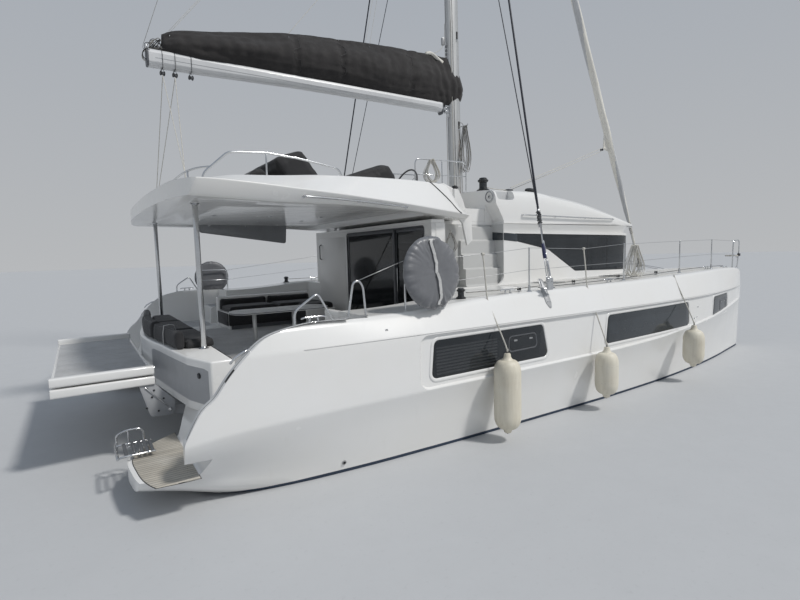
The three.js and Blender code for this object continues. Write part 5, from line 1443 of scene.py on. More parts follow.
def make_bridgedeck():
    side = fillet([(-6.54, .72), (4.20, .72), (4.42, 1.145), (4.42, 2.06), (3.251, 2.06), (3.251, 1.18), (-6.1, 1.18), (-6.115, .7996), (-6.54, .7996)], [.02, .10, .10, .05, .0, 0, .03, .03, .02], 5)
    body = prism(side, "y", -2.0, 2.0)
    wide = prism(fillet([(3.251, .95), (4.31, .95), (4.42, 1.16), (4.42, 2.06), (3.251, 2.06)], [0, .04, .08, .05, 0], 5), "y", -2.3, 2.3)
    body = boolean(body, [wide], "UNION")
    cuts = [rbox(3.47, 4.26, -1.18, 1.18, 1.70, 2.3, .08, bevel=0)]
    for _, s in SIDES:
        cuts += [rbox(3.56, 4.20, *lo_hi(s, 1.30, 1.90), 1.45, 2.3, .06, bevel=0), rbox(3.52, 4.24, *lo_hi(s, 1.26, 1.94), 2.015, 2.3, .07, bevel=0)]
    body = boolean(body, cuts)
    put("bridgedeck_shell", body, GEL, slot="gelcoat", deg=30, replaces=["bridgedeck"])
    for side_name, s in SIDES:
        # brackets of the lift under the aft edge
        br = fillet([(-5.66, .725), (-5.24, .725), (-5.405, .40), (-5.585, .40)], [0, 0, .06, .06], 6)
        eye = lathe_mesh([(.057, -.05), (.057, .05), (.3, .05), (.3, -.05), (.057, -.05)], (-5.5, s * 1.7625, .5), (0, 1, 0), 32)
        me = boolean(prism(br, "y", *lo_hi(s, 1.745, 1.78), .005), [prism([(-5.5 + .0575 * math.cos(a), .5 + .0575 * math.sin(a)) for a in [2 * math.pi * k / 32 for k in range(32)]], "y", *lo_hi(s, 1.7, 1.85))])
        put("lift_bracket_" + side_name, me, GREY, slot="grey_panel")
        put("lift_bracket_foot_" + side_name, rbox(-5.70, -5.20, *lo_hi(s, 1.70, 1.82), .712, .7205, .02, bevel=.004), GREY, slot="grey_panel")
        # foredeck hatch lids in their rebates
        lid = rbox(3.5265, 4.2335, *lo_hi(s, 1.2665, 1.9335), 2.0155, 2.0585, .065, bevel=.008)
        put("foredeck_lid_" + side_name, lid, GEL, body="foredeck_hatch_" + side_name + "_body", slot="gelcoat", replaces=["foredeck_hatch_" + side_name])
        put("foredeck_lid_tread_" + side_name, rbox(3.60, 4.16, *lo_hi(s, 1.34, 1.86), 2.057, 2.0595, .04, bevel=.001), NONSKID, body="foredeck_hatch_" + side_name + "_body")
        put("foredeck_latch_" + side_name, lathe_mesh([(0, 0), (.026, 0), (.026, .0006), (.018, .0010), (0, .0006)], (3.57, s * 1.60, 2.058), (0, 0, 1), 20), STEEL, body="foredeck_hatch_" + side_name + "_body", slot="stainless")
        # side decks
        zt = lambda x, y: HF[5](x)
        inner = lambda x: 2.44 if x < 3.2 else 2.30
        outer = lambda x: 3.0 + HF[4](x) - .17
        for k, (a, b) in enumerate(((-3.1, -1.75), (-1.15, .85), (1.05, 3.15), (3.4, 4.9))):
            inn = (lambda x: 2.50) if b < 3.3 else (lambda x: 2.62)
            if k == 0:
                inn = lambda x: 3.12
            put(f"side_deck_{side_name}_{k}", deck_grid(a, b, inn, outer, zt, s), NONSKID, slot="deck_tread")
        put(f"bow_deck_{side_name}", deck_grid(5.05, 6.45, lambda x: 3.0 - HF[6](x) * .62, lambda x: 3.0 + HF[4](x) * .62, zt, s, r=.04), NONSKID, slot="deck_tread")
        # deck hatch over each cabin
        for k, x in enumerate((1.9, -.2)):
            z = HF[5](x)
            put(f"cabin_hatch_frame_{side_name}_{k}", rbox(x - .25, x + .25, *lo_hi(s, 2.62, 3.12), z - .02, z + .016, .05, bevel=.006), ALLOY, slot="alloy")
            put(f"cabin_hatch_pane_{side_name}_{k}", rbox(x - .215, x + .215, *lo_hi(s, 2.655, 3.085), z + .010, z + .022, .035, bevel=.004), GLASS_HULL, slot="glass")
    # forward cockpit well and foredeck
    put("fore_tread", rbox(3.30, 3.45, -1.15, 1.15, 2.0595, 2.0625, .05, bevel=.001), NONSKID, slot="deck_tread")
    put("fore_well_floor", rbox(3.49, 4.24, -1.16, 1.16, 1.699, 1.7025, .06, bevel=.001), NONSKID, slot="deck_tread")
    put("fore_windlass_base", rbox(3.72, 4.02, -.16, .16, 1.70, 1.78, .05, bevel=.012), GEL)
    put("fore_windlass", lathe_mesh([(0, 0), (.075, 0), (.08, .02), (.055, .035), (.05, .075), (.085, .10), (.085, .125), (.06, .14), (.02, .145), (0, .145)], (3.87, 0, 1.775), (0, 0, 1), 32), CHROME)
    # cockpit floor: grey boards with dark joints
    boards = []
    for k in range(14):
        y = -1.96 + k * .2815
        boards.append(rbox(-6.05, -2.68, y + .004, y + .2775, 1.1805, 1.184, .006, bevel=.001, n=2))
    put("cockpit_boards", merge(boards), TREAD, slot="deck_tread")
    put("cockpit_boards_bed", rbox(-6.06, -2.67, -1.97, 1.99, 1.1795, 1.1815, .02, bevel=.0005), BLACK)


make_bridgedeck()


# ---------- stern platforms, steps and their trim ----------
def band_on_path(path, s, y0, y1, t=.003, dip=.002):
    """Strip laid on a curve in x and z, between two breadths."""
    P = [Vector((p[0], p[1])) for p in path]
    rings = []
    for i, p in enumerate(P):
        d = (P[min(i + 1, len(P) - 1)] - P[max(i - 1, 0)]).normalized()
        n = Vector((-d.y, d.x))
        lo, hi = p - n * dip, p + n * t
        rings.append([(lo.x, s * y0, lo.y), (hi.x, s * (y0 + .002), hi.y), (hi.x, s * (y1 - .002), hi.y), (lo.x, s * y1, lo.y)])
    return loft(rings)


def ring_tube(x, y, z, R, r, n=20):
    return tube_mesh([(x + R * math.cos(2 * math.pi * k / n), y + R * math.sin(2 * math.pi * k / n), z) for k in range(n)], r, 6, closed=True)


def make_stern():
    plan = [tuple(p)[:2] for p in spline([(p[0], p[1], 0) for p in STERN_PLAN], 0.06)]
    for side, s in SIDES:
        edge = [(x + .055, min(y, 3.80)) for x, y in plan if y < 3.78]
        outline = [(-6.72, 2.14)] + edge + [(-6.86, 3.80), (-6.72, 3.80)]
        outline = [(x, s * y) for x, y in outline]
        put("platform_planks_" + side, prism(outline, "z", .3995, .4065, .002), PLANK, slot="deck_tread")
        put("platform_joint_" + side, prism(offset(outline, -.008), "z", .3990, .4015, .0005), BLACK)
        wing_x = [(x, z) for x, z in [tuple(p)[:2] for p in spline([(p[0], p[1], 0) for p in WING + [(-5.0, 1.93)]], .05)] if x > -6.86]
        put("wing_band_" + side, band_on_path(wing_x, s, 3.868, 3.925), GREY_LIGHT, slot="grey_panel")
        put("wing_line_" + side, band_on_path(wing_x, s, 3.928, 3.936, .0022), BLACK)
        # treads with rounded corners, each on its step
        for k, (x0, x1, z, ya, yb) in enumerate(((-6.47, -6.14, .80, 2.12, 3.82), (-6.00, -5.12, 1.18, 3.46, 3.80), (-5.03, -4.72, 1.56, 3.10, 3.80))):
            put(f"step_tread_{side}_{k}", rbox(x0, x1, *lo_hi(s, ya, yb), z - .001, z + .0035, .04, bevel=.001), TREAD, slot="deck_tread")
        # riser lamps
        for k, (x, z) in enumerate(((-6.605, .60), (-6.098, .99))):
            put(f"step_lamp_{side}_{k}", lathe_mesh([(0, 0), (.022, 0), (.022, .003), (.014, .005), (0, .003)], (x - .004, s * 3.2, z), (-1, 0, .45 if k == 0 else .1), 20), STEEL, slot="stainless")
        # drain below the step, transom pad eye and a fairlead slot on the wing
        for nm, x, z, r in (("drain", -5.06, .14, .030), ("vent", 3.11, 1.18, .017), ("vent2", 3.25, 1.19, .017), ("vent3", 3.28, 1.41, .017), ("scupper", -4.5, 1.75, .02)):
            y = 3.0 + (HF[3](x) - (.04 if z > 1.1 and z < 1.6 else 0.0)) if z > .85 else None
            if y is None:
                a, b = (HF[3](x) - .06, HF[7](x) - .16), (HF[2](x), HF[1](x) + (HF[7](x) - HF[1](x)) * .42)
                t = (z - a[1]) / (b[1] - a[1])
                y = 3.0 + a[0] + (b[0] - a[0]) * max(0, min(1, t))
            if z > 1.65:
                y = 3.0 + HF[3](x) + (HF[4](x) - HF[3](x)) * (z - 1.65) / (HF[5](x) - 1.65)
            slope = .2 if z < .85 else 0.0
            put(f"skin_fitting_{nm}_{side}", lathe_mesh([(0, -.004), (r * .62, -.004), (r * .66, .002), (r, .001), (r * .98, .007), (r * .7, .010), (r * .6, .008), (r * .55, -.002), (0, -.002)], (x, s * (y - .003), z), (0, s, -slope), 24), STEEL_DULL if nm == "drain" else STEEL, slot="stainless")
            put(f"skin_hole_{nm}_{side}", lathe_mesh([(0, 0), (r * .56, 0), (r * .56, .0035), (0, .0035)], (x, s * (y - .003), z), (0, s, -slope), 20), DARK_HOLE)
        x = 3.03
        put("pad_eye_" + side, tube_mesh(bent([(x - .03, s * (3.0 + HF[3](x) - .02), .99), (x - .03, s * (3.0 + HF[3](x) + .018), .99), (x + .03, s * (3.0 + HF[3](x) + .018), .99), (x + .03, s * (3.0 + HF[3](x) - .02), .99)], .012), .005, 8), STEEL, slot="stainless", deg=60)
        # mooring cleats and fairleads
        for k, (x, y) in enumerate(((-5.42, 3.895), (-2.15, 3.72), (4.6, 3.42), (.35, 3.76))):
            z = 1.935 if x < -5 else HF[5](x) + .001
            cl = [tube_mesh(bent([(x - .15, s * y, z + .050), (x - .11, s * y, z + .062), (x + .11, s * y, z + .062), (x + .15, s * y, z + .050)], .05), .013, 10, flat=.010)]
            for d in (-.045, .045):
                cl.append(tube_mesh([(x + d * 1.25, s * y, z), (x + d, s * y, z + .058)], .012, 8))
            cl.append(rbox(x - .085, x + .085, s * y - .026, s * y + .026, z - .002, z + .007, .02, bevel=.002))
            put(f"cleat_{side}_{k}", merge(cl), CHROME, slot="stainless", deg=50)
        for k, (x, z) in enumerate(((-6.28, 1.625), (5.65, 2.148))):
            y = 3.90 if x < 0 else 3.0 + HF[4](x) - .05
            put(f"fairlead_{side}_{k}", tube_mesh([(x - .10, s * y, z - .035 if x < 0 else z + .006), (x - .05, s * (y + .01), z + .020 if x < 0 else z + .022), (x + .05, s * (y + .01), z + .075 if x < 0 else z + .022), (x + .10, s * y, z + .09 if x < 0 else z + .006)], .013, 10), CHROME, slot="stainless", deg=60)
        slot = [(-6.46, 1.40), (-6.36, 1.50)]
        put("wing_slot_" + side, band_on_path([(-6.455, 1.414), (-6.40, 1.488), (-6.36, 1.535)], s, 3.945, 3.985, .003, .001), DARK_HOLE)
        # rubbing strip at the foot of the side decks
        put("sheer_line_" + side, tube_mesh([(x, s * (3.0 + HF[3](x) + .0015), 1.652) for x in [-5.6 + .3 * i for i in range(42)]], .004, 6), GEL_LINER, deg=60)
        # engine hatch in the passage: framed tread plate with a ring pull
        body = f"engine_hatch_{side}_body"
        y0, y1 = s * 3.0 - .414, s * 3.0 + .414
        lid = boolean(rbox(-5.984, -5.116, y0, y1, 1.1355, 1.1785, .03, bevel=.004), [rbox(-5.93, -5.17, y0 + .054, y1 - .054, 1.11, 1.137, .03, bevel=.003)], "UNION")
        put("engine_lid_" + side, lid, GEL, body=body, slot="gelcoat", replaces=["engine_hatch_" + side])
        put("engine_lid_tread_" + side, rbox(-5.95, -5.15, y0 + .034, y1 - .034, 1.1780, 1.1792, .03, bevel=.0005), TREAD, body=body, slot="deck_tread")
        put("engine_lid_pull_" + side, merge([ring_tube(-5.22, s * 3.0, 1.1792, .020, .0016)]), STEEL, body=body, slot="stainless", deg=60)
        # engine: block, head, pulley cover, exhaust and coolant hoses
        parts = [rbox(-5.86, -5.26, s * 3 - .20, s * 3 + .20, .26, .56, .05, bevel=.03), rbox(-5.80, -5.32, s * 3 - .14, s * 3 + .14, .54, .70, .04, bevel=.02), rbox(-5.76, -5.36, s * 3 - .10, s * 3 + .10, .69, .80, .04, bevel=.03),
                 rbox(-5.895, -5.84, s * 3 - .18, s * 3 + .18, .30, .66, .05, bevel=.01), rbox(-5.72, -5.22, s * 3 - .25, s * 3 + .25, .19, .30, .03, bevel=.01), rbox(-5.30, -5.205, s * 3 - .12, s * 3 + .12, .24, .52, .05, bevel=.02)]
        parts.append(tube_mesh(bent([(-5.75, s * 3 + .13, .72), (-5.75, s * 3 + .20, .72), (-5.45, s * 3 + .20, .66), (-5.35, s * 3 + .20, .40)], .07), .035, 12))
        parts.append(lathe_mesh([(0, 0), (.05, 0), (.05, .11), (.035, .125), (0, .125)], (-5.55, s * 3 - .20, .36), (0, -1, .25), 20))
        put("engine_block_" + side, merge(parts), ENGINE, slot="engine_paint", replaces=["engine_" + side])


make_stern()


# ---------- parts under water ----------
def foil_ring(z, x0, x1, t, y, n=14):
    """Section of a keel or blade at one height, from leading to trailing edge."""
    pts = []
    for k in range(n + 1):
        u = (1 - math.cos(math.pi * k / n)) / 2
        h = 5 * (0.2969 * math.sqrt(u) - 0.1260 * u - 0.3516 * u * u + 0.2843 * u ** 3 - 0.1015 * u ** 4) / .5 * t
        pts.append((x0 - (x0 - x1) * u, max(h, .002)))
    ring = [(a, y + b, z) for a, b in pts] + [(a, y - b, z) for a, b in pts[::-1][1:-1]]
    return ring


def make_underwater():
    for side, s in SIDES:
        y = 3.0 * s
        k = [(-.45, 1.48, -2.02, .185), (-.7, 1.40, -1.96, .182), (-.9, 1.33, -1.90, .175), (-1.15, 1.24, -1.80, .165), (-1.32, 1.14, -1.71, .150), (-1.38, 1.08, -1.67, .12), (-1.398, .98, -1.6, .06)]
        put("keel_foil_" + side, loft([foil_ring(*r, y, 18) for r in k]), ANTIFOUL, slot="antifouling", replaces=["keel_" + side])
        body = f"rudder_{side}_body"
        b = [(-.172, -6.13, -6.69, .042), (-.5, -6.135, -6.685, .040), (-.8, -6.142, -6.67, .036), (-1.1, -6.165, -6.60, .03), (-1.21, -6.185, -6.55, .022), (-1.248, -6.23, -6.50, .010)]
        put("rudder_blade_" + side, merge([loft([foil_ring(*r, y, 16) for r in b]), lathe_mesh([(0, 0), (.041, 0), (.041, .285), (0, .285)], (-6.35, y, -.23), (0, 0, 1), 28)]), ANTIFOUL, body=body, slot="antifouling", replaces=["rudder_" + side])
        leg = [(-.24, -5.05, -5.43, .058), (-.4, -5.075, -5.40, .050), (-.56, -5.10, -5.38, .045), (-.72, -5.11, -5.36, .040), (-.88, -5.12, -5.34, .034)]
        gear = lathe_mesh([(0, -.230), (.030, -.229), (.051, -.224), (.062, -.18), (.070, -.12), (.075, -.04), (.076, 0), (.073, .06), (.062, .13), (.042, .168), (.02, .185), (0, .19)], (-5.23, y, -.8), (1, 0, 0), 32)
        skeg = loft([foil_ring(-.85, -5.17, -5.34, .014, y, 10), foil_ring(-.93, -5.20, -5.34, .011, y, 10), foil_ring(-.998, -5.24, -5.34, .006, y, 10)])
        put("saildrive_leg_" + side, merge([loft([foil_ring(*r, y, 14) for r in leg]), gear, skeg]), ANTIFOUL, slot="antifouling", replaces=["saildrive_" + side])
        body = f"propeller_{side}_body"
        px = -5.53
        parts = [lathe_mesh([(0, -.074), (.012, -.073), (.026, -.062), (.038, -.03), (.047, .01), (.0495, .035), (.0495, .060), (.046, .0635), (0, .0635)], (px, y, -.8), (1, 0, 0), 32)]
        for i in range(3):
            a = i / 3 * 2 * math.pi
            rings = []
            for r, c, p, t in ((.03, .09, 62, .016), (.07, .115, 54, .014), (.12, .15, 42, .010), (.16, .158, 36, .008), (.19, .150, 32, .007), (.22, .118, 29, .006), (.238, .085, 28, .005), (.2465, .045, 27, .003)):
                q = math.radians(p)
                ring = []
                for k in range(16):
                    v = 2 * math.pi * k / 16
                    u, w = math.cos(v) * c / 2, math.sin(v) * t / 2 * (1.0 + .2 * math.cos(v))
                    ax, tg = u * math.sin(q) + w * math.cos(q), u * math.cos(q) - w * math.sin(q)
                    ring.append((px + ax, y + r * math.cos(a) - tg * math.sin(a), -.8 + r * math.sin(a) + tg * math.cos(a)))
                rings.append(ring)
            parts.append(loft(rings))
        put("propeller_wheel_" + side, merge(parts), BRONZE, body=body, slot="bronze", replaces=["propeller_" + side])


make_underwater()


# ---------- aft bench, sofa frame, table, bulkhead and doors ----------
def make_cockpit():
    half = [tuple(p)[:2] for p in spline([(-6.835, 0, 0), (-6.80, .6, 0), (-6.72, 1.18, 0), (-6.63, 1.99, 0), (-6.565, 2.50, 0)], .1)]
    plan = [(x, -y) for x, y in half[1:][::-1]] + half
    left = fillet([(-6.06, -3.02), (-6.39, -3.02), (-6.54, -2.70)], [.02, .035, 0], 6)
    outline = left[:-1] + plan + [(a, -b) for a, b in left[:-1]][::-1]
    me = boolean(prism(outline, "z", .8004, 1.4596, .0, 3, bevel_a=0.0, bevel_b=.028), [rbox(-6.121, -5.9, -4, 4, .5, 1.1806, .001, bevel=0)])
    put("bench_moulding", me, GEL, slot="gelcoat", deg=32, replaces=["aft_bench"])
    # a grey panel on the aft face, port and starboard: painted shade of that face
    for side, s in SIDES:
        path = [p for p in half if .75 < p[1] < 2.45] + [(-6.565 + .175 * t, 2.50 + .52 * t) for t in (0.0, .12, .3, .5, .7, .88)]
        rings = []
        for i, (x, y) in enumerate(path):
            a, b = path[max(0, i - 1)], path[min(len(path) - 1, i + 1)]
            d = Vector((b[0] - a[0], b[1] - a[1])).normalized()
            n = Vector((-d.y, d.x))
            e = min(i, len(path) - 1 - i)
            c = .02 if e == 0 else 0.0
            q = lambda o: (x + n.x * o, s * (y + n.y * o))
            rings.append([(*q(-.004), .90 + c), (*q(.004), .905 + c), (*q(.004), 1.355 - c), (*q(-.004), 1.36 - c)])
        # painted shade: grey panel laid over the aft face
        put("bench_panel_" + side, loft(rings), GREY, slot="grey_panel")
        p = (-6.482, s * 2.761, 1.255)
        q = (-.948, s * .319, 0)
        put("bench_socket_" + side, lathe_mesh([(0, 0), (.036, 0), (.036, .008), (.028, .014), (.022, .010), (0, .010)], p, q, 24), BLACK)
        put("bench_socket_lid_" + side, lathe_mesh([(0, .0), (.020, 0), (.020, .014), (.014, .018), (0, .018)], (p[0] + q[0] * .004, p[1] + q[1] * .004, p[2]), q, 20), GREY_DARK)
        # roof posts with base flanges
        x, y = -6.26, s * 2.01
        put("roof_post_tube_" + side, merge([tube_mesh([(x, y, 1.4610), (x, y, 3.44)], .0365, 24), lathe_mesh([(0, 0), (.066, 0), (.066, .005), (.052, .009), (.040, .022), (.037, .030), (0, .030)], (x, y, 1.4606), (0, 0, 1), 32), lathe_mesh([(0, 0), (.060, 0), (.060, .005), (.042, .014), (0, .014)], (x, y, 3.437), (0, 0, -1), 32)]), STEEL, slot="stainless", deg=40, replaces=["roof_post_" + side])
        for k in range(4):
            a = k * math.pi / 2 + .785
            put(f"post_bolt_{side}_{k}", lathe_mesh([(0, 0), (.007, 0), (.006, .003), (0, .004)], (x + .056 * math.cos(a), y + .056 * math.sin(a), 1.466), (0, 0, 1), 12), STEEL_DULL)
    # sofa frame, port side
    frame_parts = [rbox(-5.05, -2.85, 1.50, 2.44, 1.1804, 1.5396, .05, bevel=.02, seg=3), rbox(-5.05, -2.85, 2.42, 2.62, 1.1804, 1.8296, .05, bevel=.035, seg=4), rbox(-3.55, -2.85, .90, 1.58, 1.1804, 1.5396, .05, bevel=.02, seg=3)]
    put("sofa_frame", merge(frame_parts), GEL, slot="gelcoat", replaces=["cockpit_sofa"])
    front = [rbox(-5.045, -3.565, 1.486, 1.501, 1.262, 1.530, .03, axis="y", bevel=.006), rbox(-3.566, -3.551, .93, 1.47, 1.262, 1.530, .03, axis="x", bevel=.006), rbox(-5.064, -5.049, 1.52, 2.40, 1.262, 1.530, .03, axis="x", bevel=.006)]
    put("sofa_front_panels", merge(front), SEAT, slot="upholstery")
    put("sofa_kick", merge([rbox(-5.0, -3.56, 1.494, 1.502, 1.185, 1.26, .01, bevel=.002), rbox(-3.557, -3.549, .96, 1.46, 1.185, 1.26, .003, bevel=.001)]), GREY_DARK)
    # table
    top = fillet([(-5.60, -.82), (-5.56, -1.01), (-5.42, -1.12), (-4.08, -1.15), (-3.92, -1.04), (-3.88, -.82), (-3.92, -.61), (-4.08, -.49), (-5.42, -.49), (-5.56, -.62)], .10, 6)
    legs = []
    for x, y in ((-5.19, -.82), (-4.49, -.82)):
        legs += [tube_mesh([(x, y, 1.183), (x, y, 1.765)], .034, 20, flat=.034), lathe_mesh([(0, 0), (.10, 0), (.10, .006), (.06, .014), (.040, .030), (0, .030)], (x, y, 1.1806), (0, 0, 1), 32), lathe_mesh([(0, 0), (.11, 0), (.11, .006), (.045, .024), (0, .024)], (x, y, 1.761), (0, 0, -1), 32)]
    put("table_top", prism(top, "z", 1.7605, 1.7995, .012, 3), GREY_LIGHT, slot="grey_panel", replaces=["cockpit_table"])
    put("table_legs", merge(legs), ALLOY, slot="alloy", deg=40)
    put("table_joint", rbox(-5.55, -3.93, -.822, -.818, 1.7985, 1.8001, .002, bevel=.0004), BLACK)
    put("table_edge", prism(offset(top, -.0015), "z", 1.772, 1.788, .004, 2), GREY_DARK)
    # starboard seat and console at the foot of the helm stair
    put("starboard_seat", merge([rbox(-4.60, -2.86, -3.035, -2.352, 1.1806, 1.60, .05, bevel=.025, seg=3), rbox(-4.60, -4.48, -3.035, -2.352, 1.58, 1.895, .04, bevel=.03, seg=3)]), GEL, slot="gelcoat")
    # bulkhead with its door opening
    T = fillet([(-2.2996, 1.1806), (2.2996, 1.1806), (2.2996, 2.045), (2.395, 2.045), (2.395, 3.1994), (-2.395, 3.1994), (-2.395, 2.045), (-2.2996, 2.045)], .004, 2)
    wall = boolean(prism(T, "x", BULK, BULK + .094), [rbox(BULK - .1, BULK + .2, -2.17, .72, 1.22, 3.15, .045, axis="x", bevel=0)])
    put("bulkhead_wall", wall, GEL_LINER, slot="gelcoat", replaces=["aft_bulkhead"])
    door_frame = fillet([(-2.17, 1.22), (.72, 1.22), (.72, 3.15), (-2.17, 3.15)], .045, 5)
    put("door_frame", loft([[(BULK + dx, y, z) for y, z in offset(door_frame, -a)] for a, dx in ((.022, .0), (.022, -.006), (.016, -.009), (.004, -.009), (0, -.004), (0, .03))], cap=False), GREY_DARK)
    # plain panel in the port part of the bulkhead, with its grip
    put("bulkhead_panel", prism(fillet([(.84, 1.30), (2.22, 1.30), (2.22, 3.10), (.84, 3.10)], .06, 5), "x", BULK - .004, BULK + .001, .002), GEL_LINER, slot="gelcoat")
    put("bulkhead_grip", tube_mesh(bent([(BULK - .001, 2.10, 2.96), (BULK - .05, 2.10, 2.94), (BULK - .05, 2.10, 2.62), (BULK - .001, 2.10, 2.60)], .025), .011, 10), BLACK, deg=60)
    # doors: stile frames round the glass
    for nm, body, x0, x1, y0, y1, z0, z1 in (("fixed", "boat", BULK + .010, BULK + .034, -1.20, .7196, 1.2204, 3.1496), ("sliding", "saloon_door_body", BULK + .048, BULK + .076, -2.164, -1.16, 1.226, 3.144)):
        o = fillet([(y0, z0), (y1, z0), (y1, z1), (y0, z1)], .02, 4)
        inner = offset(o, .055)
        fr = loft([[(x, y, z) for y, z in ring] for x, ring in ((x0, offset(o, .003)), (x0 + .003, o), (x1 - .003, o), (x1, offset(o, .003)), (x1, offset(inner, -.003)), (x1 - .004, inner), (x0 + .004, inner), (x0, offset(inner, -.003)))], cap=False, loop=True)
        put("door_stiles_" + nm, fr, GREY_DARK, body=body, replaces=["saloon_door_fixed" if nm == "fixed" else "saloon_door"])
        put("door_pane_" + nm, prism(offset(inner, -.006), "x", (x0 + x1) / 2 - .003, (x0 + x1) / 2 + .003, .001), GLASS_DOOR, body=body, slot="glass")
    x = BULK + .048
    put("door_handle", tube_mesh(bent([(x + .002, -1.235, 1.98), (x - .0105, -1.235, 1.98), (x - .0105, -1.235, 2.42), (x + .002, -1.235, 2.42)], .010), .007, 8), STEEL, body="saloon_door_body", slot="stainless", deg=60)
    put("door_track", rbox(BULK + .040, BULK + .084, -2.15, .70, 1.2195, 1.2235, .003, bevel=.001), STEEL_DULL)


make_cockpit()


# ---------- saloon ----------
def make_saloon():
    fl = []
    for k in range(20):
        y = -1.98 + k * .1985
        fl.append(rbox(-2.48, 3.22, y + .0015, y + .197, 1.1803, 1.1815, .004, bevel=.0004, n=1))
    put("saloon_boards", merge(fl), WOOD)
    counter = [rbox(-2.349, -1.705, -2.288, -1.455, 1.1806, 2.02, .03, bevel=.006), rbox(-1.90, -.205, -1.49, -.905, 1.1806, 2.02, .03, bevel=.006)]
    put("galley_cabinets", merge(counter), WOOD, slot="cabin_wood", replaces=["galley_unit"])
    put("galley_top", merge([rbox(-2.35, -1.70, -2.29, -1.45, 2.02, 2.0545, .03, bevel=.006), rbox(-1.90, -.20, -1.495, -.90, 2.02, 2.0545, .03, bevel=.006)]), GREY_LIGHT)
    lines = [rbox(-1.88 + k * .56, -1.36 + k * .56, -.9045, -.8995, 1.28, 1.96, .01, axis="y", bevel=.001) for k in range(3)]
    put("galley_fronts", merge(lines), GREY)
    put("saloon_table_top", rbox(.95, 2.0, -.30, .60, 1.8805, 1.9195, .10, bevel=.008), WOOD, slot="cabin_wood", replaces=["saloon_table"])
    put("saloon_table_leg", merge([tube_mesh([(1.48, .15, 1.19), (1.48, .15, 1.885)], .045, 20), lathe_mesh([(0, 0), (.078, 0), (.078, .008), (.05, .02), (0, .02)], (1.48, .15, 1.1812), (0, 0, 1), 28)]), STEEL)


make_saloon()


# ---------- lifting platform and its arms ----------
def make_lift():
    B = "lift_platform_body"
    qx, qz, Y = -6.72, .655, 1.835
    slats = []
    for k in range(8):
        y = -1.72 + k * .4315
        slats.append(rbox(-8.0, -6.92, y + .006, y + .4255, 1.188, 1.197, .012, bevel=.002, n=2))
    put("lift_deck_slats", merge(slats), TREAD, body=B, slot="deck_tread")
    put("lift_deck", boolean(rbox(-8.038, -6.885, -1.784, 1.784, 1.042, 1.1895, .04, bevel=.010), [rbox(-7.9, -7.0, -1.6, 1.6, .9, 1.12, .05, bevel=0)]), GEL, body=B, slot="gelcoat", replaces=["lift_platform"])
    for side, s in SIDES:
        beams, caps = [], []
        for z in (1.032, 1.168):
            beams.append(rbox(-8.036, -6.884, *lo_hi(s, 1.782, 1.898), z, z + .114, .022, axis="x", bevel=.004, n=4))
            caps.append(rbox(-6.890, -6.872, *lo_hi(s, 1.790, 1.890), z + .008, z + .106, .018, axis="x", bevel=.006, n=4))
            caps.append(rbox(-8.0395, -8.030, *lo_hi(s, 1.790, 1.890), z + .008, z + .106, .018, axis="x", bevel=.003, n=4))
        put("lift_beams_" + side, merge(beams), GEL, body=B, slot="gelcoat")
        put("lift_caps_" + side, merge(caps), CHROME, body=B, slot="stainless")
        lug = fillet([(-7.08, 1.045), (-6.89, 1.045), (-6.65, .775), (-6.65, .62), (-6.72, .578), (-6.96, .592)], [.02, .02, .05, .05, .05, .06], 5)
        plate = boolean(prism(lug, "y", *lo_hi(s, Y + .0085, Y + .0355), .004), [prism([(qx + .026 * math.cos(a), qz + .026 * math.sin(a)) for a in [2 * math.pi * k / 28 for k in range(28)]], "y", *lo_hi(s, 1.7, 2.0))])
        put("lift_lug_" + side, plate, GREY, body=B, slot="grey_panel")
        bolts = []
        for x, z in ((-6.98, .98), (-6.90, .95), (-7.00, .72), (-6.86, .66), (-6.79, .82), (-6.93, .86)):
            bolts.append(lathe_mesh([(0, 0), (.014, 0), (.013, .006), (.008, .009), (0, .009)], (x, s * (Y + .0355), z), (0, s, 0), 14))
        put("lift_bolts_" + side, merge(bolts), BLACK, body=B)
        # folded tie of the platform and a stay along the lug
        put("lift_tie_" + side, tube_mesh([(-7.00, s * (Y + .045), 1.00), (-6.74, s * (Y + .045), .70)], .007, 8), CHROME, body=B, slot="stainless", deg=60)
        A = "lift_arm_body"
        arm = fillet([(-5.43, .44), (-5.43, .545), (-5.5, .575), (-6.72, .703), (-6.768, .675), (-6.768, .615), (-6.66, .57), (-5.80, .39)], [.03, .03, .05, .03, .03, .03, .05, .10], 5)
        a_me = boolean(prism(arm, "y", *lo_hi(s, Y - .0445, Y - .0005), .006), [rbox(-6.42, -6.22, *lo_hi(s, 1.7, 2.0), .595, .64, .018, axis="y", bevel=0), rbox(-6.10, -5.90, *lo_hi(s, 1.7, 2.0), .565, .612, .018, axis="y", bevel=0)])
        put("lift_arm_plate_" + side, a_me, GREY, body=A, slot="grey_panel", replaces=["lift_arms"] if s < 0 else ())
        put("lift_pin_" + side, merge([tube_mesh([(qx, s * (Y - .03), qz), (qx, s * (Y + .043), qz)], .0195, 20), lathe_mesh([(0, 0), (.0, 0), (.024, 0), (.024, .006), (.018, .009), (0, .009)], (qx, s * (Y + .036), qz), (0, s, 0), 20)]), CHROME, body=A, slot="stainless")
        put("lift_ram_" + side, merge([tube_mesh([(-5.62, s * (Y - .075), .47), (-6.15, s * (Y - .075), .575)], .028, 16), tube_mesh([(-6.12, s * (Y - .075), .568), (-6.60, s * (Y - .075), .655)], .014, 12), tube_mesh([(-6.60, s * (Y - .045), .655), (-6.60, s * (Y - .095), .655)], .02, 12)]), STEEL, body=A, slot="stainless", deg=50)
    put("lift_shaft", tube_mesh([(-5.5, -1.83, .5), (-5.5, 1.83, .5)], .049, 28), GREY, body="lift_arm_body", slot="grey_panel")


make_lift()


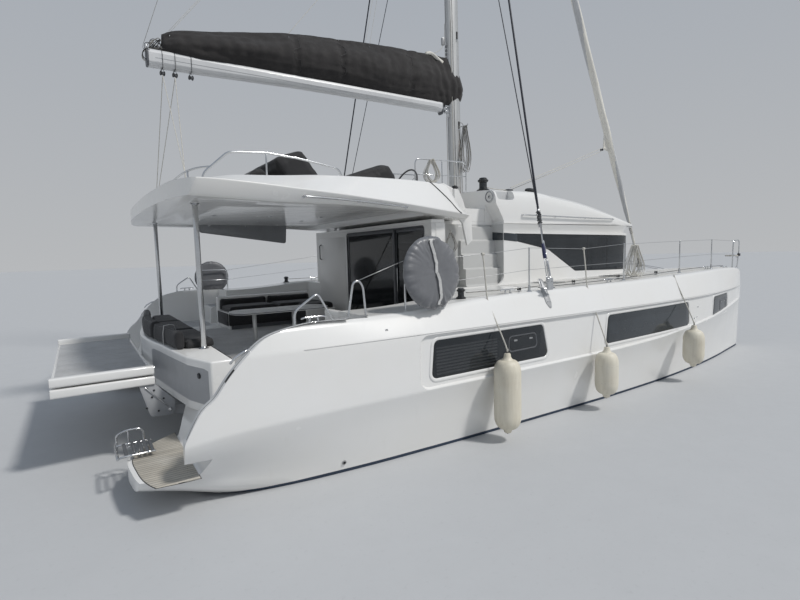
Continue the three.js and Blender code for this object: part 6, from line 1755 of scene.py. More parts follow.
# ---------- boarding ladder and the hoop over it ----------
def make_ladder():
    B = "ladder_body"
    x0, x1, y0, y1, z = -7.42, -7.03, -2.40, -2.84, .455
    parts = []
    for y in (y0, y1):
        parts.append(tube_mesh(bent([(x0, y, z + .003), (x0 + .06, y, z + .010), (x1, y, z + .010)], .02), .0125, 14))
    parts.append(tube_mesh([(x0, y1 - .024, z + .003), (x0, y0 + .024, z + .003)], .0165, 18))
    put("ladder_tubes", merge(parts), STEEL, body=B, slot="stainless", deg=50, replaces=["swim_ladder"])
    treads = [rbox(x - .019, x + .019, y1 + .004, y0 - .004, z + .0045, z + .0235, .008, axis="y", bevel=.003) for x in (-7.33, -7.24, -7.165, -7.11, -7.055)]
    put("ladder_treads", merge(treads), GREY_DARK, body=B)
    put("ladder_joints", merge([lathe_mesh([(0, -.012), (.0155, -.012), (.0165, -.006), (.0165, .006), (.0155, .012), (0, .012)], (x, y, z + .010), (1, 0, 0), 18) for y in (y0, y1) for x in (-7.28, -7.10)]), CHROME, body=B, slot="stainless")
    hoop = bent([(-7.40, -2.335, .40), (-7.40, -2.335, .575), (-7.30, -2.335, .615), (-7.14, -2.335, .615), (-7.10, -2.335, .57), (-7.10, -2.335, .40)], .045)
    put("ladder_hoop", merge([tube_mesh(hoop, .0125, 14)] + [lathe_mesh([(0, 0), (.030, 0), (.030, .004), (.016, .012), (0, .012)], (x, -2.335, .4063), (0, 0, 1), 24) for x in (-7.10, -7.27)] + [tube_mesh([(-7.27, -2.335, .40), (-7.27, -2.335, .61)], .009, 10)]), STEEL, slot="stainless", deg=50)


make_ladder()


# ---------- padded fabric ----------
from mathutils import noise as mnoise


def grid_ring(pts, k):
    return dense(pts, k)


def inflate(me, voxel=.030, pressure=4.0, frames=14, cap=.026, floor_z=None, floor_pin=True, levels=1, shrink=.0, fold=.0, fold_scale=5.0, seed=0.0, limit=None):
    """A cushion's mesh swollen by a cloth simulation, its travel capped, flat where it rests."""
    ob = bpy.data.objects.new("pad", me)
    SC.collection.objects.link(ob)
    rm = ob.modifiers.new("even", "REMESH")
    rm.mode, rm.voxel_size = "VOXEL", voxel
    dg = bpy.context.evaluated_depsgraph_get()
    base = bpy.data.meshes.new_from_object(ob.evaluated_get(dg))
    bpy.data.objects.remove(ob)
    rest = np.zeros(len(base.vertices) * 3)
    base.vertices.foreach_get("co", rest)
    rest = rest.reshape(-1, 3)
    out = rest.copy()
    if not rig.quick():
        SC.frame_start, SC.frame_end = 1, frames
        SC.frame_set(1)
        sim = bpy.data.objects.new("pad_sim", base.copy())
        SC.collection.objects.link(sim)
        if floor_z is not None and floor_pin:
            vg = sim.vertex_groups.new(name="rest")
            low = [i for i, p in enumerate(rest) if p[2] < floor_z + voxel * .7]
            vg.add(low, 1.0, "REPLACE")
        c = sim.modifiers.new("cloth", "CLOTH")
        st = c.settings
        st.quality = 4
        st.mass = .35
        st.tension_stiffness = st.compression_stiffness = 12
        st.bending_stiffness = 1.2
        st.use_pressure = True
        st.uniform_pressure_force = pressure
        st.effector_weights.gravity = 0
        if floor_z is not None and floor_pin:
            st.vertex_group_mass = "rest"
        c.point_cache.frame_start, c.point_cache.frame_end = 1, frames
        for f in range(1, frames + 1):
            SC.frame_set(f)
            bpy.context.evaluated_depsgraph_get()
        got = bpy.data.meshes.new_from_object(sim.evaluated_get(bpy.context.evaluated_depsgraph_get()))
        q = np.zeros(len(got.vertices) * 3)
        got.vertices.foreach_get("co", q)
        q = q.reshape(-1, 3)
        bpy.data.objects.remove(sim)
        if q.shape == rest.shape and np.isfinite(q).all():
            d = q - rest
            L = np.linalg.norm(d, axis=1)
            k = np.where(L > cap, cap / np.maximum(L, 1e-9), 1.0)
            out = rest + d * k[:, None]
        SC.frame_set(1)
    if fold:
        for i, p in enumerate(out):
            v = Vector((p[0] * fold_scale, p[1] * fold_scale, p[2] * fold_scale + seed))
            n = mnoise.noise_vector(v) + .5 * mnoise.noise_vector(v * 2.3)
            out[i] = p + np.array(n) * fold
    if floor_z is not None:
        out[:, 2] = np.maximum(out[:, 2], floor_z)
    if limit is not None:
        out = np.minimum(np.maximum(out, np.array(limit[0])), np.array(limit[1]))
    base.vertices.foreach_set("co", out.ravel())
    base.update()
    return subdivided(base, levels) if levels else base


def seam(name, pts, r=.0045, mat=None, body="boat", closed=True, n=6):
    return put(name, tube_mesh(pts, r, n, closed=closed), mat or PIPING, body, deg=60)


def snap_to(me, pts, lift=0.0, axis=None):
    """Points moved onto the nearest place of a mesh."""
    from mathutils.bvhtree import BVHTree
    bm = bmesh.new()
    bm.from_mesh(me)
    tree = BVHTree.FromBMesh(bm)
    bm.free()
    out = []
    for p in pts:
        if axis is not None:
            hit = tree.ray_cast(Vector(p) - Vector(axis) * 1.0, Vector(axis))
            if hit[0] is not None:
                out.append(hit[0] + hit[1] * lift)
                continue
        hit = tree.find_nearest(Vector(p))
        out.append(hit[0] + (hit[1] * lift if hit[1] else Vector()))
    return out


def cushion(name, me, rest_z, limit, slot="upholstery", mat=None, fill=.8, replaces=(), piping=None, channels=(), voxel=.030, cap=.024, fold=.0035, pressure=4.0):
    out = inflate(me, voxel=voxel, floor_z=rest_z, limit=limit, cap=cap, fold=fold, seed=R.random() * 40, pressure=pressure)
    ob = put(name, out, mat or SEAT, slot=slot, deg=60, replaces=replaces)
    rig.padded(ob, fill)
    k = 0
    for pts, closed in (piping or []):
        p = snap_to(out, pts, -.0012)
        p = [q for i, q in enumerate(p) if i == 0 or (q - p[i - 1]).length > .004]
        seam(f"{name}_piping_{k}", p, .0042, closed=closed)
        k += 1
    for k, pts in enumerate(channels):
        p = snap_to(out, pts, -.0015)
        p = [q for i, q in enumerate(p) if i == 0 or (q - p[i - 1]).length > .004]
        seam(f"{name}_stitch_{k}", p, .0026, closed=False)
    return ob


def loop_at(outline, z, step=.05):
    return [(x, y, z) for x, y in dense(outline, step)]


def lim(x0, x1, y0, y1, z0, z1, g=.0):
    return ((x0 - g, min(y0, y1) - g, z0), (x1 + g, max(y0, y1) + g, z1 + g))


def make_cushions():
    # aft bench: three backs and three seats that follow the curved edge
    def edge(y, t):
        """x of the cushion plan at breadth y; t 0 at the back edge."""
        y = abs(y)
        backe = pchip([0, .6, 1.18, 1.93], [-6.79, -6.75, -6.67, -6.59])
        mid = pchip([0, 1.18, 1.93], [-6.64, -6.55, -6.47])
        return backe(y) if t == 0 else mid(y)

    for k, (ya, yb, top) in enumerate(((-1.925, -.665, 1.735), (-.645, .645, 1.755), (.665, 1.925, 1.735))):
        ys = [ya + .012 + (yb - ya - .024) * i / 9 for i in range(10)]
        o = [(edge(y, 0) + .010, y) for y in ys] + [(edge(y, 1) - .014, y) for y in ys[::-1]]
        o = fillet(o, [.03 if i in (0, 9, 10, 19) else 0 for i in range(20)], 3)
        me = prism(o, "z", 1.462, top - .012, .02, 3, bevel_a=.006, bevel_b=.035)
        cushion(f"bench_back_{k}", me, 1.4612, lim(-6.795, -6.46, ya, yb, 1.4612, top), replaces=["bench_cushions"] if k == 1 else (), piping=[(loop_at(offset(o, .012), top - .03), True)], voxel=.026, cap=.018)
        o2 = [(edge(y, 1) + .008, y) for y in ys] + [(-6.092, yb - .012), (-6.092, ya + .012)]
        o2 = fillet(o2, [.03 if i in (0, 9, 10, 11) else 0 for i in range(12)], 3)
        me = prism(o2, "z", 1.462, 1.568, .02, 3, bevel_a=.006, bevel_b=.022)
        cushion(f"bench_seat_{k}", me, 1.4612, lim(-6.66, -6.078, ya, yb, 1.4612, 1.592), piping=[(loop_at(offset(o2, .010), 1.553), True)], voxel=.026, cap=.016)
    # a strap over the middle of the starboard back
    put("bench_strap", tube_mesh([(-6.47, -1.30, 1.47), (-6.485, -1.30, 1.63), (-6.52, -1.30, 1.738), (-6.58, -1.30, 1.750), (-6.655, -1.30, 1.740), (-6.672, -1.30, 1.63), (-6.675, -1.30, 1.47)], .02, 8, flat=.003), WEBBING, deg=60)
    # sofa
    for k, (xa, xb) in enumerate(((-5.03, -3.955), (-3.945, -2.87))):
        o = fillet([(xa + .01, 1.51), (xb - .01, 1.51), (xb - .01, 2.262), (xa + .01, 2.262)], .045, 4)
        me = prism(o, "z", 1.542, 1.646, .02, 3, bevel_a=.006, bevel_b=.024)
        cushion(f"sofa_seat_{k}", me, 1.5412, lim(xa, xb, 1.498, 2.272, 1.5412, 1.672), replaces=["sofa_cushions"] if k == 0 else (), piping=[(loop_at(offset(o, .010), 1.630), True)], voxel=.026, cap=.018)
        o = fillet([(xa + .01, 2.282), (xb - .01, 2.282), (xb - .01, 2.408), (xa + .01, 2.408)], .035, 4)
        me = prism(o, "z", 1.545, 1.795, .02, 3, bevel_a=.012, bevel_b=.035)
        cushion(f"sofa_back_{k}", me, 1.5412, lim(xa, xb, 2.262, 2.418, 1.5412, 1.812), piping=[(loop_at(offset(o, .012), 1.778), True)], voxel=.026, cap=.016)
    o = fillet([(-3.52, .91), (-2.88, .91), (-2.88, 1.485), (-3.52, 1.485)], .045, 4)
    cushion("sofa_chaise", prism(o, "z", 1.542, 1.646, .02, 3, bevel_a=.006, bevel_b=.024), 1.5412, lim(-3.53, -2.87, .90, 1.495, 1.5412, 1.672), piping=[(loop_at(offset(o, .010), 1.630), True)], voxel=.026, cap=.018)
    # starboard seat pad
    o = fillet([(-4.45, -3.00), (-2.90, -3.00), (-2.90, -2.39), (-4.45, -2.39)], .045, 4)
    cushion("starboard_pad", prism(o, "z", 1.602, 1.648, .02, 3, bevel_a=.006, bevel_b=.018), 1.6005, lim(-4.47, -2.88, -3.02, -2.37, 1.6005, 1.668), mat=SEAT_LIGHT, piping=[(loop_at(offset(o, .010), 1.640), True)], voxel=.024, cap=.012)
    # sun bed on the flybridge: moulded base, mattress, a back that leans aft over it and a head roll
    put("sunbed_base", rbox(-5.20, -4.00, -1.02, 1.02, 3.5005, 3.868, .06, bevel=.03), GEL, slot="gelcoat")
    for k, (ya, yb) in enumerate(((-1.045, -.006), (.006, 1.045))):
        o = fillet([(-5.225, ya), (-3.995, ya), (-3.995, yb), (-5.225, yb)], .06, 4)
        cushion(f"sunbed_{k}", prism(offset(o, .008), "z", 3.872, 3.995, .03, 3, bevel_a=.012, bevel_b=.03), 3.8705, lim(-5.238, -3.982, ya, yb, 3.8705, 4.02), replaces=["flybridge_sunpad"] if k == 0 else (), piping=[(loop_at(offset(o, .018), 3.985), True)], voxel=.034, cap=.018)
        out = [(-4.585, 4.018), (-4.000, 4.018), (-3.998, 4.105), (-4.198, 4.392), (-4.298, 4.490), (-4.352, 4.490), (-4.800, 4.312), (-4.738, 4.232), (-4.612, 4.072)]
        o = fillet(out, [.02, .02, .05, .06, .03, .03, .035, .04, .05], 4)
        rim = [[(x, y, z) for x, z in dense(offset(o, .010), .06)] for y in (ya + .030, yb - .030)]
        cushion(f"sunbed_back_{k}", prism(o, "y", ya + .010, yb - .010, .028, 3), 4.0165, lim(-4.825, -3.982, ya, yb, 4.0165, 4.505), piping=[(rim[0], True), (rim[1], True)], voxel=.030, cap=.016, fill=.75)
    out = [(-4.915, 4.018), (-4.912, 4.070), (-5.010, 4.155), (-5.110, 4.118), (-5.225, 4.035), (-5.225, 4.018)]
    o = fillet(out, [.01, .02, .05, .05, .02, .01], 4)
    cushion("sunbed_roll", prism(o, "y", -1.03, 1.03, .025, 3), 4.0165, lim(-5.238, -4.900, -1.045, 1.045, 4.0165, 4.165), piping=[([(x, -1.005, z) for x, z in dense(offset(o, .008), .05)], True), ([(x, 1.005, z) for x, z in dense(offset(o, .008), .05)], True)], voxel=.030, cap=.008)
    # helm seat: moulded box with one wedge cushion
    put("helm_seat_box", rbox(-3.64, -2.70, -1.47, -.43, 3.5005, 3.79, .05, bevel=.02), GEL, slot="gelcoat")
    out = [(-3.655, 3.794), (-2.675, 3.794), (-2.672, 4.080), (-2.806, 4.286), (-2.962, 4.276), (-3.655, 4.040)]
    o = fillet(out, [.03, .03, .04, .05, .05, .03], 4)
    cushion("helm_wedge", prism(o, "y", -1.488, -.412, .035, 3), 3.7925, lim(-3.668, -2.662, -1.5, -.4, 3.7925, 4.299), replaces=["helm_seat"], piping=[([(x, -1.460, z) for x, z in dense(offset(o, .010), .05)], True), ([(x, -.440, z) for x, z in dense(offset(o, .010), .05)], True)], voxel=.030, cap=.016, fill=.8)
    # saloon dinette
    for k, (x0, x1, y0, y1, z0, z1) in enumerate(((.61, 1.60, .71, 1.74, 1.46, 1.615), (1.62, 2.69, .71, 1.74, 1.46, 1.615), (2.41, 2.99, -1.49, -.31, 1.46, 1.615), (2.41, 2.99, -.29, .69, 1.46, 1.615))):
        o = fillet([(x0, y0), (x1, y0), (x1, y1), (x0, y1)], .05, 3)
        cushion(f"dinette_seat_{k}", prism(o, "z", z0 + .002, z1 - .012, .02, 3, bevel_a=.006, bevel_b=.022), z0, lim(x0 - .005, x1 + .005, y0 - .005, y1 + .005, z0, z1 + .004), mat=SEAT_LIGHT, replaces=["saloon_dinette"] if k == 0 else (), voxel=.04, cap=.016)
    put("dinette_base", merge([rbox(.60, 2.70, .70, 1.90, 1.1806, 1.459, .03, bevel=.01), rbox(2.40, 3.0, -1.50, .70, 1.1806, 1.459, .03, bevel=.01)]), WOOD, slot="cabin_wood")
    o = fillet([(.61, 1.76), (2.69, 1.76), (2.69, 1.895), (.61, 1.895)], .03, 3)
    cushion("dinette_back", prism(o, "z", 1.47, 2.135, .02, 3, bevel_a=.01, bevel_b=.035), 1.462, lim(.60, 2.70, 1.75, 1.90, 1.462, 2.15), mat=SEAT_LIGHT, voxel=.035, cap=.012)


SEAT_LIGHT = cloth("upholstery_grey", (0.30, 0.30, 0.295), 0.75, pitch=0.002, fold=0.003, fold_scale=5, sheen=0.2)
make_cushions()


# ---------- covered rescue packs on the guard rail ----------
def make_packs():
    for side, s in SIDES:
        # the port one is smaller and hangs further aft
        c = Vector((-4.80, 4.00, 2.23)) if s > 0 else Vector((-3.74, -3.93, 2.43))
        size = .84 if s > 0 else 1.0
        axis = Vector((.1, s, .08)).normalized()
        u = Vector((0, 0, 1)).cross(axis).normalized()
        v = axis.cross(u).normalized()
        if v.z < 0:
            v, u = -v, -u
        ang_strap = math.radians(97)
        rings = []
        prof = [(0.0, .082), (.06, .083), (.12, .084), (.18, .0845), (.24, .084), (.30, .083), (.35, .080), (.395, .073), (.43, .060), (.458, .042), (.476, .020), (.482, 0.0), (.476, -.018), (.458, -.036), (.43, -.050), (.395, -.060), (.35, -.066), (.30, -.069), (.24, -.072), (.18, -.074), (.12, -.075), (.06, -.0755), (0, -.076)]
        N = 168
        for j, (r, h) in enumerate(prof):
            ring = []
            for i in range(N):
                a = 2 * math.pi * i / N
                ca, sa = math.cos(a), math.sin(a)
                # gathers that spread from the strap's ends and from the drawn rim
                rr = r
                hh = h
                if 0.02 < r:
                    rim = smooth((r - .26) / .20)
                    g = mnoise.noise(Vector((ca * 9.0, sa * 9.0, 3.1 * s + r * 1.2)))
                    g2 = mnoise.noise(Vector((ca * 19.0, sa * 19.0, 7.7 + r * 2.0)))
                    x, y = r * ca, r * sa
                    d = abs(x * math.cos(ang_strap - math.pi / 2) + y * math.sin(ang_strap - math.pi / 2))
                    along = x * math.cos(ang_strap) + y * math.sin(ang_strap)
                    fan = 0.0
                    for end in (-.45, .45):
                        ex, ey = end * math.cos(ang_strap), end * math.sin(ang_strap)
                        dx, dy = x - ex, y - ey
                        dist = math.hypot(dx, dy) + 1e-6
                        th = math.atan2(dy, dx)
                        fan += math.sin(th * 17 + 5 * mnoise.noise(Vector((th * 2.2, end * 9, s * 2.0)))) * math.exp(-dist / .26) * smooth(dist / .05)
                    cross = mnoise.noise(Vector((along * 15, d * 5, s * 4.0))) * math.exp(-d / .15) * smooth(d / .03)
                    soft = mnoise.noise(Vector((x * 4.2, y * 4.2, 1.7 * s)))
                    pull = -.016 * math.exp(-(d / .030) ** 2)
                    amp = (.014 * rim * g + .008 * rim * g2 + .017 * fan + .021 * cross + .008 * soft + pull - .007) * smooth(r / .06)
                    hh = h + (amp if h > -.02 else amp * .4)
                    if .42 < r:
                        rr = r * (1 + .014 * g + .009 * g2)
                    hh = max(-.0775, min(.0875, hh))
                    rr = min(rr, .488)
                rr = rr * size
                ring.append(tuple(c + u * (rr * ca) + v * (rr * sa) + axis * hh))
            rings.append(ring)
        me = clean(*skin(rings, cap=True), weld=1e-4)
        ob = put("rescue_cover_" + side, me, PACK, slot="pack_cover", deg=80, replaces=["rescue_pack_" + side])
        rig.padded(ob, .85)
        # silver strap across the face
        pts = []
        for k in range(29):
            t = -1 + 2 * k / 28
            p = c + (v * math.sin(ang_strap) + u * math.cos(ang_strap)) * (.474 * t * size)
            pts.append(p + axis * (.078 * math.sqrt(max(0, 1 - (abs(t)) ** 7)) - .006))
        hit = snap_to(me, [tuple(p + axis * .1) for p in pts], .0035)
        w = (u * math.sin(ang_strap) - v * math.cos(ang_strap)).normalized()
        rings = []
        for i, p in enumerate(hit):
            wob = .0015 * math.sin(i * 2.2)
            face = [tuple(p + w * (.0245 * (q / 6 - 1)) + axis * ((.0022 if q % 2 == 0 else .0048) + wob)) for q in range(13)]
            rings.append([tuple(p - w * .0245 + axis * -.001)] + face + [tuple(p + w * .0245 - axis * .001)])
        put("rescue_strap_" + side, loft(rings), WEBBING, deg=60)
        # shock cord that draws the rim together, in and out of its eyelets
        cord = []
        for i in range(0, 96):
            a = 2 * math.pi * i / 96
            wob = .010 * math.sin(i * math.pi / 2)
            cord.append(c + u * (.470 * size * math.cos(a)) + v * (.470 * size * math.sin(a)) + axis * (-.034 + wob))
        put("rescue_lacing_" + side, tube_mesh(cord, .0035, 6, closed=True), ROPE_DARK, deg=60)
        # two cords that tie it down to the rail
        for k, dx in enumerate((-.09, .12)):
            a = c + u * dx * s * -1 - v * .455 * size + axis * .03
            yr, zr = (3.855, 1.905) if s > 0 else (3.785, 1.99)
            b = Vector((a.x + (.05 if k else -.05), s * (yr + .015), zr + .03 if s < 0 else zr + .01))
            mid = (a + b) / 2 + Vector((0, s * .03, -.02 if s < 0 else .01))
            put(f"rescue_tie_{side}_{k}", tube_mesh(spline([a, mid, b, (b.x + .02, s * yr, zr)], .03), .004, 8), ROPE_DARK, deg=60)
        # steel hooks behind
        for k, dx in enumerate((-.25, .25)):
            x = c.x + dx * size
            y, z = (3.855, 2.410) if s > 0 else (3.78, 2.61)
            put(f"rescue_hook_{side}_{k}", tube_mesh(bent([(x, s * (y - .005), z + .02), (x, s * (y - .015), z - .01), (x, s * (y + .02), z - .025), (x, s * (y + .08), z - .01)], .02), .006, 8), STEEL, slot="stainless", deg=60)


make_packs()


# ---------- nets between the bows ----------
def net_sheet(name):
    m = Mat(name, (0.64, 0.64, 0.62), 0.8)
    x, y, _ = m.separate(m.mapping((1 / .030, 1 / .030, 1 / .030)))
    ax = m.math("ABSOLUTE", m.math("SUBTRACT", m.math("FRACT", x), 0.5))
    ay = m.math("ABSOLUTE", m.math("SUBTRACT", m.math("FRACT", y), 0.5))
    solid = m.math("GREATER_THAN", m.math("MAXIMUM", ax, ay), 0.36)
    m.colour(m.mix(m.noise(9, 4), (0.66, 0.66, 0.64), (0.50, 0.50, 0.47)))
    m.link(solid, m.b.inputs["Alpha"])
    m.bump(m.math("MAXIMUM", ax, ay), 0.002, 0.6)
    return m.m


def make_nets():
    mat = net_sheet("trampoline_net")
    for side, s in SIDES:
        o = [(4.48, .19), (6.56, .19), (6.56, 2.69), (5.9, 2.47), (5.2, 2.29), (4.48, 2.11)]
        x0, x1 = 4.49, 6.55
        outer = pchip([4.48, 5.2, 5.9, 6.56], [2.105, 2.285, 2.465, 2.685])
        nx, ny = 26, 28
        verts, faces = [], []
        for i in range(nx + 1):
            x = x0 + (x1 - x0) * i / nx
            for j in range(ny + 1):
                y = .195 + (outer(x) - .195) * j / ny
                e = min(i, nx - i) / nx, min(j, ny - j) / ny
                sag = .008 * min(1, e[0] * 6) * min(1, e[1] * 6)
                verts.append((x, s * y, 1.944 - sag))
        for i in range(nx):
            for j in range(ny):
                a = i * (ny + 1) + j
                f = (a, a + ny + 1, a + ny + 2, a + 1)
                faces.append(f if s > 0 else f[::-1])
        me = bpy.data.meshes.new("net")
        me.from_pydata(verts, [], faces)
        net = put("trampoline_net_" + side, me, mat, slot="netting", replaces=["trampoline_" + side])
        rim = [(x0, .195)] + [(x1, .195)] + [(x1 - (x1 - x0) * k / 8, outer(x1 - (x1 - x0) * k / 8)) for k in range(9)]
        hem = put("trampoline_hem_" + side, tube_mesh([(x, s * y, 1.940) for x, y in dense(offset(rim, .012), .12)], .012, 8, closed=True, flat=.0045), WEBBING, deg=60)
        lace = []
        path = [Vector((x, s * y, 1.940)) for x, y in dense(rim, .09)]
        for i in range(len(path)):
            lace.append(path[i] + Vector((0, 0, .0035 * (1 if i % 2 else -1))))
        lacing = put("trampoline_lacing_" + side, tube_mesh(lace, .003, 6, closed=True), ROPE, deg=60)
        area = sum(p.area for p in me.polygons)
        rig.sheet(net, flat=(2.49, 2.06), held="stretched", rests_on=["crossbeam", "longeron", "hull_shell_" + side], area=round(area, 3), with_pieces=[hem, lacing])


make_nets()


# ---------- mast ----------
def mast_x(z):
    return -.05 - .012 * (z - 3.9)


MAST_RING = [(1, 0), (.95, .34), (.82, .62), (.60, .84), (.35, .97), (0, 1.0), (-.35, .97), (-.62, .88), (-.85, .72), (-.965, .50), (-1, .25), (-1, 0), (-1, -.25), (-.965, -.50), (-.85, -.72), (-.62, -.88), (-.35, -.97), (0, -1.0), (.35, -.97), (.60, -.84), (.82, -.62), (.95, -.34)]


def rope_run(name, pts, r=.006, mat=None, body="boat", step=.25, slot=None):
    return put(name, tube_mesh(spline(pts, step), r, 8), mat or ROPE, body, slot, deg=60)


def block(name, p, d, size=.05, body="boat", mat=None, axis=(0, 1, 0), n=1):
    """Pulley block: two cheeks, sheave and strap; p its centre, d the way it hangs."""
    p, d, ax = Vector(p), Vector(d).normalized(), Vector(axis).normalized()
    parts = []
    w = size * .26 * n
    for sgn in (-1, 1):
        prof = [(0, 0), (size * .40, 0), (size * .46, size * .05), (size * .40, size * .10), (0, size * .11)]
        parts.append(lathe_mesh(prof, p + ax * (sgn * w), ax * sgn, 20))
    put(name + "_cheeks", merge(parts), mat or BLACK, body)
    put(name + "_sheave", lathe_mesh([(0, -w * .8), (size * .38, -w * .8), (size * .28, 0), (size * .38, w * .8), (0, w * .8)], p, ax, 20), GREY_DARK, body)
    a = p - d * size * .75
    put(name + "_shackle", tube_mesh(bent([p + ax * w * .9, a + ax * w * .9, a - ax * w * .9, p - ax * w * .9], size * .16), size * .07, 8), STEEL, body, deg=60)


def winch(name, p, k=1.0, body="boat", drum=None):
    prof = [(0, 0), (.075, 0), (.076, .012), (.064, .020), (.050, .030), (.044, .050), (.043, .080), (.047, .100), (.060, .112), (.064, .120), (.062, .130), (.048, .138), (.045, .150), (.020, .152), (.018, .142), (0, .142)]
    put(name, lathe_mesh([(r * k, h * k) for r, h in prof], p, (0, 0, 1), 36), drum or BLACK, body)
    p = Vector(p)
    ribs = [tube_mesh([p + Vector((.0435 * k * math.cos(a), .0435 * k * math.sin(a), .045 * k)), p + Vector((.0435 * k * math.cos(a), .0435 * k * math.sin(a), .095 * k))], .0022 * k, 6) for a in [2 * math.pi * i / 22 for i in range(22)]]
    put(name + "_ribs", merge(ribs), GREY_DARK, body)
    put(name + "_cap", lathe_mesh([(0, .1505 * k), (.040 * k, .1505 * k), (.042 * k, .154 * k), (.034 * k, .158 * k), (.014 * k, .158 * k), (.013 * k, .154 * k), (0, .154 * k)], p, (0, 0, 1), 28), STEEL, body)


def hank(name, lead, hang, u, n, w, h, turns, dia, mat, body="boat", seed=1, stiffness="medium"):
    """Coiled line hung up by its loops: lead brings it there, u is the loop's width, n the way that turns stack."""
    hang, u, n = Vector(hang), Vector(u).normalized(), Vector(n).normalized()
    per = 26
    total = int(turns * per)
    pitch = dia * 1.28
    pts = []
    for i in range(total + 1):
        a = math.pi / 2 + 2 * math.pi * i / per
        k = i / per
        c, sn = math.cos(a), math.sin(a)
        # a drooping loop: narrow at the top, wide and round below
        lay = (k - turns / 2) * pitch
        spread = 1 + .75 * smooth((-sn + 1) / 2)
        wide = w / 2 * (.32 + .68 * smooth((1 - sn) / 1.6))
        hh = h * (1 + .035 * math.sin(k * 2.6 + seed))
        z = -hh / 2 + hh / 2 * sn
        sway = .006 * math.sin(k * 1.7 + seed)
        pts.append(hang + u * (c * wide + sway) + Vector((0, 0, z)) + n * lay * spread)
    pts = spline([*[Vector(p) for p in lead], pts[0]], .03)[:-1] + pts
    pts.append(pts[-1] + Vector((0, 0, -.05)) + n * pitch * .6 + u * .012)
    pts.append(pts[-1] + Vector((0, 0, -.08)) + n * pitch * .5)
    L = sum((b - a).length for a, b in zip(pts, pts[1:]))
    ob = put(name, tube_mesh(pts, dia / 2, 8), mat, body, deg=60)
    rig.cord(ob, exit=tuple(pts[0]), length=round(L, 3), diameter=dia, far_end="bare", stiffness=stiffness, lay="coiled", path=[tuple(p) for p in pts])
    print(f"cord {name}: {L:.2f} m")
    return ob


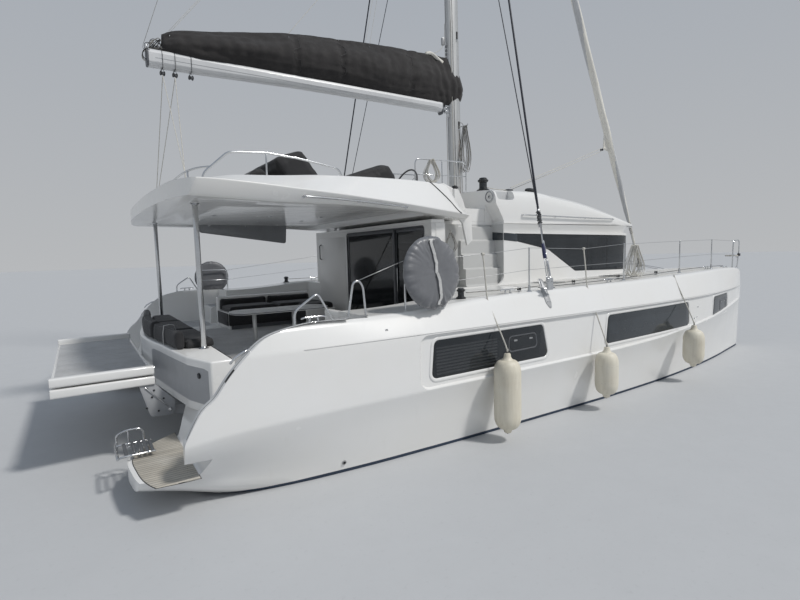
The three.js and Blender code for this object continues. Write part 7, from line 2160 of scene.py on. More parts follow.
def make_mast():
    zs = [3.9604, 4.6, 5.4, 6.2, 7.2, 8.6, 10.5, 13, 15, 17, 18.8, 19.5, 20.5, 21.6, 22.6, 23.4, 23.598]
    rings = []
    for z in zs:
        k = 1.0 if z <= 19.5 else 1 - .4 * (z - 19.5) / 4.1
        rings.append([(mast_x(z) + a * .165 * k, b * .10 * k, z) for a, b in MAST_RING])
    put("mast_tube", loft(rings), ALLOY, slot="alloy", deg=50, replaces=["mast"])
    # track up the aft face with its slot
    tr = []
    sl = []
    for z in (4.6, 8, 12, 16, 19.5, 23.4):
        k = 1.0 if z <= 19.5 else 1 - .4 * (z - 19.5) / 4.1
        x = mast_x(z) - .165 * k
        tr.append([(x + .004, -.018, z), (x - .008, -.018, z), (x - .010, -.014, z), (x - .010, .014, z), (x - .008, .018, z), (x + .004, .018, z)])
        sl.append([(x - .006, -.006, z), (x - .0105, -.006, z), (x - .0105, .006, z), (x - .006, .006, z)])
    put("mast_track", loft(tr), ALLOY_BOOM, slot="alloy")
    put("mast_track_slot", loft(sl), DARK_HOLE)
    # collar and base plate
    put("mast_step", loft([[(mast_x(4.0) + a * .165 * g + .0, b * .10 * g, z) for a, b in MAST_RING] for g, z in ((1.32, 3.9595), (1.32, 3.972), (1.12, 3.980), (1.06, 4.06), (1.0, 4.075))]), ALLOY)
    # gooseneck
    gx = mast_x(6.0)
    for k, (z0, z1) in enumerate(((5.881, 5.924), (6.006, 6.049))):
        o = fillet([(gx - .130, -.045), (gx - .295, -.045), (gx - .295, .045), (gx - .130, .045)], [0, .04, .04, 0], 6)
        put(f"gooseneck_plate_{k}", prism(o, "z", z0, z1, .005), STEEL, slot="stainless")
    put("gooseneck_bed", rbox(gx - .176, gx - .158, -.06, .06, 5.80, 6.12, .012, axis="x", bevel=.003), STEEL, slot="stainless")
    put("gooseneck_pin", lathe_mesh([(0, -.098), (.020, -.098), (.020, -.090), (.012, -.088), (.012, .088), (.020, .090), (.020, .098), (0, .098)], (-.33, 0, 5.965), (0, 0, 1), 20), STEEL, slot="stainless")
    # exits and cleats low on the mast
    for k, (z, s) in enumerate(((5.62, -1), (5.28, 1), (5.92, 1), (7.6, -1))):
        x = mast_x(z) + .06
        y = s * .0965
        put(f"mast_exit_{k}", rbox(x - .022, x + .022, *lo_hi(s, .0940, .1015), z - .085, z + .085, .012, axis="y", bevel=.002), DARK_HOLE)
        put(f"mast_exit_lip_{k}", lathe_mesh([(.0, 0), (.020, 0), (.024, .004), (.020, .010), (0, .010)], (x, s * .099, z - .10), (0, s, 0), 18), STEEL)
    for k, (z, s) in enumerate(((4.75, -1), (5.05, 1))):
        x = mast_x(z) + .02
        c = [tube_mesh([(x, s * .125, z - .10), (x, s * .13, z), (x, s * .125, z + .10)], .011, 8), tube_mesh([(x, s * .095, z - .03), (x, s * .128, z - .03)], .010, 8), tube_mesh([(x, s * .095, z + .03), (x, s * .128, z + .03)], .010, 8)]
        put(f"mast_cleat_{k}", merge(c), ALLOY)
    # lines that run down beside the mast to the organiser
    n = 0
    for s in (-1, 1):
        for j, (dx, z1, mat) in enumerate(((-.13, 7.9, ROPE), (-.085, 12.5, ROPE_DARK), (.10, 5.60, ROPE_GREY), (.02, 5.25, ROPE_RED))):
            if s > 0 and j == 1:
                mat = ROPE
            y0 = s * (.112 + .010 * (j % 2))
            pts = [(mast_x(4.06) + dx, y0 + s * .02, 4.06), (mast_x(5) + dx, y0, 5.0), (mast_x(6.6) + dx, y0, 6.4)]
            if z1 > 6.6:
                pts.append((mast_x(z1) + dx * .9, y0, z1))
            else:
                pts = [(mast_x(4.06) + dx, y0 + s * .02, 4.06), (mast_x(4.7) + dx, y0, 4.7), (mast_x(z1) + .06, s * .101, z1)]
            rope_run(f"mast_line_{n}", pts, .0055 if j % 2 else .006, mat)
            block(f"mast_block_{n}", (mast_x(4.0) + dx * 1.3, s * (.20 + .02 * j), 4.02), (0, 0, -1), .085, mat=BLACK if j % 2 else GREY_DARK, axis=(1, 0, 0))
            # on from the turning block to the clutches at the aft edge of the roof
            a = (mast_x(4.0) + dx * 1.3, s * (.20 + .02 * j), 4.015)
            b = (-.78, s * (.55 + .075 * j), brow_z(-.78, .55 + .075 * j) + .035)
            rope_run(f"deck_line_{n}", [a, ((a[0] + b[0]) / 2, (a[1] + b[1]) / 2, brow_z((a[0] + b[0]) / 2, (a[1] + b[1]) / 2) + .045), b], .0055, mat)
            n += 1
    # organisers and clutches, two winches each side
    for side, s in SIDES:
        for j in range(4):
            y = s * (.55 + .075 * j)
            z = brow_z(-.86, abs(y))
            o = fillet([(-1.00, z + .0), (-.78, z + .0), (-.79, z + .055), (-.86, z + .075), (-.98, z + .040)], [.0, .0, .012, .02, .012], 3)
            put(f"clutch_{side}_{j}", prism(o, "y", y - .028, y + .028, .004), BLACK)
            put(f"clutch_lever_{side}_{j}", prism(fillet([(-.80, z + .070), (-.80, z + .086), (-.99, z + .066), (-.99, z + .050)], .006, 3), "y", y - .016, y + .016, .003), GREY_DARK)
        winch(f"halyard_winch_{side}", (-.93, s * 1.02, brow_z(-.93, 1.02)), 1.15)
        winch(f"sheet_winch_{side}", (-.93, s * 1.88, brow_z(-.93, 1.88) - .004), 1.62)
        put(f"roof_lead_{side}", rbox(-.38, -.24, *lo_hi(s, 1.86, 2.02), brow_z(-.30, 1.95) - .01, brow_z(-.30, 1.95) + .035, .03, bevel=.010), GREY_DARK)
        rope_run(f"roof_sheet_{side}", [(-.34, s * 1.95, brow_z(-.34, 1.95) + .020), (-.6, s * 1.92, brow_z(-.6, 1.92) + .030), (-.87, s * 1.885, brow_z(-.87, 1.885) + .07)], .0075, ROPE)
    # pulpit rails either side of the mast foot
    for side, s in SIDES:
        y = s * .92
        rail = bent([(-1.86, y, brow_z(-1.0, .9) - .30), (-1.86, y, 4.50), (-1.80, y, 4.575), (-.60, y, 4.60), (-.53, y, 4.54), (-.53, y, brow_z(-.53, .92))], .06)
        rail[0] = Vector((-1.86, y, 3.50))
        parts = [tube_mesh(rail, .0125, 12), tube_mesh([(-1.86, y, 4.27), (-.53, y, 4.30)], .009, 10), tube_mesh([(-1.18, y, 3.50), (-1.18, y, 4.588)], .0115, 12)]
        put("mast_rail_" + side, merge(parts), STEEL, slot="stainless", deg=60)
        put("mast_rail_feet_" + side, merge([lathe_mesh([(0, 0), (.032, 0), (.032, .005), (.017, .014), (0, .014)], (x, y, z), (0, 0, 1), 20) for x, z in ((-1.86, 3.503), (-1.18, 3.503), (-.53, brow_z(-.53, .92) - .002))]), STEEL, slot="stainless")
    # spreaders and diamonds
    z = 14.8
    for side, s in SIDES:
        rings = []
        for t, c, h in ((0, .045, .022), (.5, .040, .018), (1, .026, .013)):
            x, y, zz = mast_x(z) + .25 * t, s * (0.02 + 1.13 * t), z + .03 * t
            rings.append([(x + c * math.cos(a), y, zz + h * math.sin(a)) for a in [2 * math.pi * k / 16 for k in range(16)]])
        put("spreader_" + side, merge([loft(rings), lathe_mesh([(0, -.03), (.02, -.03), (.024, 0), (.02, .03), (0, .03)], (mast_x(z) + .25, s * 1.145, z + .03), (0, 0, 1), 14)]), ALLOY, slot="alloy")
        put("diamond_wire_" + side, tube_mesh([(mast_x(10.9), s * .08, 10.9), (mast_x(z) + .25, s * 1.14, z + .03), (mast_x(18.7), s * .08, 18.7)], .005, 8), WIRE, deg=60)
        put("diamond_screw_" + side, tube_mesh([(mast_x(10.9) + .03, s * .20, 11.34), (mast_x(10.9) + .07, s * .305, 11.73)], .012, 10), STEEL, deg=60)
    # masthead: crane and light; tang of the forestay
    x = mast_x(23.598)
    put("masthead_crane", prism(fillet([(x - .19, 23.56), (x + .12, 23.56), (x + .12, 23.596), (x - .19, 23.596)], .01, 3), "y", -.03, .03, .003), ALLOY)
    put("masthead_light", lathe_mesh([(0, 0), (.0, 0), (.03, 0), (.03, -.04), (.022, -.05), (0, -.05)], (x - .02, .02, 23.59), (0, 0, 1), 18), BLACK)
    put("forestay_tang", prism(fillet([(mast_x(18.8) + .10, 18.765), (mast_x(18.8) + .26, 18.775), (mast_x(18.8) + .26, 18.845), (mast_x(18.8) + .10, 18.858)], .012, 3), "y", -.012, .012, .003), STEEL, slot="stainless")
    put("steaming_light", lathe_mesh([(0, 0), (.035, 0), (.035, .05), (.028, .06), (0, .06)], (mast_x(12.2) + .16, 0, 12.2), (1, 0, 0), 20), BLACK)
    # line hung in hanks: forward side of the mast, helm rail, bulkhead
    hank("mast_hank", [(mast_x(5.62) + .130, -.062, 5.70), (mast_x(5.5) + .160, -.110, 5.66)], (mast_x(5.0) + .185, -.150, 5.62), (1, 0, 0), (0, -1, 0), .24, 1.04, 8, .012, ROPE_GREY, seed=3)
    put("mast_hank_cleat", tube_mesh(bent([(mast_x(5.6) + .12, -.06, 5.60), (mast_x(5.6) + .185, -.15, 5.595), (mast_x(5.6) + .20, -.24, 5.60), (mast_x(5.6) + .20, -.245, 5.64)], .02), .009, 10), STEEL_DULL, deg=60)
    hank("helm_hank", [(-1.40, -.99, 3.512), (-1.40, -.995, 3.9), (-1.42, -.995, 4.35)], (-1.46, -.945, 4.588), (1, 0, 0), (0, -1, 0), .34, .46, 8, .012, ROPE, seed=5)
    hank("wall_hank", [(-2.20, -2.398, 3.08), (-2.20, -2.425, 3.06)], (-2.21, -2.440, 3.03), (1, 0, 0), (0, -1, 0), .24, .34, 4, .010, ROPE_GREY, seed=8)
    put("wall_hook", tube_mesh(bent([(-2.21, -2.396, 3.02), (-2.21, -2.500, 3.008), (-2.21, -2.500, 3.05)], .012), .005, 8), STEEL, deg=60)
    put("tether_ball", lathe_mesh([(0, -.032), (.012, -.030), (.023, -.022), (.030, -.011), (.032, 0), (.030, .011), (.023, .022), (.012, .030), (0, .032)], (-.42, -.36, brow_z(-.42, .36) + .031), (0, 0, 1), 24), BALL)


BALL = cloth("ball_felt", (0.50, 0.60, 0.06), 0.9, fold=0.0003)
make_mast()


# ---------- boom and the bag on it ----------
def make_boom():
    B = "boom_body"
    out = fillet([(-.070, 5.822), (.070, 5.822), (.105, 5.880), (.105, 6.020), (.080, 6.080), (-.080, 6.080), (-.105, 6.020), (-.105, 5.880)], .028, 4)
    rings = []
    for x, k in ((-.470, .90), (-1.6, .92), (-3.2, .95), (-4.0, .965), (-4.8, .98), (-5.6, .99), (-6.44, 1.0)):
        lift = .055 * smooth((x + 6.3) / 2.8)
        rings.append([(x, y * k, z + lift * max(0, min(1, (6.0 - z) / .12))) for y, z in out])
    put("boom_spar", loft(rings), ALLOY_BOOM, body=B, slot="alloy", deg=40, replaces=["boom"])
    put("boom_groove", merge([rbox(-6.35, -.60, *lo_hi(s, .1035, .1058), 5.935, 5.945, .002, bevel=.0005) for s in (-1, 1)]), GREY, body=B)
    for nm, xa, xb, k in (("aft", -6.470, -6.440, 1.0), ("fore", -.475, -.445, .90)):
        me = loft([[(xa, y * k * 1.012, z) for y, z in offset(out, .006)], [(xa + .004, y * k * 1.012, z) for y, z in out], [(xb - .004, y * k * 1.012, z) for y, z in out], [(xb, y * k * 1.012, z) for y, z in offset(out, .006)]])
        put("boom_cap_" + nm, me, GREY_DARK, body=B)
    put("boom_lug", merge([rbox(-.50, -.366, -.0295, .0295, 5.9305, 5.9995, .008, axis="x", bevel=.003), lathe_mesh([(.0125, -.035), (.036, -.035), (.038, -.032), (.038, .032), (.036, .035), (.0125, .035), (.0125, -.035)], (-.33, 0, 5.965), (0, 0, 1), 28)]), STEEL, body=B, slot="stainless")
    # slings of the sheet blocks, outhaul and reef lines at the end
    for k, x in enumerate((-6.24, -6.05, -5.80)):
        sl = [(x, -.085, 6.075), (x, -.109, 6.02), (x, -.109, 5.88), (x, -.075, 5.818), (x, .075, 5.818), (x, .109, 5.88), (x, .109, 6.02), (x, .085, 6.075)]
        put(f"boom_sling_{k}", tube_mesh(sl, .012, 8, flat=.0025), ROPE_DARK, body=B, deg=60)
        block(f"sheet_block_{k}", (x, -.0, 5.745), (0, 0, -1), .085, body=B, axis=(1, .3, 0), n=1.1)
    for k, (y, mat) in enumerate(((-.05, ROPE_DARK), (.0, ROPE_GREY), (.05, ROPE))):
        put(f"outhaul_{k}", tube_mesh(spline([(-6.40, y, 5.90), (-6.505, y, 5.93), (-6.515, y * .9, 6.02), (-6.44, y * .8, 6.10), (-6.25, y * .6, 6.135), (-6.15, y * .6, 6.14)], .03), .006, 8), mat, body=B, deg=60)
    for k in range(6):
        pts = []
        for i in range(9):
            a = i / 8 * 2.2 * math.pi + k * 1.1
            pts.append((-6.36 + .10 * math.cos(a) + .015 * k - .03, .075 * math.sin(a * 1.3 + k), 6.10 + .12 * math.sin(a + .6 * k) + .012 * k))
        pts = [(-6.44, .03 * (k - 2.5), 6.02)] + pts + [(-6.20, .025 * (k - 2.5), 6.12)]
        put(f"boom_end_line_{k}", tube_mesh(spline(pts, .02), .0055, 6), (ROPE_DARK, ROPE_GREY, ROPE_DARK)[k % 3], body=B, deg=60)
    put("boom_bail", tube_mesh(bent([(-6.42, -.10, 6.05), (-6.50, -.10, 6.14), (-6.50, .10, 6.14), (-6.42, .10, 6.05)], .05), .006, 8), STEEL, body=B, slot="stainless", deg=60)

    # sail bag
    top = pchip([-6.22, -6.0, -5.0, -3.94, -3.0, -2.34, -1.4, -.98, -.6, -.25, .02, .18], [6.36, 6.45, 6.64, 6.845, 6.94, 6.99, 7.055, 7.085, 7.09, 7.06, 6.92, 6.55])
    low = pchip([-6.22, -5.6, -4.5, -3.4, -2.3, -1.2, -.5, -.1, .12, .18], [6.03, 6.02, 6.055, 6.075, 6.078, 6.06, 6.015, 6.08, 6.20, 6.34])
    half = pchip([-6.22, -6.0, -5.0, -3.9, -2.4, -1.2, -.7, -.45, -.25, 0.0, .10, .16, .18], [.06, .135, .20, .218, .215, .185, .165, .150, .145, .135, .105, .055, .02])
    xs = [-6.22 + .045 * i for i in range(int(6.40 / .045))] + [.18]
    N = 56
    rings = []
    for x in xs:
        z0, z1, w = low(x), top(x), half(x)
        h = z1 - z0
        ring = []
        for i in range(N):
            a = 2 * math.pi * i / N
            c, sn = math.cos(a), math.sin(a)
            # teardrop: full below, drawn to a ridge above
            t = (sn + 1) / 2
            width = w * (1.05 - .98 * ((t - .42) / .58) ** 1.55) if t > .42 else w * (.44 + .61 * (t / .42) ** .62)
            y = width * (abs(c) ** .42) * (1 if c >= 0 else -1)
            z = z0 + h * t
            # cloth: slack between the ties, creases at the seams and by the mast
            seamy = sum(math.exp(-((x - q) / .05) ** 2) for q in (-3.94, -3.0, -1.35))
            v = Vector((x * 1.5, y * 5, z * 3.2))
            n1 = mnoise.noise(v) * .030 + (.5 - abs(mnoise.noise(v * 2.3 + Vector((7, 1, 3))))) * .026 + mnoise.noise(v * 4.1) * .010
            vert = mnoise.noise(Vector((x * 9.0, y * 2, z * 1.3 + 4))) * .010 * smooth((z - z0) / .15)
            hug = smooth((x + .9) / .5)
            ring_fold = math.sin(x * 33 + z * 8 + 2.6 * mnoise.noise(Vector((x * 3, z * 4, 1)))) * .0145 * hug
            belly = .018 * math.sin((x + 6.2) * 3.3) * math.exp(-((t - .12) / .16) ** 2)
            drape = math.sin(x * 27 + 3.2 * mnoise.noise(Vector((x * 2.1, 1, z * 2)))) * .0105 * math.exp(-((t - .52) / .22) ** 2)
            tension = math.sin(z * 52 + 5 * mnoise.noise(Vector((x * .9, z * 2, 6)))) * .0095 * math.exp(-((t - .22) / .14) ** 2)
            d = n1 + vert + ring_fold + drape + tension - .030 * seamy
            nx = abs(c) ** .6 * (1 if c >= 0 else -1)
            y2 = y + nx * d
            z2 = z + (sn * d * .5 if t > .5 else 0) - (belly if t < .45 else 0)
            ring.append((x, max(-.232, min(.232, y2)), max(5.99, min(7.115, z2))))
        rings.append(ring)
    me = loft(rings)
    ob = put("sail_bag_cover", me, CANVAS, body=None, slot="canvas", deg=80, replaces=["sail_bag"])
    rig.padded(ob, .7)
    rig.blend(ob, "boom_body", "boat", (-.80, 0, 6.4), (-.34, 0, 6.4))
    # zip along the ridge, seams, rings on the sides
    ridge = snap_to(me, [(x, 0, top(x) + .02) for x in [-6.15 + .08 * i for i in range(64)]], .001)
    put("bag_zip", tube_mesh(ridge, .009, 8, flat=.004), PIPING, body=B, deg=60)
    for k, x in enumerate((-3.94, -3.0, -1.35)):
        for s in (-1, 1):
            pts = snap_to(me, [(x + .03 * math.sin(j * .7), s * .3, low(x) + (top(x) - low(x)) * j / 14) for j in range(15)], .0008)
            put(f"bag_seam_{k}_{'p' if s > 0 else 's'}", tube_mesh(pts, .0035, 6), PIPING, body=B, deg=60)
    for k, x in enumerate((-6.12, -4.06, -2.34)):
        for s in (-1, 1):
            p = snap_to(me, [(x, s * .12, top(x) - .05)], .004)[0]
            put(f"bag_ring_{k}_{'p' if s > 0 else 's'}", ring_tube_at(p, (1, 0, 0), .016, .003), STEEL, body=B, deg=60)
    # a corner of the sail shows where the bag opens at the mast
    rings = []
    for i in range(15):
        t = i / 14
        x = -.86 + .58 * t
        z = 7.085 + .03 * math.sin(t * 7) - .16 * t ** 2
        w = .010 + .060 * math.sin(math.pi * min(1, t * 1.05)) + .012 * t
        rings.append([(x + .02 * mnoise.noise(Vector((a * 2, t * 5, 2))), w * math.cos(a) + .012 * mnoise.noise(Vector((t * 7, a * 3, 5))), z + (.030 + .035 * t) * math.sin(a) + .014 * mnoise.noise(Vector((t * 8, a * 2.5, 9)))) for a in [2 * math.pi * k / 20 for k in range(20)]])
    ob = put("sail_corner", loft(rings), SAIL, body=None, slot="sailcloth", deg=80)
    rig.blend(ob, "boom_body", "boat", (-.80, 0, 6.4), (-.34, 0, 6.4))
    put("sail_headboard", rbox(-.395, -.330, -.030, .030, 7.36, 7.52, .015, axis="y", bevel=.004), STEEL_DULL)
    for k in range(5):
        x = mast_x(7.0) - .178
        put(f"sail_slide_{k}", rbox(x - .020, x + .002, -.016, .016, 6.98 + k * .085, 7.03 + k * .085, .006, bevel=.003), GREY_DARK)
    put("head_lashing", tube_mesh(spline([(-.36, 0, 7.36), (-.45, -.01, 7.24), (-.62, .0, 7.14)], .04), .006, 8), ROPE, deg=60)

    # lazy jacks and topping lift, each turning from the boom to the mast
    def across(name, a, b, r, mat, mids=()):
        n = 30
        pts = [Vector(a).lerp(Vector(b), i / n) for i in range(n + 1)]
        o = put(name, tube_mesh(pts, r, 6), mat, body=None, deg=60)
        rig.blend(o, "boom_body", "boat", a, b)

    for side, s in SIDES:
        node = (-1.75, s * .10, 9.6)
        across("lazy_jack_aft_" + side, (-4.06, s * .105, 6.80), node, .0032, ROPE)
        across("lazy_jack_fore_" + side, (-2.34, s * .105, 6.95), node, .0032, ROPE)
        across("lazy_jack_up_" + side, (-6.12, s * .09, 6.40), (mast_x(13.6) - .10, s * .095, 13.6), .0032, ROPE)
        put("lazy_jack_top_" + side, tube_mesh([node, (mast_x(13.9) - .05, s * .095, 13.9)], .0032, 6), ROPE, deg=60)
    across("topping_lift", (-6.50, 0, 6.14), (mast_x(23.5) - .17, 0, 23.5), .004, ROPE_GREY)
    # mainsheet: falls from the boom to the blocks on the aft coaming
    lows = [(-6.27, y, 3.765) for y in (-1.63, -1.55, 1.55, 1.63)]
    for k, (lo, x) in enumerate(zip(lows, (-6.24, -6.05, -6.05, -6.24))):
        across(f"mainsheet_{k}", (x, 0, 5.71), (lo[0], lo[1], lo[2]), .006, ROPE)
    for k, y in enumerate((-1.59, 1.59)):
        block(f"sheet_deck_block_{k}", (-6.27, y, 3.755), (0, 0, 1), .085, axis=(0, 1, 0), n=1.6)
        put(f"sheet_deck_pad_{k}", merge([lathe_mesh([(0, 0), (.05, 0), (.05, .006), (.03, .012), (0, .012)], (-6.27, y, 3.692), (0, 0, 1), 24)]), STEEL, slot="stainless")


def ring_tube_at(p, axis, R_, r, n=20):
    ax = Vector(axis).normalized()
    u = Vector((0, 0, 1)).cross(ax)
    if u.length < .1:
        u = Vector((1, 0, 0))
    u.normalize()
    v = ax.cross(u)
    return tube_mesh([Vector(p) + u * R_ * math.cos(2 * math.pi * k / n) + v * R_ * math.sin(2 * math.pi * k / n) for k in range(n)], r, 6, closed=True)


make_boom()


# ---------- furled headsail ----------
def make_genoa():
    B = "furler_body"
    foot = Vector((7.18 + (2.95 - 2.08) * .453, 0, 2.08))
    head = Vector((7.18 + (2.95 - 18.35) * .453, 0, 18.35))
    d = (head - foot).normalized()
    L = (head - foot).length
    u = Vector((0, 1, 0)).cross(d).normalized()
    v = d.cross(u)
    prof = pchip([.30, .42, 1.45, 2.15, 2.9, 4.2, 9.0, L - 1.5, L - .3], [.018, .034, .040, .066, .090, .096, .090, .058, .022])
    N = 40
    rings = []
    hs = [.30 + .03 * i for i in range(12)] + [.66 + .16 * i for i in range(int((L - 1.0) / .16))] + [L - .3]
    hs = sorted(set(round(h, 3) for h in hs if h <= L - .299))
    for h in hs:
        r = prof(h)
        ring = []
        for i in range(N):
            a = 2 * math.pi * i / N
            # leech edge winds round the roll
            ph = (a - h * 1.15) % (2 * math.pi)
            lip = .010 * math.exp(-ph / .55) if ph < 3 else 0
            w = .0050 * mnoise.noise(Vector((math.cos(a) * 2, math.sin(a) * 2, h * 2.2))) + .0034 * math.sin(3 * a + h * 4) + .003 * mnoise.noise(Vector((math.cos(a) * 5, math.sin(a) * 5, h * 1.1)))
            rr = r + (lip + w) * min(1, r / .05)
            ring.append(tuple(foot + d * h + (u * math.cos(a) + v * math.sin(a)) * rr))
        rings.append(ring)
    ob = put("genoa_roll", loft(rings), [SAIL, UVSTRIP], body=B, slot="sailcloth", deg=80, replaces=["furled_genoa"])
    me = ob.data
    for p in me.polygons:
        c = Vector(p.center) - foot
        h = c.dot(d)
        q = c - d * h
        a = math.atan2(q.dot(v), q.dot(u))
        ph = (a - h * 1.15) % (2 * math.pi)
        if ph < 1.9:
            p.material_index = 1
        if 3.7 < h < 4.75 and math.cos(a - 1.2) > -.2:
            p.material_index = 0
    # clew with its block, and the sheets that lead from it to the roof
    top_, low_ = foot + d * 4.66, foot + d * 3.72
    tip = Vector((5.64, .05, 5.63))
    rings = []
    for i in range(13):
        q = i / 12
        a, b = top_.lerp(tip, q), low_.lerp(tip, q)
        side = (tip - foot - d * (tip - foot).dot(d)).normalized().cross(d) * .005
        bow = Vector((0, 0, .02 * math.sin(math.pi * q)))
        rows = [a.lerp(b, j / 8) + side * (1 + 1.6 * math.sin(j * 1.4 + q * 3)) for j in range(9)] + [a.lerp(b, j / 8) - side * (1 - 1.6 * math.sin(j * 1.4 + q * 3)) for j in range(8, -1, -1)]
        rings.append([tuple(r_ + bow) for r_ in rows] if q < 1 else [tuple(tip + (r_ - tip) * .2 + side * (1 if j < 9 else -1) + Vector((0, 0, .002 * (4 - (j if j < 9 else 17 - j))))) for j, r_ in enumerate(rows)])
    put("genoa_clew", loft(rings), SAIL, body=B, slot="sailcloth", deg=80)
    put("clew_ring", ring_tube_at(tip + Vector((.02, 0, .01)), (0, 1, 0), .028, .006), STEEL, body=B, deg=60)
    block("clew_block", tuple(tip + Vector((-.055, 0, -.03))), (-1, -.3, -.3), .085, body=B, axis=(.3, -1, 0), n=1.2)
    for k, (dz, dy) in enumerate(((.045, -.01), (-.045, .02))):
        A_ = tip + Vector((-.07, dy, dz - .03))
        B_ = Vector((-.27, -1.95 + dy * 2, brow_z(-.27, 1.95) + .022 + dz * .6 + .02))
        o = put(f"genoa_lead_{k}", tube_mesh([A_.lerp(B_, i / 30) + Vector((0, 0, -.012 * math.sin(math.pi * i / 30))) for i in range(31)], .0075, 8), ROPE, body=None, deg=60)
        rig.blend(o, B, "boat", tuple(A_), tuple(B_))
    # lashing turns of the sheets round the roll
    turns = []
    for i in range(70):
        a = i / 9 * 2 * math.pi
        h = 1.15 + i * .006
        turns.append(foot + d * h + (u * math.cos(a) + v * math.sin(a)) * (prof(h) + .008))
    put("genoa_lashing", tube_mesh(turns, .006, 8), ROPE_GREY, body=B, deg=60)
    drum = [(0, .002), (.030, .002), (.034, .02), (.090, .024), (.095, .032), (.095, .040), (.060, .046), (.056, .070), (.056, .098), (.060, .104), (.094, .110), (.094, .122), (.050, .128), (.040, .150), (.026, .20), (.020, .30), (0, .30)]
    put("furler_drum", lathe_mesh(drum, foot, d, 40), GREY_DARK, body=B)
    wind = []
    for i in range(90):
        a = i / 15 * 2 * math.pi
        wind.append(foot + d * (.052 + .0075 * (i / 15)) + (u * math.cos(a) + v * math.sin(a)) * .0605)
    put("furler_line_turns", tube_mesh(wind, .0038, 6), ROPE_DARK, body=B, deg=60)
    put("furler_swivel", lathe_mesh([(0, L - .30), (.026, L - .30), (.030, L - .28), (.030, L - .20), (.024, L - .18), (.014, L - .16), (.013, L - .004), (0, L - .004)], foot, d, 24), STEEL_DULL, body=B)
    put("forestay_top", tube_mesh([head + d * .006, Vector((mast_x(18.8) + .245, 0, 18.81))], .006, 8), WIRE, deg=60)
    # toggle at the foot
    base = Vector((7.60, 0, 1.90))
    put("forestay_toggle", merge([prism(fillet([(7.562, 1.855), (7.638, 1.855), (7.625, 1.985), (7.578, 1.988)], .010, 3), "y", -.0135, .0135, .003), tube_mesh([(7.60, -.026, 1.955), (7.60, .026, 1.955)], .010, 12), tube_mesh([(7.598, 0, 1.93), tuple(foot - d * .004)], .012, 12)]), STEEL, slot="stainless", deg=50)
    # furling line back along the starboard deck edge
    rope_run("furling_line", [tuple(foot + d * .07 + Vector((-.05, -.02, 0))), (7.05, -1.0, 2.02), (6.72, -2.62, 2.06), (6.3, -3.02, 2.16), (4.0, -3.40, 2.19), (1.0, -3.62, 2.12), (-1.4, -3.66, 2.085)], .005, ROPE_DARK, step=.4)


make_genoa()


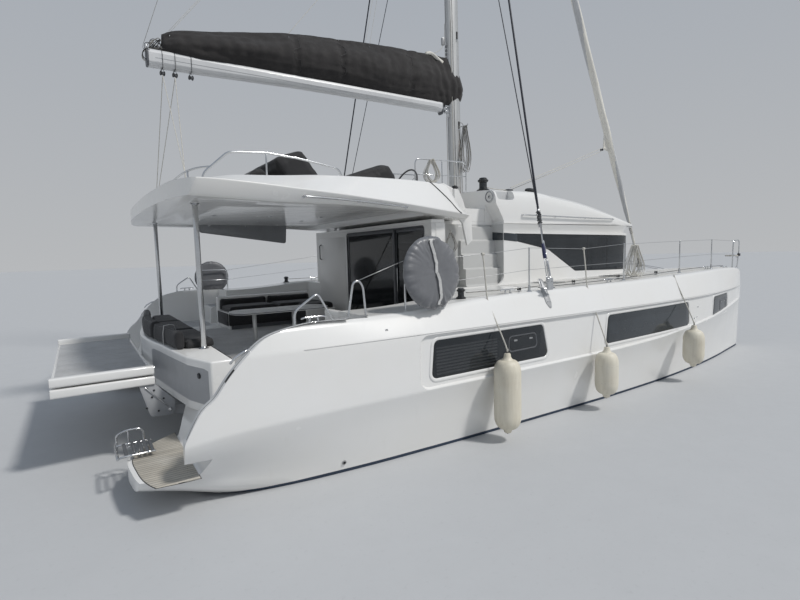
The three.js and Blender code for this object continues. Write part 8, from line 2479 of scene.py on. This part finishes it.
# ---------- shrouds ----------
def make_shrouds():
    for side, s in SIDES:
        c = Vector((-1.48, s * 3.965, 2.18))
        for k, (z, dx) in enumerate(((17.6, -.035), (13.9, .035))):
            a = c + Vector((dx, 0, 0))
            b = Vector((mast_x(z), s * .114, z))
            d = (b - a).normalized()
            P = lambda t: a + d * t
            u = Vector((1, 0, 0)) - d * d.x
            u.normalize()
            Lw = (b - a).length
            if k == 0:
                # open screw frame under tape, rod, shackled terminal with its lashing, then the sleeved stay
                put(f"shroud_wire_{side}_{k}", tube_mesh([P(1.16), P(1.20), P(6), P(Lw - .30), P(Lw - .28), b], .016, 10, radii=[.010, .0175, .0165, .0165, .008, .007]), COVER, slot="stainless", deg=60, replaces=["shrouds_" + side])
                put(f"turnbuckle_{side}_{k}", merge([tube_mesh([P(.0), P(.07)], .0105, 12), tube_mesh([P(.06) - u * .024, P(.09) - u * .024, P(.09) + u * .024, P(.06) + u * .024], .011, 8)] + [tube_mesh([P(.07) + u * q, P(.40) + u * q * .8], .0075, 10) for q in (-.021, .021)] + [tube_mesh([P(.60), P(.64), P(.90), P(.93)], .011, 12, radii=[.009, .0115, .0095, .012])]), STEEL, slot="stainless", deg=50)
                put(f"shroud_cover_{side}_{k}", tube_mesh([P(.385), P(.40), P(.47), P(.56), P(.62), P(.635)], .026, 16, radii=[.012, .027, .0285, .0265, .022, .010]), COVER_BLUE, deg=60)
                rope = []
                for i in range(130):
                    an = i / 12 * 2 * math.pi
                    tt = .955 + .205 * i / 129
                    rope.append(P(tt) + (u * math.cos(an) + d.cross(u) * math.sin(an)) * (.030 + .006 * math.sin(i * .21)))
                put(f"shroud_tape_{side}", tube_mesh(rope, .0062, 6), ROPE_DARK, deg=60)
                put(f"shroud_terminal_{side}", merge([tube_mesh([P(.91), P(.93), P(1.19), P(1.21)], .02, 14, radii=[.014, .024, .023, .012]), rbox(*lo_hi(1, P(.93).x - .030, P(.93).x + .030), *lo_hi(1, P(.93).y - .016, P(.93).y + .016), P(.93).z - .03, P(.93).z + .03, .010, bevel=.004), tube_mesh([P(1.10) - u * .045, P(1.10) + u * .045], .008, 10), tube_mesh([P(.99) - u * .042, P(.99) + u * .042], .008, 10)]), STEEL_DULL, slot="stainless", deg=50)
            else:
                put(f"shroud_wire_{side}_{k}", tube_mesh([P(.62), P(.80), P(.84), P(6), P(Lw - .4), b], .0085, 8, radii=[.0060, .0060, .0090, .0085, .0085, .0060]), COVER, slot="stainless", deg=60)
                put(f"turnbuckle_{side}_{k}", merge([tube_mesh([P(.0), P(.10)], .0095, 12), tube_mesh([P(.10), P(.12), P(.36), P(.38)], .015, 14, radii=[.010, .0155, .0155, .010]), tube_mesh([P(.38), P(.50)], .0085, 12), tube_mesh([P(.50), P(.52), P(.68), P(.70)], .011, 12, radii=[.009, .0115, .0105, .0065])]), STEEL, slot="stainless", deg=50)
                put(f"split_pins_{side}_{k}", merge([ring_tube_at(P(t), d, .017, .0018) for t in (.125, .355)]), STEEL_DULL, deg=60)
            put(f"mast_tang_{side}_{k}", rbox(b.x - .022, b.x + .022, *lo_hi(s, .086, .118), b.z - .06, b.z + .05, .012, axis="y", bevel=.003), STEEL, slot="stainless")
        # chainplate: long leaf bolted to the side, with the clevis block above the deck edge
        leaf = fillet([(-1.525, 2.235), (-1.435, 2.235), (-1.415, 2.05), (-1.425, 1.86), (-1.48, 1.745), (-1.545, 1.86), (-1.545, 2.05)], .03, 5)
        y = lambda z: 3.0 + (HF[3](-1.48) + (HF[4](-1.48) - HF[3](-1.48)) * max(0, (z - 1.65)) / (HF[5](-1.48) - 1.65))
        rings = []
        for off, ins in ((-.006, .0), (.003, .0), (.006, .003)):
            rings.append([(x, s * (y(z) + off + .004), z) for x, z in offset(leaf, ins)])
        put("chainplate_" + side, loft(rings), STEEL_DULL, slot="stainless", deg=40)
        put("chainplate_bolts_" + side, merge([lathe_mesh([(0, 0), (.010, 0), (.009, .005), (0, .007)], (-1.482 + dx, s * (y(z) + .009), z), (0, s, .4), 12) for z, dx in ((1.80, 0), (1.88, -.02), (1.88, .03), (1.97, .0), (2.04, -.03), (2.04, .035))]), STEEL)
        put("shroud_clevis_" + side, merge([rbox(-1.538, -1.422, *lo_hi(s, 3.930, 3.986), 2.062, 2.255, .022, axis="x", bevel=.006), tube_mesh([(-1.60, s * 3.957, 2.09), (-1.36, s * 3.957, 2.09)], .014, 12), tube_mesh([(-1.515, s * 3.92, 2.20), (-1.515, s * 3.995, 2.20)], .011, 12), tube_mesh([(-1.445, s * 3.92, 2.20), (-1.445, s * 3.995, 2.20)], .011, 12)]), STEEL, slot="stainless", deg=50)


COVER_BLUE = plastic("shroud_tape_blue", (0.030, 0.036, 0.105), 0.55, 0.25, worn=(0.07, 0.075, 0.14))
COVER = plastic("shroud_cover", (0.014, 0.017, 0.030), 0.5, 0.2, worn=(0.05, 0.055, 0.07))
make_shrouds()


# ---------- rails round the deck ----------
def wire_run(name, pts, r=.0035, mat=None, replaces=()):
    return put(name, tube_mesh(pts, r, 8), mat or STEEL_DULL, slot="stainless", deg=60, replaces=replaces)


def foot_ring(p, k=1.0):
    return lathe_mesh([(0, 0), (.034 * k, 0), (.034 * k, .005), (.019 * k, .016), (.019 * k, .045), (0, .045)], p, (0, 0, 1), 20)


def make_rails():
    for side, s in SIDES:
        m = lambda pts: [(x, s * y, z) for x, y, z in pts]
        low = m([(-5.65, 3.895, 1.890), (-5.65, 3.895, 2.075), (-5.36, 3.890, 2.268), (-5.15, 3.880, 1.890)])
        feet = [lathe_mesh([(0, 0), (.030, 0), (.030, .005), (.018, .016), (0, .016)], (x, s * y, z), (0, 0, 1), 20) for x, y, z in ((-5.65, 3.895, 1.905), (-5.15, 3.88, 1.925))]
        if s < 0:
            loop = m([(-4.96, 3.840, 1.90), (-4.87, 3.835, 2.355), (-4.79, 3.835, 2.382), (-4.73, 3.830, 2.30), (-4.70, 3.830, 1.90)])
            put("stern_rail_" + side, merge([tube_mesh(bent(low, .07), .0135, 14), tube_mesh(bent(loop, .05), .0135, 14)]), STEEL, slot="stainless", deg=60, replaces=["guardrail_" + side])
            put("stern_rail_strip_" + side, prism(fillet([(-5.18, -3.892), (-4.68, -3.842), (-4.68, -3.818), (-5.18, -3.868)], .008, 3), "z", 1.930, 1.950, .004), STEEL_DULL, slot="stainless")
            gate = m([(-4.08, 3.78, 1.89), (-4.08, 3.78, 2.61), (-3.40, 3.78, 2.61), (-3.40, 3.78, 1.93)])
            bar = m([(-4.08, 3.78, 2.27), (-3.40, 3.78, 2.28)])
            wire_run("stern_wire_" + side, m([(-4.79, 3.835, 2.38), (-4.08, 3.78, 2.60)]), .0035)
        else:
            put("stern_rail_" + side, tube_mesh(bent(low, .07), .0135, 14), STEEL, slot="stainless", deg=60, replaces=["guardrail_" + side])
            gate = [(-5.14, 3.88, 1.88), (-5.14, 3.88, 2.41), (-4.46, 3.83, 2.41), (-4.46, 3.83, 1.89)]
            bar = [(-5.14, 3.88, 2.16), (-4.46, 3.83, 2.16)]
        put("gate_frame_" + side, merge([tube_mesh(bent(gate, .09), .0128, 14), tube_mesh(bar, .009, 10)]), STEEL, slot="stainless", deg=60)
        starts = {.340: (-4.46, 3.83, 2.16) if s > 0 else (-3.40, -3.78, 2.28), .680: (-4.46, 3.83, 2.395) if s > 0 else (-3.40, -3.78, 2.615)}
        posts = [(-1.73, 3.770, 2.048), (.97, 3.650, 2.082), (3.28, 3.480, 2.125), (5.00, 3.330, 2.149)]
        parts, tops, feet = [], [], []
        for x, y, z in posts:
            p = Vector((x, s * y, z))
            parts.append(tube_mesh([p + Vector((0, 0, -.02)), p + Vector((0, 0, .675)), p + Vector((0, 0, .69))], .0125, 14, radii=[.0128, .0118, .0085]))
            tops.append(merge([ring_tube_at(p + Vector((0, 0, .680)), (1, 0, 0), .010, .0035), ring_tube_at(p + Vector((0, 0, .340)), (1, 0, 0), .0105, .003)]))
            feet.append(merge([lathe_mesh([(0, 0), (.045, 0), (.045, .006), (.022, .022), (.0185, .10), (0, .10)], p + Vector((0, 0, -.004)), (0, 0, 1), 22)]))
        put("stanchions_" + side, merge(parts), STEEL, slot="stainless", deg=50)
        put("stanchion_eyes_" + side, merge(tops), STEEL, slot="stainless", deg=60)
        put("stanchion_feet_" + side, merge(feet), STEEL, slot="stainless", deg=50)
        for k, h in enumerate((.340, .680)):
            pts = [starts[h]] + [(x, s * y, z + h) for x, y, z in posts] + [(6.42, s * 3.19, 2.12 + h)]
            if s < 0 and k == 1:
                pts = [pts[0], (-2.70, -3.772, 2.650), pts[1], (-.30, -3.706, 2.692)] + pts[2:]
            wire_run(f"lifeline_{side}_{k}", pts, .0034)
            ends = []
            for a, b in ((pts[0], pts[1]), (pts[-1], pts[-2])):
                a, b = Vector(a), Vector(b)
                d = (b - a).normalized()
                ends.append(tube_mesh([a + d * .01, a + d * .03, a + d * .15, a + d * .16], .006, 10, radii=[.004, .0068, .0068, .0045]))
            put(f"lifeline_screw_{side}_{k}", merge(ends), STEEL, slot="stainless", deg=60)
        pul = m([(6.40, 3.19, 2.08), (6.42, 3.19, 2.80), (6.95, 3.10, 2.82), (7.13, 3.03, 2.56), (7.08, 3.01, 2.03)])
        put("pulpit_" + side, merge([tube_mesh(bent(pul, .11), .0138, 14), tube_mesh(m([(6.415, 3.19, 2.46), (7.11, 3.02, 2.35)]), .0115, 12)]), STEEL, slot="stainless", deg=60)
        zz = [HF[5](6.40), HF[5](7.08)]
        put("pulpit_feet_" + side, merge([foot_ring((6.40, s * 3.19, 2.105)), foot_ring((7.08, s * 3.01, 2.085))]), STEEL, slot="stainless", deg=50)
        put("pulpit_seat_" + side, rbox(6.50, 6.86, *lo_hi(s, 2.96, 3.14), 2.405, 2.432, .03, bevel=.006), PLANK)
        put("running_light_" + side, merge([rbox(7.02, 7.10, *lo_hi(s, 3.035, 3.085), 2.40, 2.47, .012, bevel=.008)]), BLACK)
        # turning blocks along the deck edge, with their pads
        for k, (x, y) in enumerate(((-1.88, 3.70), (-.38, 3.56), (1.16, 3.41), (2.49, 3.41))):
            z = 2.02 + .018 * (x + 2.4)
            z = {0: 2.047, 1: 2.085, 2: 2.105, 3: 2.125}[k]
            block(f"deck_block_{side}_{k}", (x, s * y, z + .045), (0, 0, 1), .055, axis=(0, 1, 0), n=1.3)
            put(f"deck_block_pad_{side}_{k}", lathe_mesh([(0, 0), (.032, 0), (.032, .005), (.016, .012), (0, .012)], (x, s * y, z - .008), (0, 0, 1), 18), STEEL, slot="stainless")


make_rails()


def make_fly_rail():
    parts = []
    for s in (-1, 1):
        pts = [(x, s * 2.34, z) for x, z in ((-6.22, 3.69), (-6.19, 3.80), (-5.87, 4.09), (-5.36, 4.12), (-4.87, 4.08), (-4.26, 3.98), (-4.20, 3.84))]
        parts.append(tube_mesh(bent(pts, .07), .0155, 16))
        parts.append(tube_mesh([(-5.36, s * 2.34, 3.78), (-5.36, s * 2.34, 4.115)], .012, 12))
    parts.append(tube_mesh(spline([(-6.095, -2.34, 3.882), (-6.20, -2.22, 3.882), (-6.30, -1.9, 3.882), (-6.32, 0, 3.882), (-6.30, 1.9, 3.882), (-6.20, 2.22, 3.882), (-6.095, 2.34, 3.882)], .08), .0135, 16))
    for y in (-1.9, -.9, 0, .9, 1.9):
        parts.append(tube_mesh([(-6.305 if abs(y) > 1 else -6.318, y, 3.62), (-6.305 if abs(y) > 1 else -6.318, y, 3.88)], .0122, 12))
    put("flybridge_rail", merge(parts), STEEL, slot="stainless", deg=60, replaces=["flybridge_rail_aft"])
    put("flybridge_rail_feet", merge([lathe_mesh([(0, 0), (.032, 0), (.032, .005), (.017, .014), (0, .014)], (-6.305 if abs(y) > 1 else -6.318, y, 3.672), (0, 0, 1), 18) for y in (-1.9, -.9, 0, .9, 1.9)]), STEEL, slot="stainless")


make_fly_rail()


# ---------- steering wheel ----------
def make_wheel():
    B = "wheel_body"
    c = Vector((-2.15, -.95, 3.955))
    ax = Vector((-.94, 0, .34)).normalized()
    u = Vector((0, 1, 0))
    v = ax.cross(u).normalized()
    P = lambda a, r, t=0: c + (u * math.cos(a) + v * math.sin(a)) * r + ax * t
    N = 120
    rim = [P(2 * math.pi * i / N, .400) for i in range(N)]
    put("wheel_rim_tube", tube_mesh(rim, .0165, 16, closed=True), RIM, body=B, slot="wheel_rim", deg=60, replaces=["steering_wheel"])
    # hand-sewn seam inside the rim, turk's head at the top spoke
    put("wheel_rim_seam", tube_mesh([P(2 * math.pi * i / 240, .3838 + .0010 * (i % 2)) for i in range(240)], .0011, 5, closed=True), PIPING, body=B, deg=60)
    a0 = math.pi / 2
    tw = []
    for i in range(90):
        t = i / 89
        ph = t * 2 * math.pi * 7
        a = a0 + (t - .5) * .075
        q = P(a, .400)
        rad = (q - c).normalized()
        tw.append(q + rad * .0182 * math.cos(ph) + ax * .0182 * math.sin(ph))
    put("wheel_king_spoke", tube_mesh(tw, .0022, 6), ROPE_RED, body=B, deg=60)
    sp = []
    for k in range(3):
        a = math.pi / 2 + k * 2 * math.pi / 3
        for da in (-.10, .10):
            sp.append(tube_mesh(spline([P(a + da * 2.6, .022, .0), P(a + da * 1.4, .19, .004), P(a + da, .388, 0)], .02), .0062, 10))
    put("wheel_spokes", merge(sp), STEEL, body=B, slot="stainless", deg=60)
    put("wheel_hub", lathe_mesh([(0, .040), (.012, .040), (.014, .034), (.024, .032), (.034, .024), (.036, .012), (.036, -.012), (.030, -.020), (.022, -.026), (.022, -.222), (0, -.222)], c, ax, 36), STEEL, body=B, slot="stainless")
    put("wheel_nut", lathe_mesh([(0, .052), (.008, .052), (.010, .048), (.010, .040), (0, .040)], c, ax, 6), STEEL_DULL, body=B, deg=20)


RIM = cloth("wheel_leather", (0.030, 0.030, 0.033), 0.55, fold=0.0002)
make_wheel()


# ---------- fenders ----------
def make_fenders():
    for nm, x, y, z0, z1, r, top in (("fender_aft", -2.70, -4.248, .15, 1.21, .19, (-2.70, -3.772, 2.650)), ("fender_middle", -.40, -4.243, .24, 1.01, .185, (-.30, -3.706, 2.690)), ("fender_forward", 2.45, -4.225, .34, 1.08, .19, (2.45, -3.80, 2.10))):
        k = r / .19
        prof = [(0, z0 - .028), (.040, z0 - .026), (.052, z0 - .016), (.060, z0 + .012), (.075, z0 + .030)]
        n = 12
        for i in range(n + 1):
            t = i / n
            prof.append((.085 + (r - .085) * math.sin(t * math.pi / 2) ** .9, z0 + .040 + .19 * (1 - math.cos(t * math.pi / 2))))
        prof2 = [(q, z0 + z1 - z) for q, z in reversed(prof)]
        prof = [p for p in prof if p[0] <= r] + [(r, (z0 + z1) / 2 - .1), (r * 1.0, (z0 + z1) / 2 + .1)] + prof2
        # neck and eye at the top
        prof = prof[:-3] + [(.060, z1 - .012), (.050, z1 + .008), (.046, z1 + .040), (.040, z1 + .054), (0, z1 + .058)]
        put(nm + "_skin", lathe_mesh(prof, (x, y, 0), (0, 0, 1), 64), FENDER, slot="fender_skin", deg=50, replaces=[nm])
        put(nm + "_ribs", merge([lathe_mesh([(q - .004, z - .010), (q + .0005, z - .006), (q + .0015, z), (q + .0005, z + .006), (q - .004, z + .010)], (x, y, 0), (0, 0, 1), 64) for q, z in ((r * .992, z1 - .245), (r * .992, z0 + .245))]), FENDER_BAND, deg=50)
        put(nm + "_eye", merge([ring_tube_at((x, y, z1 + .070), (0, 1, 0), .017, .006), ring_tube_at((x, y, z0 - .030), (0, 1, 0), .012, .005)]), FENDER_BAND, deg=60)
        # lanyard: from the eye up over the deck edge to a fitting on deck
        tx, ty, tz = top
        zk = HF[1](x)
        edge_y = -(3.0 + HF[4](x)) - .006
        pts = [(x, y, z1 + .078), (x, y + .02, z1 + .14), (x + .004, edge_y - .012, HF[5](x) - .06), (x + .004, edge_y + .010, HF[5](x) + .010), ((x + tx) / 2, (edge_y + ty) / 2, (HF[5](x) + tz) / 2), (tx, ty, tz)]
        rope_run(nm + "_lanyard", pts, .0105, ROPE, step=.02)
        if tz > 2.4:
            put(nm + "_hitch", merge([ring_tube_at((tx + q, ty, tz + .004), (1, 0, 0), .013, .0095) for q in (-.016, 0, .016)]), ROPE, deg=60)
        put(nm + "_knot", merge([tube_mesh([(x + .011 * math.cos(a), y + .011 * math.sin(a), z1 + .082 + .008 * i / 8) for i, a in enumerate([2 * math.pi * q / 8 for q in range(33)])], .0055, 8)]), ROPE, deg=60)


FENDER_BAND = plastic("fender_band", (0.050, 0.052, 0.056), 0.5, 0.2, worn=(0.12, 0.12, 0.12))
make_fenders()


# ---------- bow: crossbeam, striker, longeron ----------
def make_bow():
    N = 28
    prof = pchip([-2.86, -2.70, -2.2, 0, 2.2, 2.70, 2.86], [.094, .094, .088, .086, .088, .094, .094])
    rings = []
    ys = [-2.86, -2.845] + [-2.7 + .15 * i for i in range(37)] + [2.845, 2.86]
    for y in sorted(set(round(q, 3) for q in ys)):
        r = prof(y) - (.004 if abs(y) > 2.85 else 0)
        rings.append([(6.7 + r * math.cos(a), y, 1.80 + r * math.sin(a)) for a in [2 * math.pi * k / N for k in range(N)]])
    put("crossbeam_tube", loft(rings), ALLOY, slot="alloy", deg=50, replaces=["crossbeam"])
    put("crossbeam_collars", merge([lathe_mesh([(.088, -.05), (.0945, -.048), (.0945, .048), (.088, .05), (.088, -.05)], (6.7, y, 1.80), (0, 1, 0), 40) for y in (-2.60, -.5, .5, 2.60)]), ALLOY_BOOM, slot="alloy")
    st = [tube_mesh([(6.7, -2.60, 1.845), (6.7, -.505, 2.188)], .0085, 10), tube_mesh([(6.7, 2.60, 1.845), (6.7, .505, 2.188)], .0085, 10), tube_mesh([(6.7, -.51, 2.19), (6.7, .51, 2.19)], .0115, 12)]
    put("striker_rod", merge(st), STEEL, slot="stainless", deg=60)
    put("striker_posts", merge([tube_mesh([(6.7, y, 1.86), (6.7, y, 2.17), (6.7, y, 2.19)], .023, 16, radii=[.0245, .019, .015]) for y in (-.5, .5)]), ALLOY_BOOM, slot="alloy", deg=50)
    put("striker_ends", merge([lathe_mesh([(0, -.02), (.016, -.02), (.018, -.008), (.018, .008), (.016, .02), (0, .02)], (6.7, y, z), (0, 1, 0), 20) for y, z in ((-.5, 2.190), (.5, 2.190), (-2.60, 1.858), (2.60, 1.858))]), STEEL, slot="stainless")
    # longeron with its anchor roller and chain channel
    ax_ = pchip([4.425, 6.70, 7.76], [1.33, 1.50, 1.78])
    az_ = pchip([4.425, 6.70, 7.76], [1.60, 1.703, 1.90])
    aw_ = pchip([4.425, 6.70, 7.76], [.15, .12, .08])
    rings = []
    for x in [4.425 + (7.76 - 4.425) * i / 48 for i in range(49)]:
        z0, z1, w = ax_(x), az_(x), aw_(x)
        q = fillet([(-w * .72, z0), (w * .72, z0), (w, z0 + (z1 - z0) * .45), (w, z1), (-w, z1), (-w, z0 + (z1 - z0) * .45)], [.035, .035, .03, .012, .012, .03], 4)
        rings.append([(x, y, z) for y, z in q])
    put("longeron_beam", loft(rings), GEL, slot="gelcoat", deg=45, replaces=["longeron"])
    ch = []
    for x in [4.50 + (7.62 - 4.50) * i / 30 for i in range(31)]:
        z = az_(x)
        ch.append([(x, -.050, z + .012), (x, -.044, z + .012), (x, -.044, z + .002), (x, .044, z + .002), (x, .044, z + .012), (x, .050, z + .012), (x, .050, z - .003), (x, -.050, z - .003)])
    put("chain_channel", loft(ch), STEEL_DULL, slot="stainless")
    put("anchor_roller", merge([lathe_mesh([(0, -.045), (.040, -.045), (.030, -.012), (.028, 0), (.030, .012), (.040, .045), (0, .045)], (7.40, 0, az_(7.4) - .005), (0, 1, 0), 28)]), BLACK)
    put("roller_cheeks", merge([prism(fillet([(7.30, az_(7.3) + .0), (7.50, az_(7.5) + .0), (7.46, az_(7.4) + .055), (7.34, az_(7.35) + .055)], .02, 3), "y", *lo_hi(s, .050, .056), .001) for s in (-1, 1)] + [tube_mesh([(7.40, -.060, az_(7.4) - .005), (7.40, .060, az_(7.4) - .005)], .008, 12)]), STEEL, slot="stainless")
    # chain lying in the channel
    links = []
    x = 4.62
    i = 0
    while x < 7.36:
        z = az_(x) + .0085
        d = Vector((1, 0, (az_(x + .03) - az_(x)) / .03)).normalized()
        side = Vector((0, 1, 0)) if i % 2 else Vector((0, .7, .7)).normalized()
        c = Vector((x, .002 * math.sin(x * 9), z + .003))
        L, w = .0165, .0085
        loop_ = [c + d * (L * math.cos(a)) + side * (w * math.sin(a)) for a in [2 * math.pi * k / 10 for k in range(10)]]
        links.append(tube_mesh(loop_, .0040, 5, closed=True))
        x += .0245
        i += 1
    put("anchor_chain", merge(links), STEEL_DULL, deg=60)
    put("forestay_bracket", prism(fillet([(7.50, az_(7.5) - .03), (7.72, az_(7.72) - .03), (7.66, 1.875), (7.54, 1.875)], .02, 3), "y", -.030, .030, .004), STEEL_DULL, slot="stainless")


make_bow()


# ---------- lines and winches on deck ----------
def make_deck_gear():
    for side, s in SIDES:
        z = brow_z(-1.02, 1.9)
        # genoa sheet from the turning block on the deck edge aft to the cockpit winch, taut along the side deck
        rope_run("genoa_sheet_" + side, [(1.16, s * 3.41, 2.155), (-.38, s * 3.56, 2.135), (-1.88, s * 3.70, 2.100), (-2.92, s * 3.645, 2.10)], .0062, ROPE_GREY, step=.5)
        winch("cockpit_winch_" + side, (-2.98, s * 3.60, HF[5](-2.98) + .004), 1.0)
    # spare sheet made up on the foredeck guard rail
    hank("sheet_coil", [(1.36, -3.44, 2.115), (1.38, -3.50, 2.30), (1.42, -3.56, 2.62)], (1.46, -3.565, 2.74), (1, 0, 0), (0, 1, 0), .42, .60, 8, .014, ROPE, seed=12)


make_deck_gear()


# ---------- floor ----------
def make_floor():
    bm = bmesh.new()
    bmesh.ops.create_circle(bm, cap_ends=True, radius=220, segments=96)
    me = bpy.data.meshes.new("floor")
    bm.to_mesh(me)
    bm.free()
    me.materials.append(FLOOR)
    ob = bpy.data.objects.new("floor", me)
    SC.collection.objects.link(ob)
    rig.stage(ob)


make_floor()

# ---------- finish of the CAD nodes that stay ----------
KEEP = {
    "hull_starboard": GEL, "hull_port": GEL, "bridgedeck": GEL, "coachroof_walls": GEL, "coachroof_top": GEL, "flybridge_deck": GEL,
    "aft_bench": GEL, "cockpit_sofa": GEL, "foredeck_hatch_starboard": GEL, "foredeck_hatch_port": GEL, "lift_platform": GEL,
    "aft_bulkhead": GREY_LIGHT, "cockpit_table": GREY, "lift_arms": GREY,
    "engine_hatch_starboard": TREAD, "engine_hatch_port": TREAD,
    "side_window_starboard": GLASS, "side_window_port": GLASS, "front_window": GLASS, "saloon_door_fixed": GLASS_DOOR, "saloon_door": GLASS_DOOR,
    "roof_post_starboard": STEEL, "roof_post_port": STEEL, "flybridge_rail_aft": STEEL, "guardrail_starboard": STEEL, "guardrail_port": STEEL,
    "shrouds_starboard": STEEL, "shrouds_port": STEEL, "swim_ladder": STEEL, "mast": ALLOY, "boom": ALLOY_BOOM, "crossbeam": ALLOY, "longeron": ALLOY,
    "sail_bag": CANVAS, "rescue_pack_starboard": PACK, "rescue_pack_port": PACK, "helm_seat": SEAT, "flybridge_sunpad": SEAT,
    "bench_cushions": SEAT, "sofa_cushions": SEAT, "saloon_dinette": SEAT, "keel_starboard": ANTIFOUL, "keel_port": ANTIFOUL,
    "rudder_starboard": ANTIFOUL, "rudder_port": ANTIFOUL, "saildrive_starboard": ANTIFOUL, "saildrive_port": ANTIFOUL,
    "fender_aft": FENDER, "fender_middle": FENDER, "fender_forward": FENDER, "furled_genoa": SAIL, "steering_wheel": BLACK,
    "propeller_starboard": BRONZE, "propeller_port": BRONZE, "galley_unit": WOOD, "saloon_table": WOOD,
    "trampoline_starboard": NETTING, "trampoline_port": NETTING, "engine_starboard": ENGINE, "engine_port": ENGINE,
}


def keep_nodes():
    for name, ob in frame["nodes"].items():
        if ob.hide_render:
            continue
        me = ob.data
        me.materials.clear()
        me.materials.append(KEEP[name])
        w = ob.modifiers.new("weld", "WELD")
        w.merge_threshold = 2e-4
        d = ob.modifiers.new("flat", "DECIMATE")
        d.decimate_type, d.angle_limit = "DISSOLVE", math.radians(0.5)


keep_nodes()

made = [list(v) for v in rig.bounds()]
with open("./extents.json", "w") as handle:
    json.dump({"cad": cad_box, "visual": made}, handle)
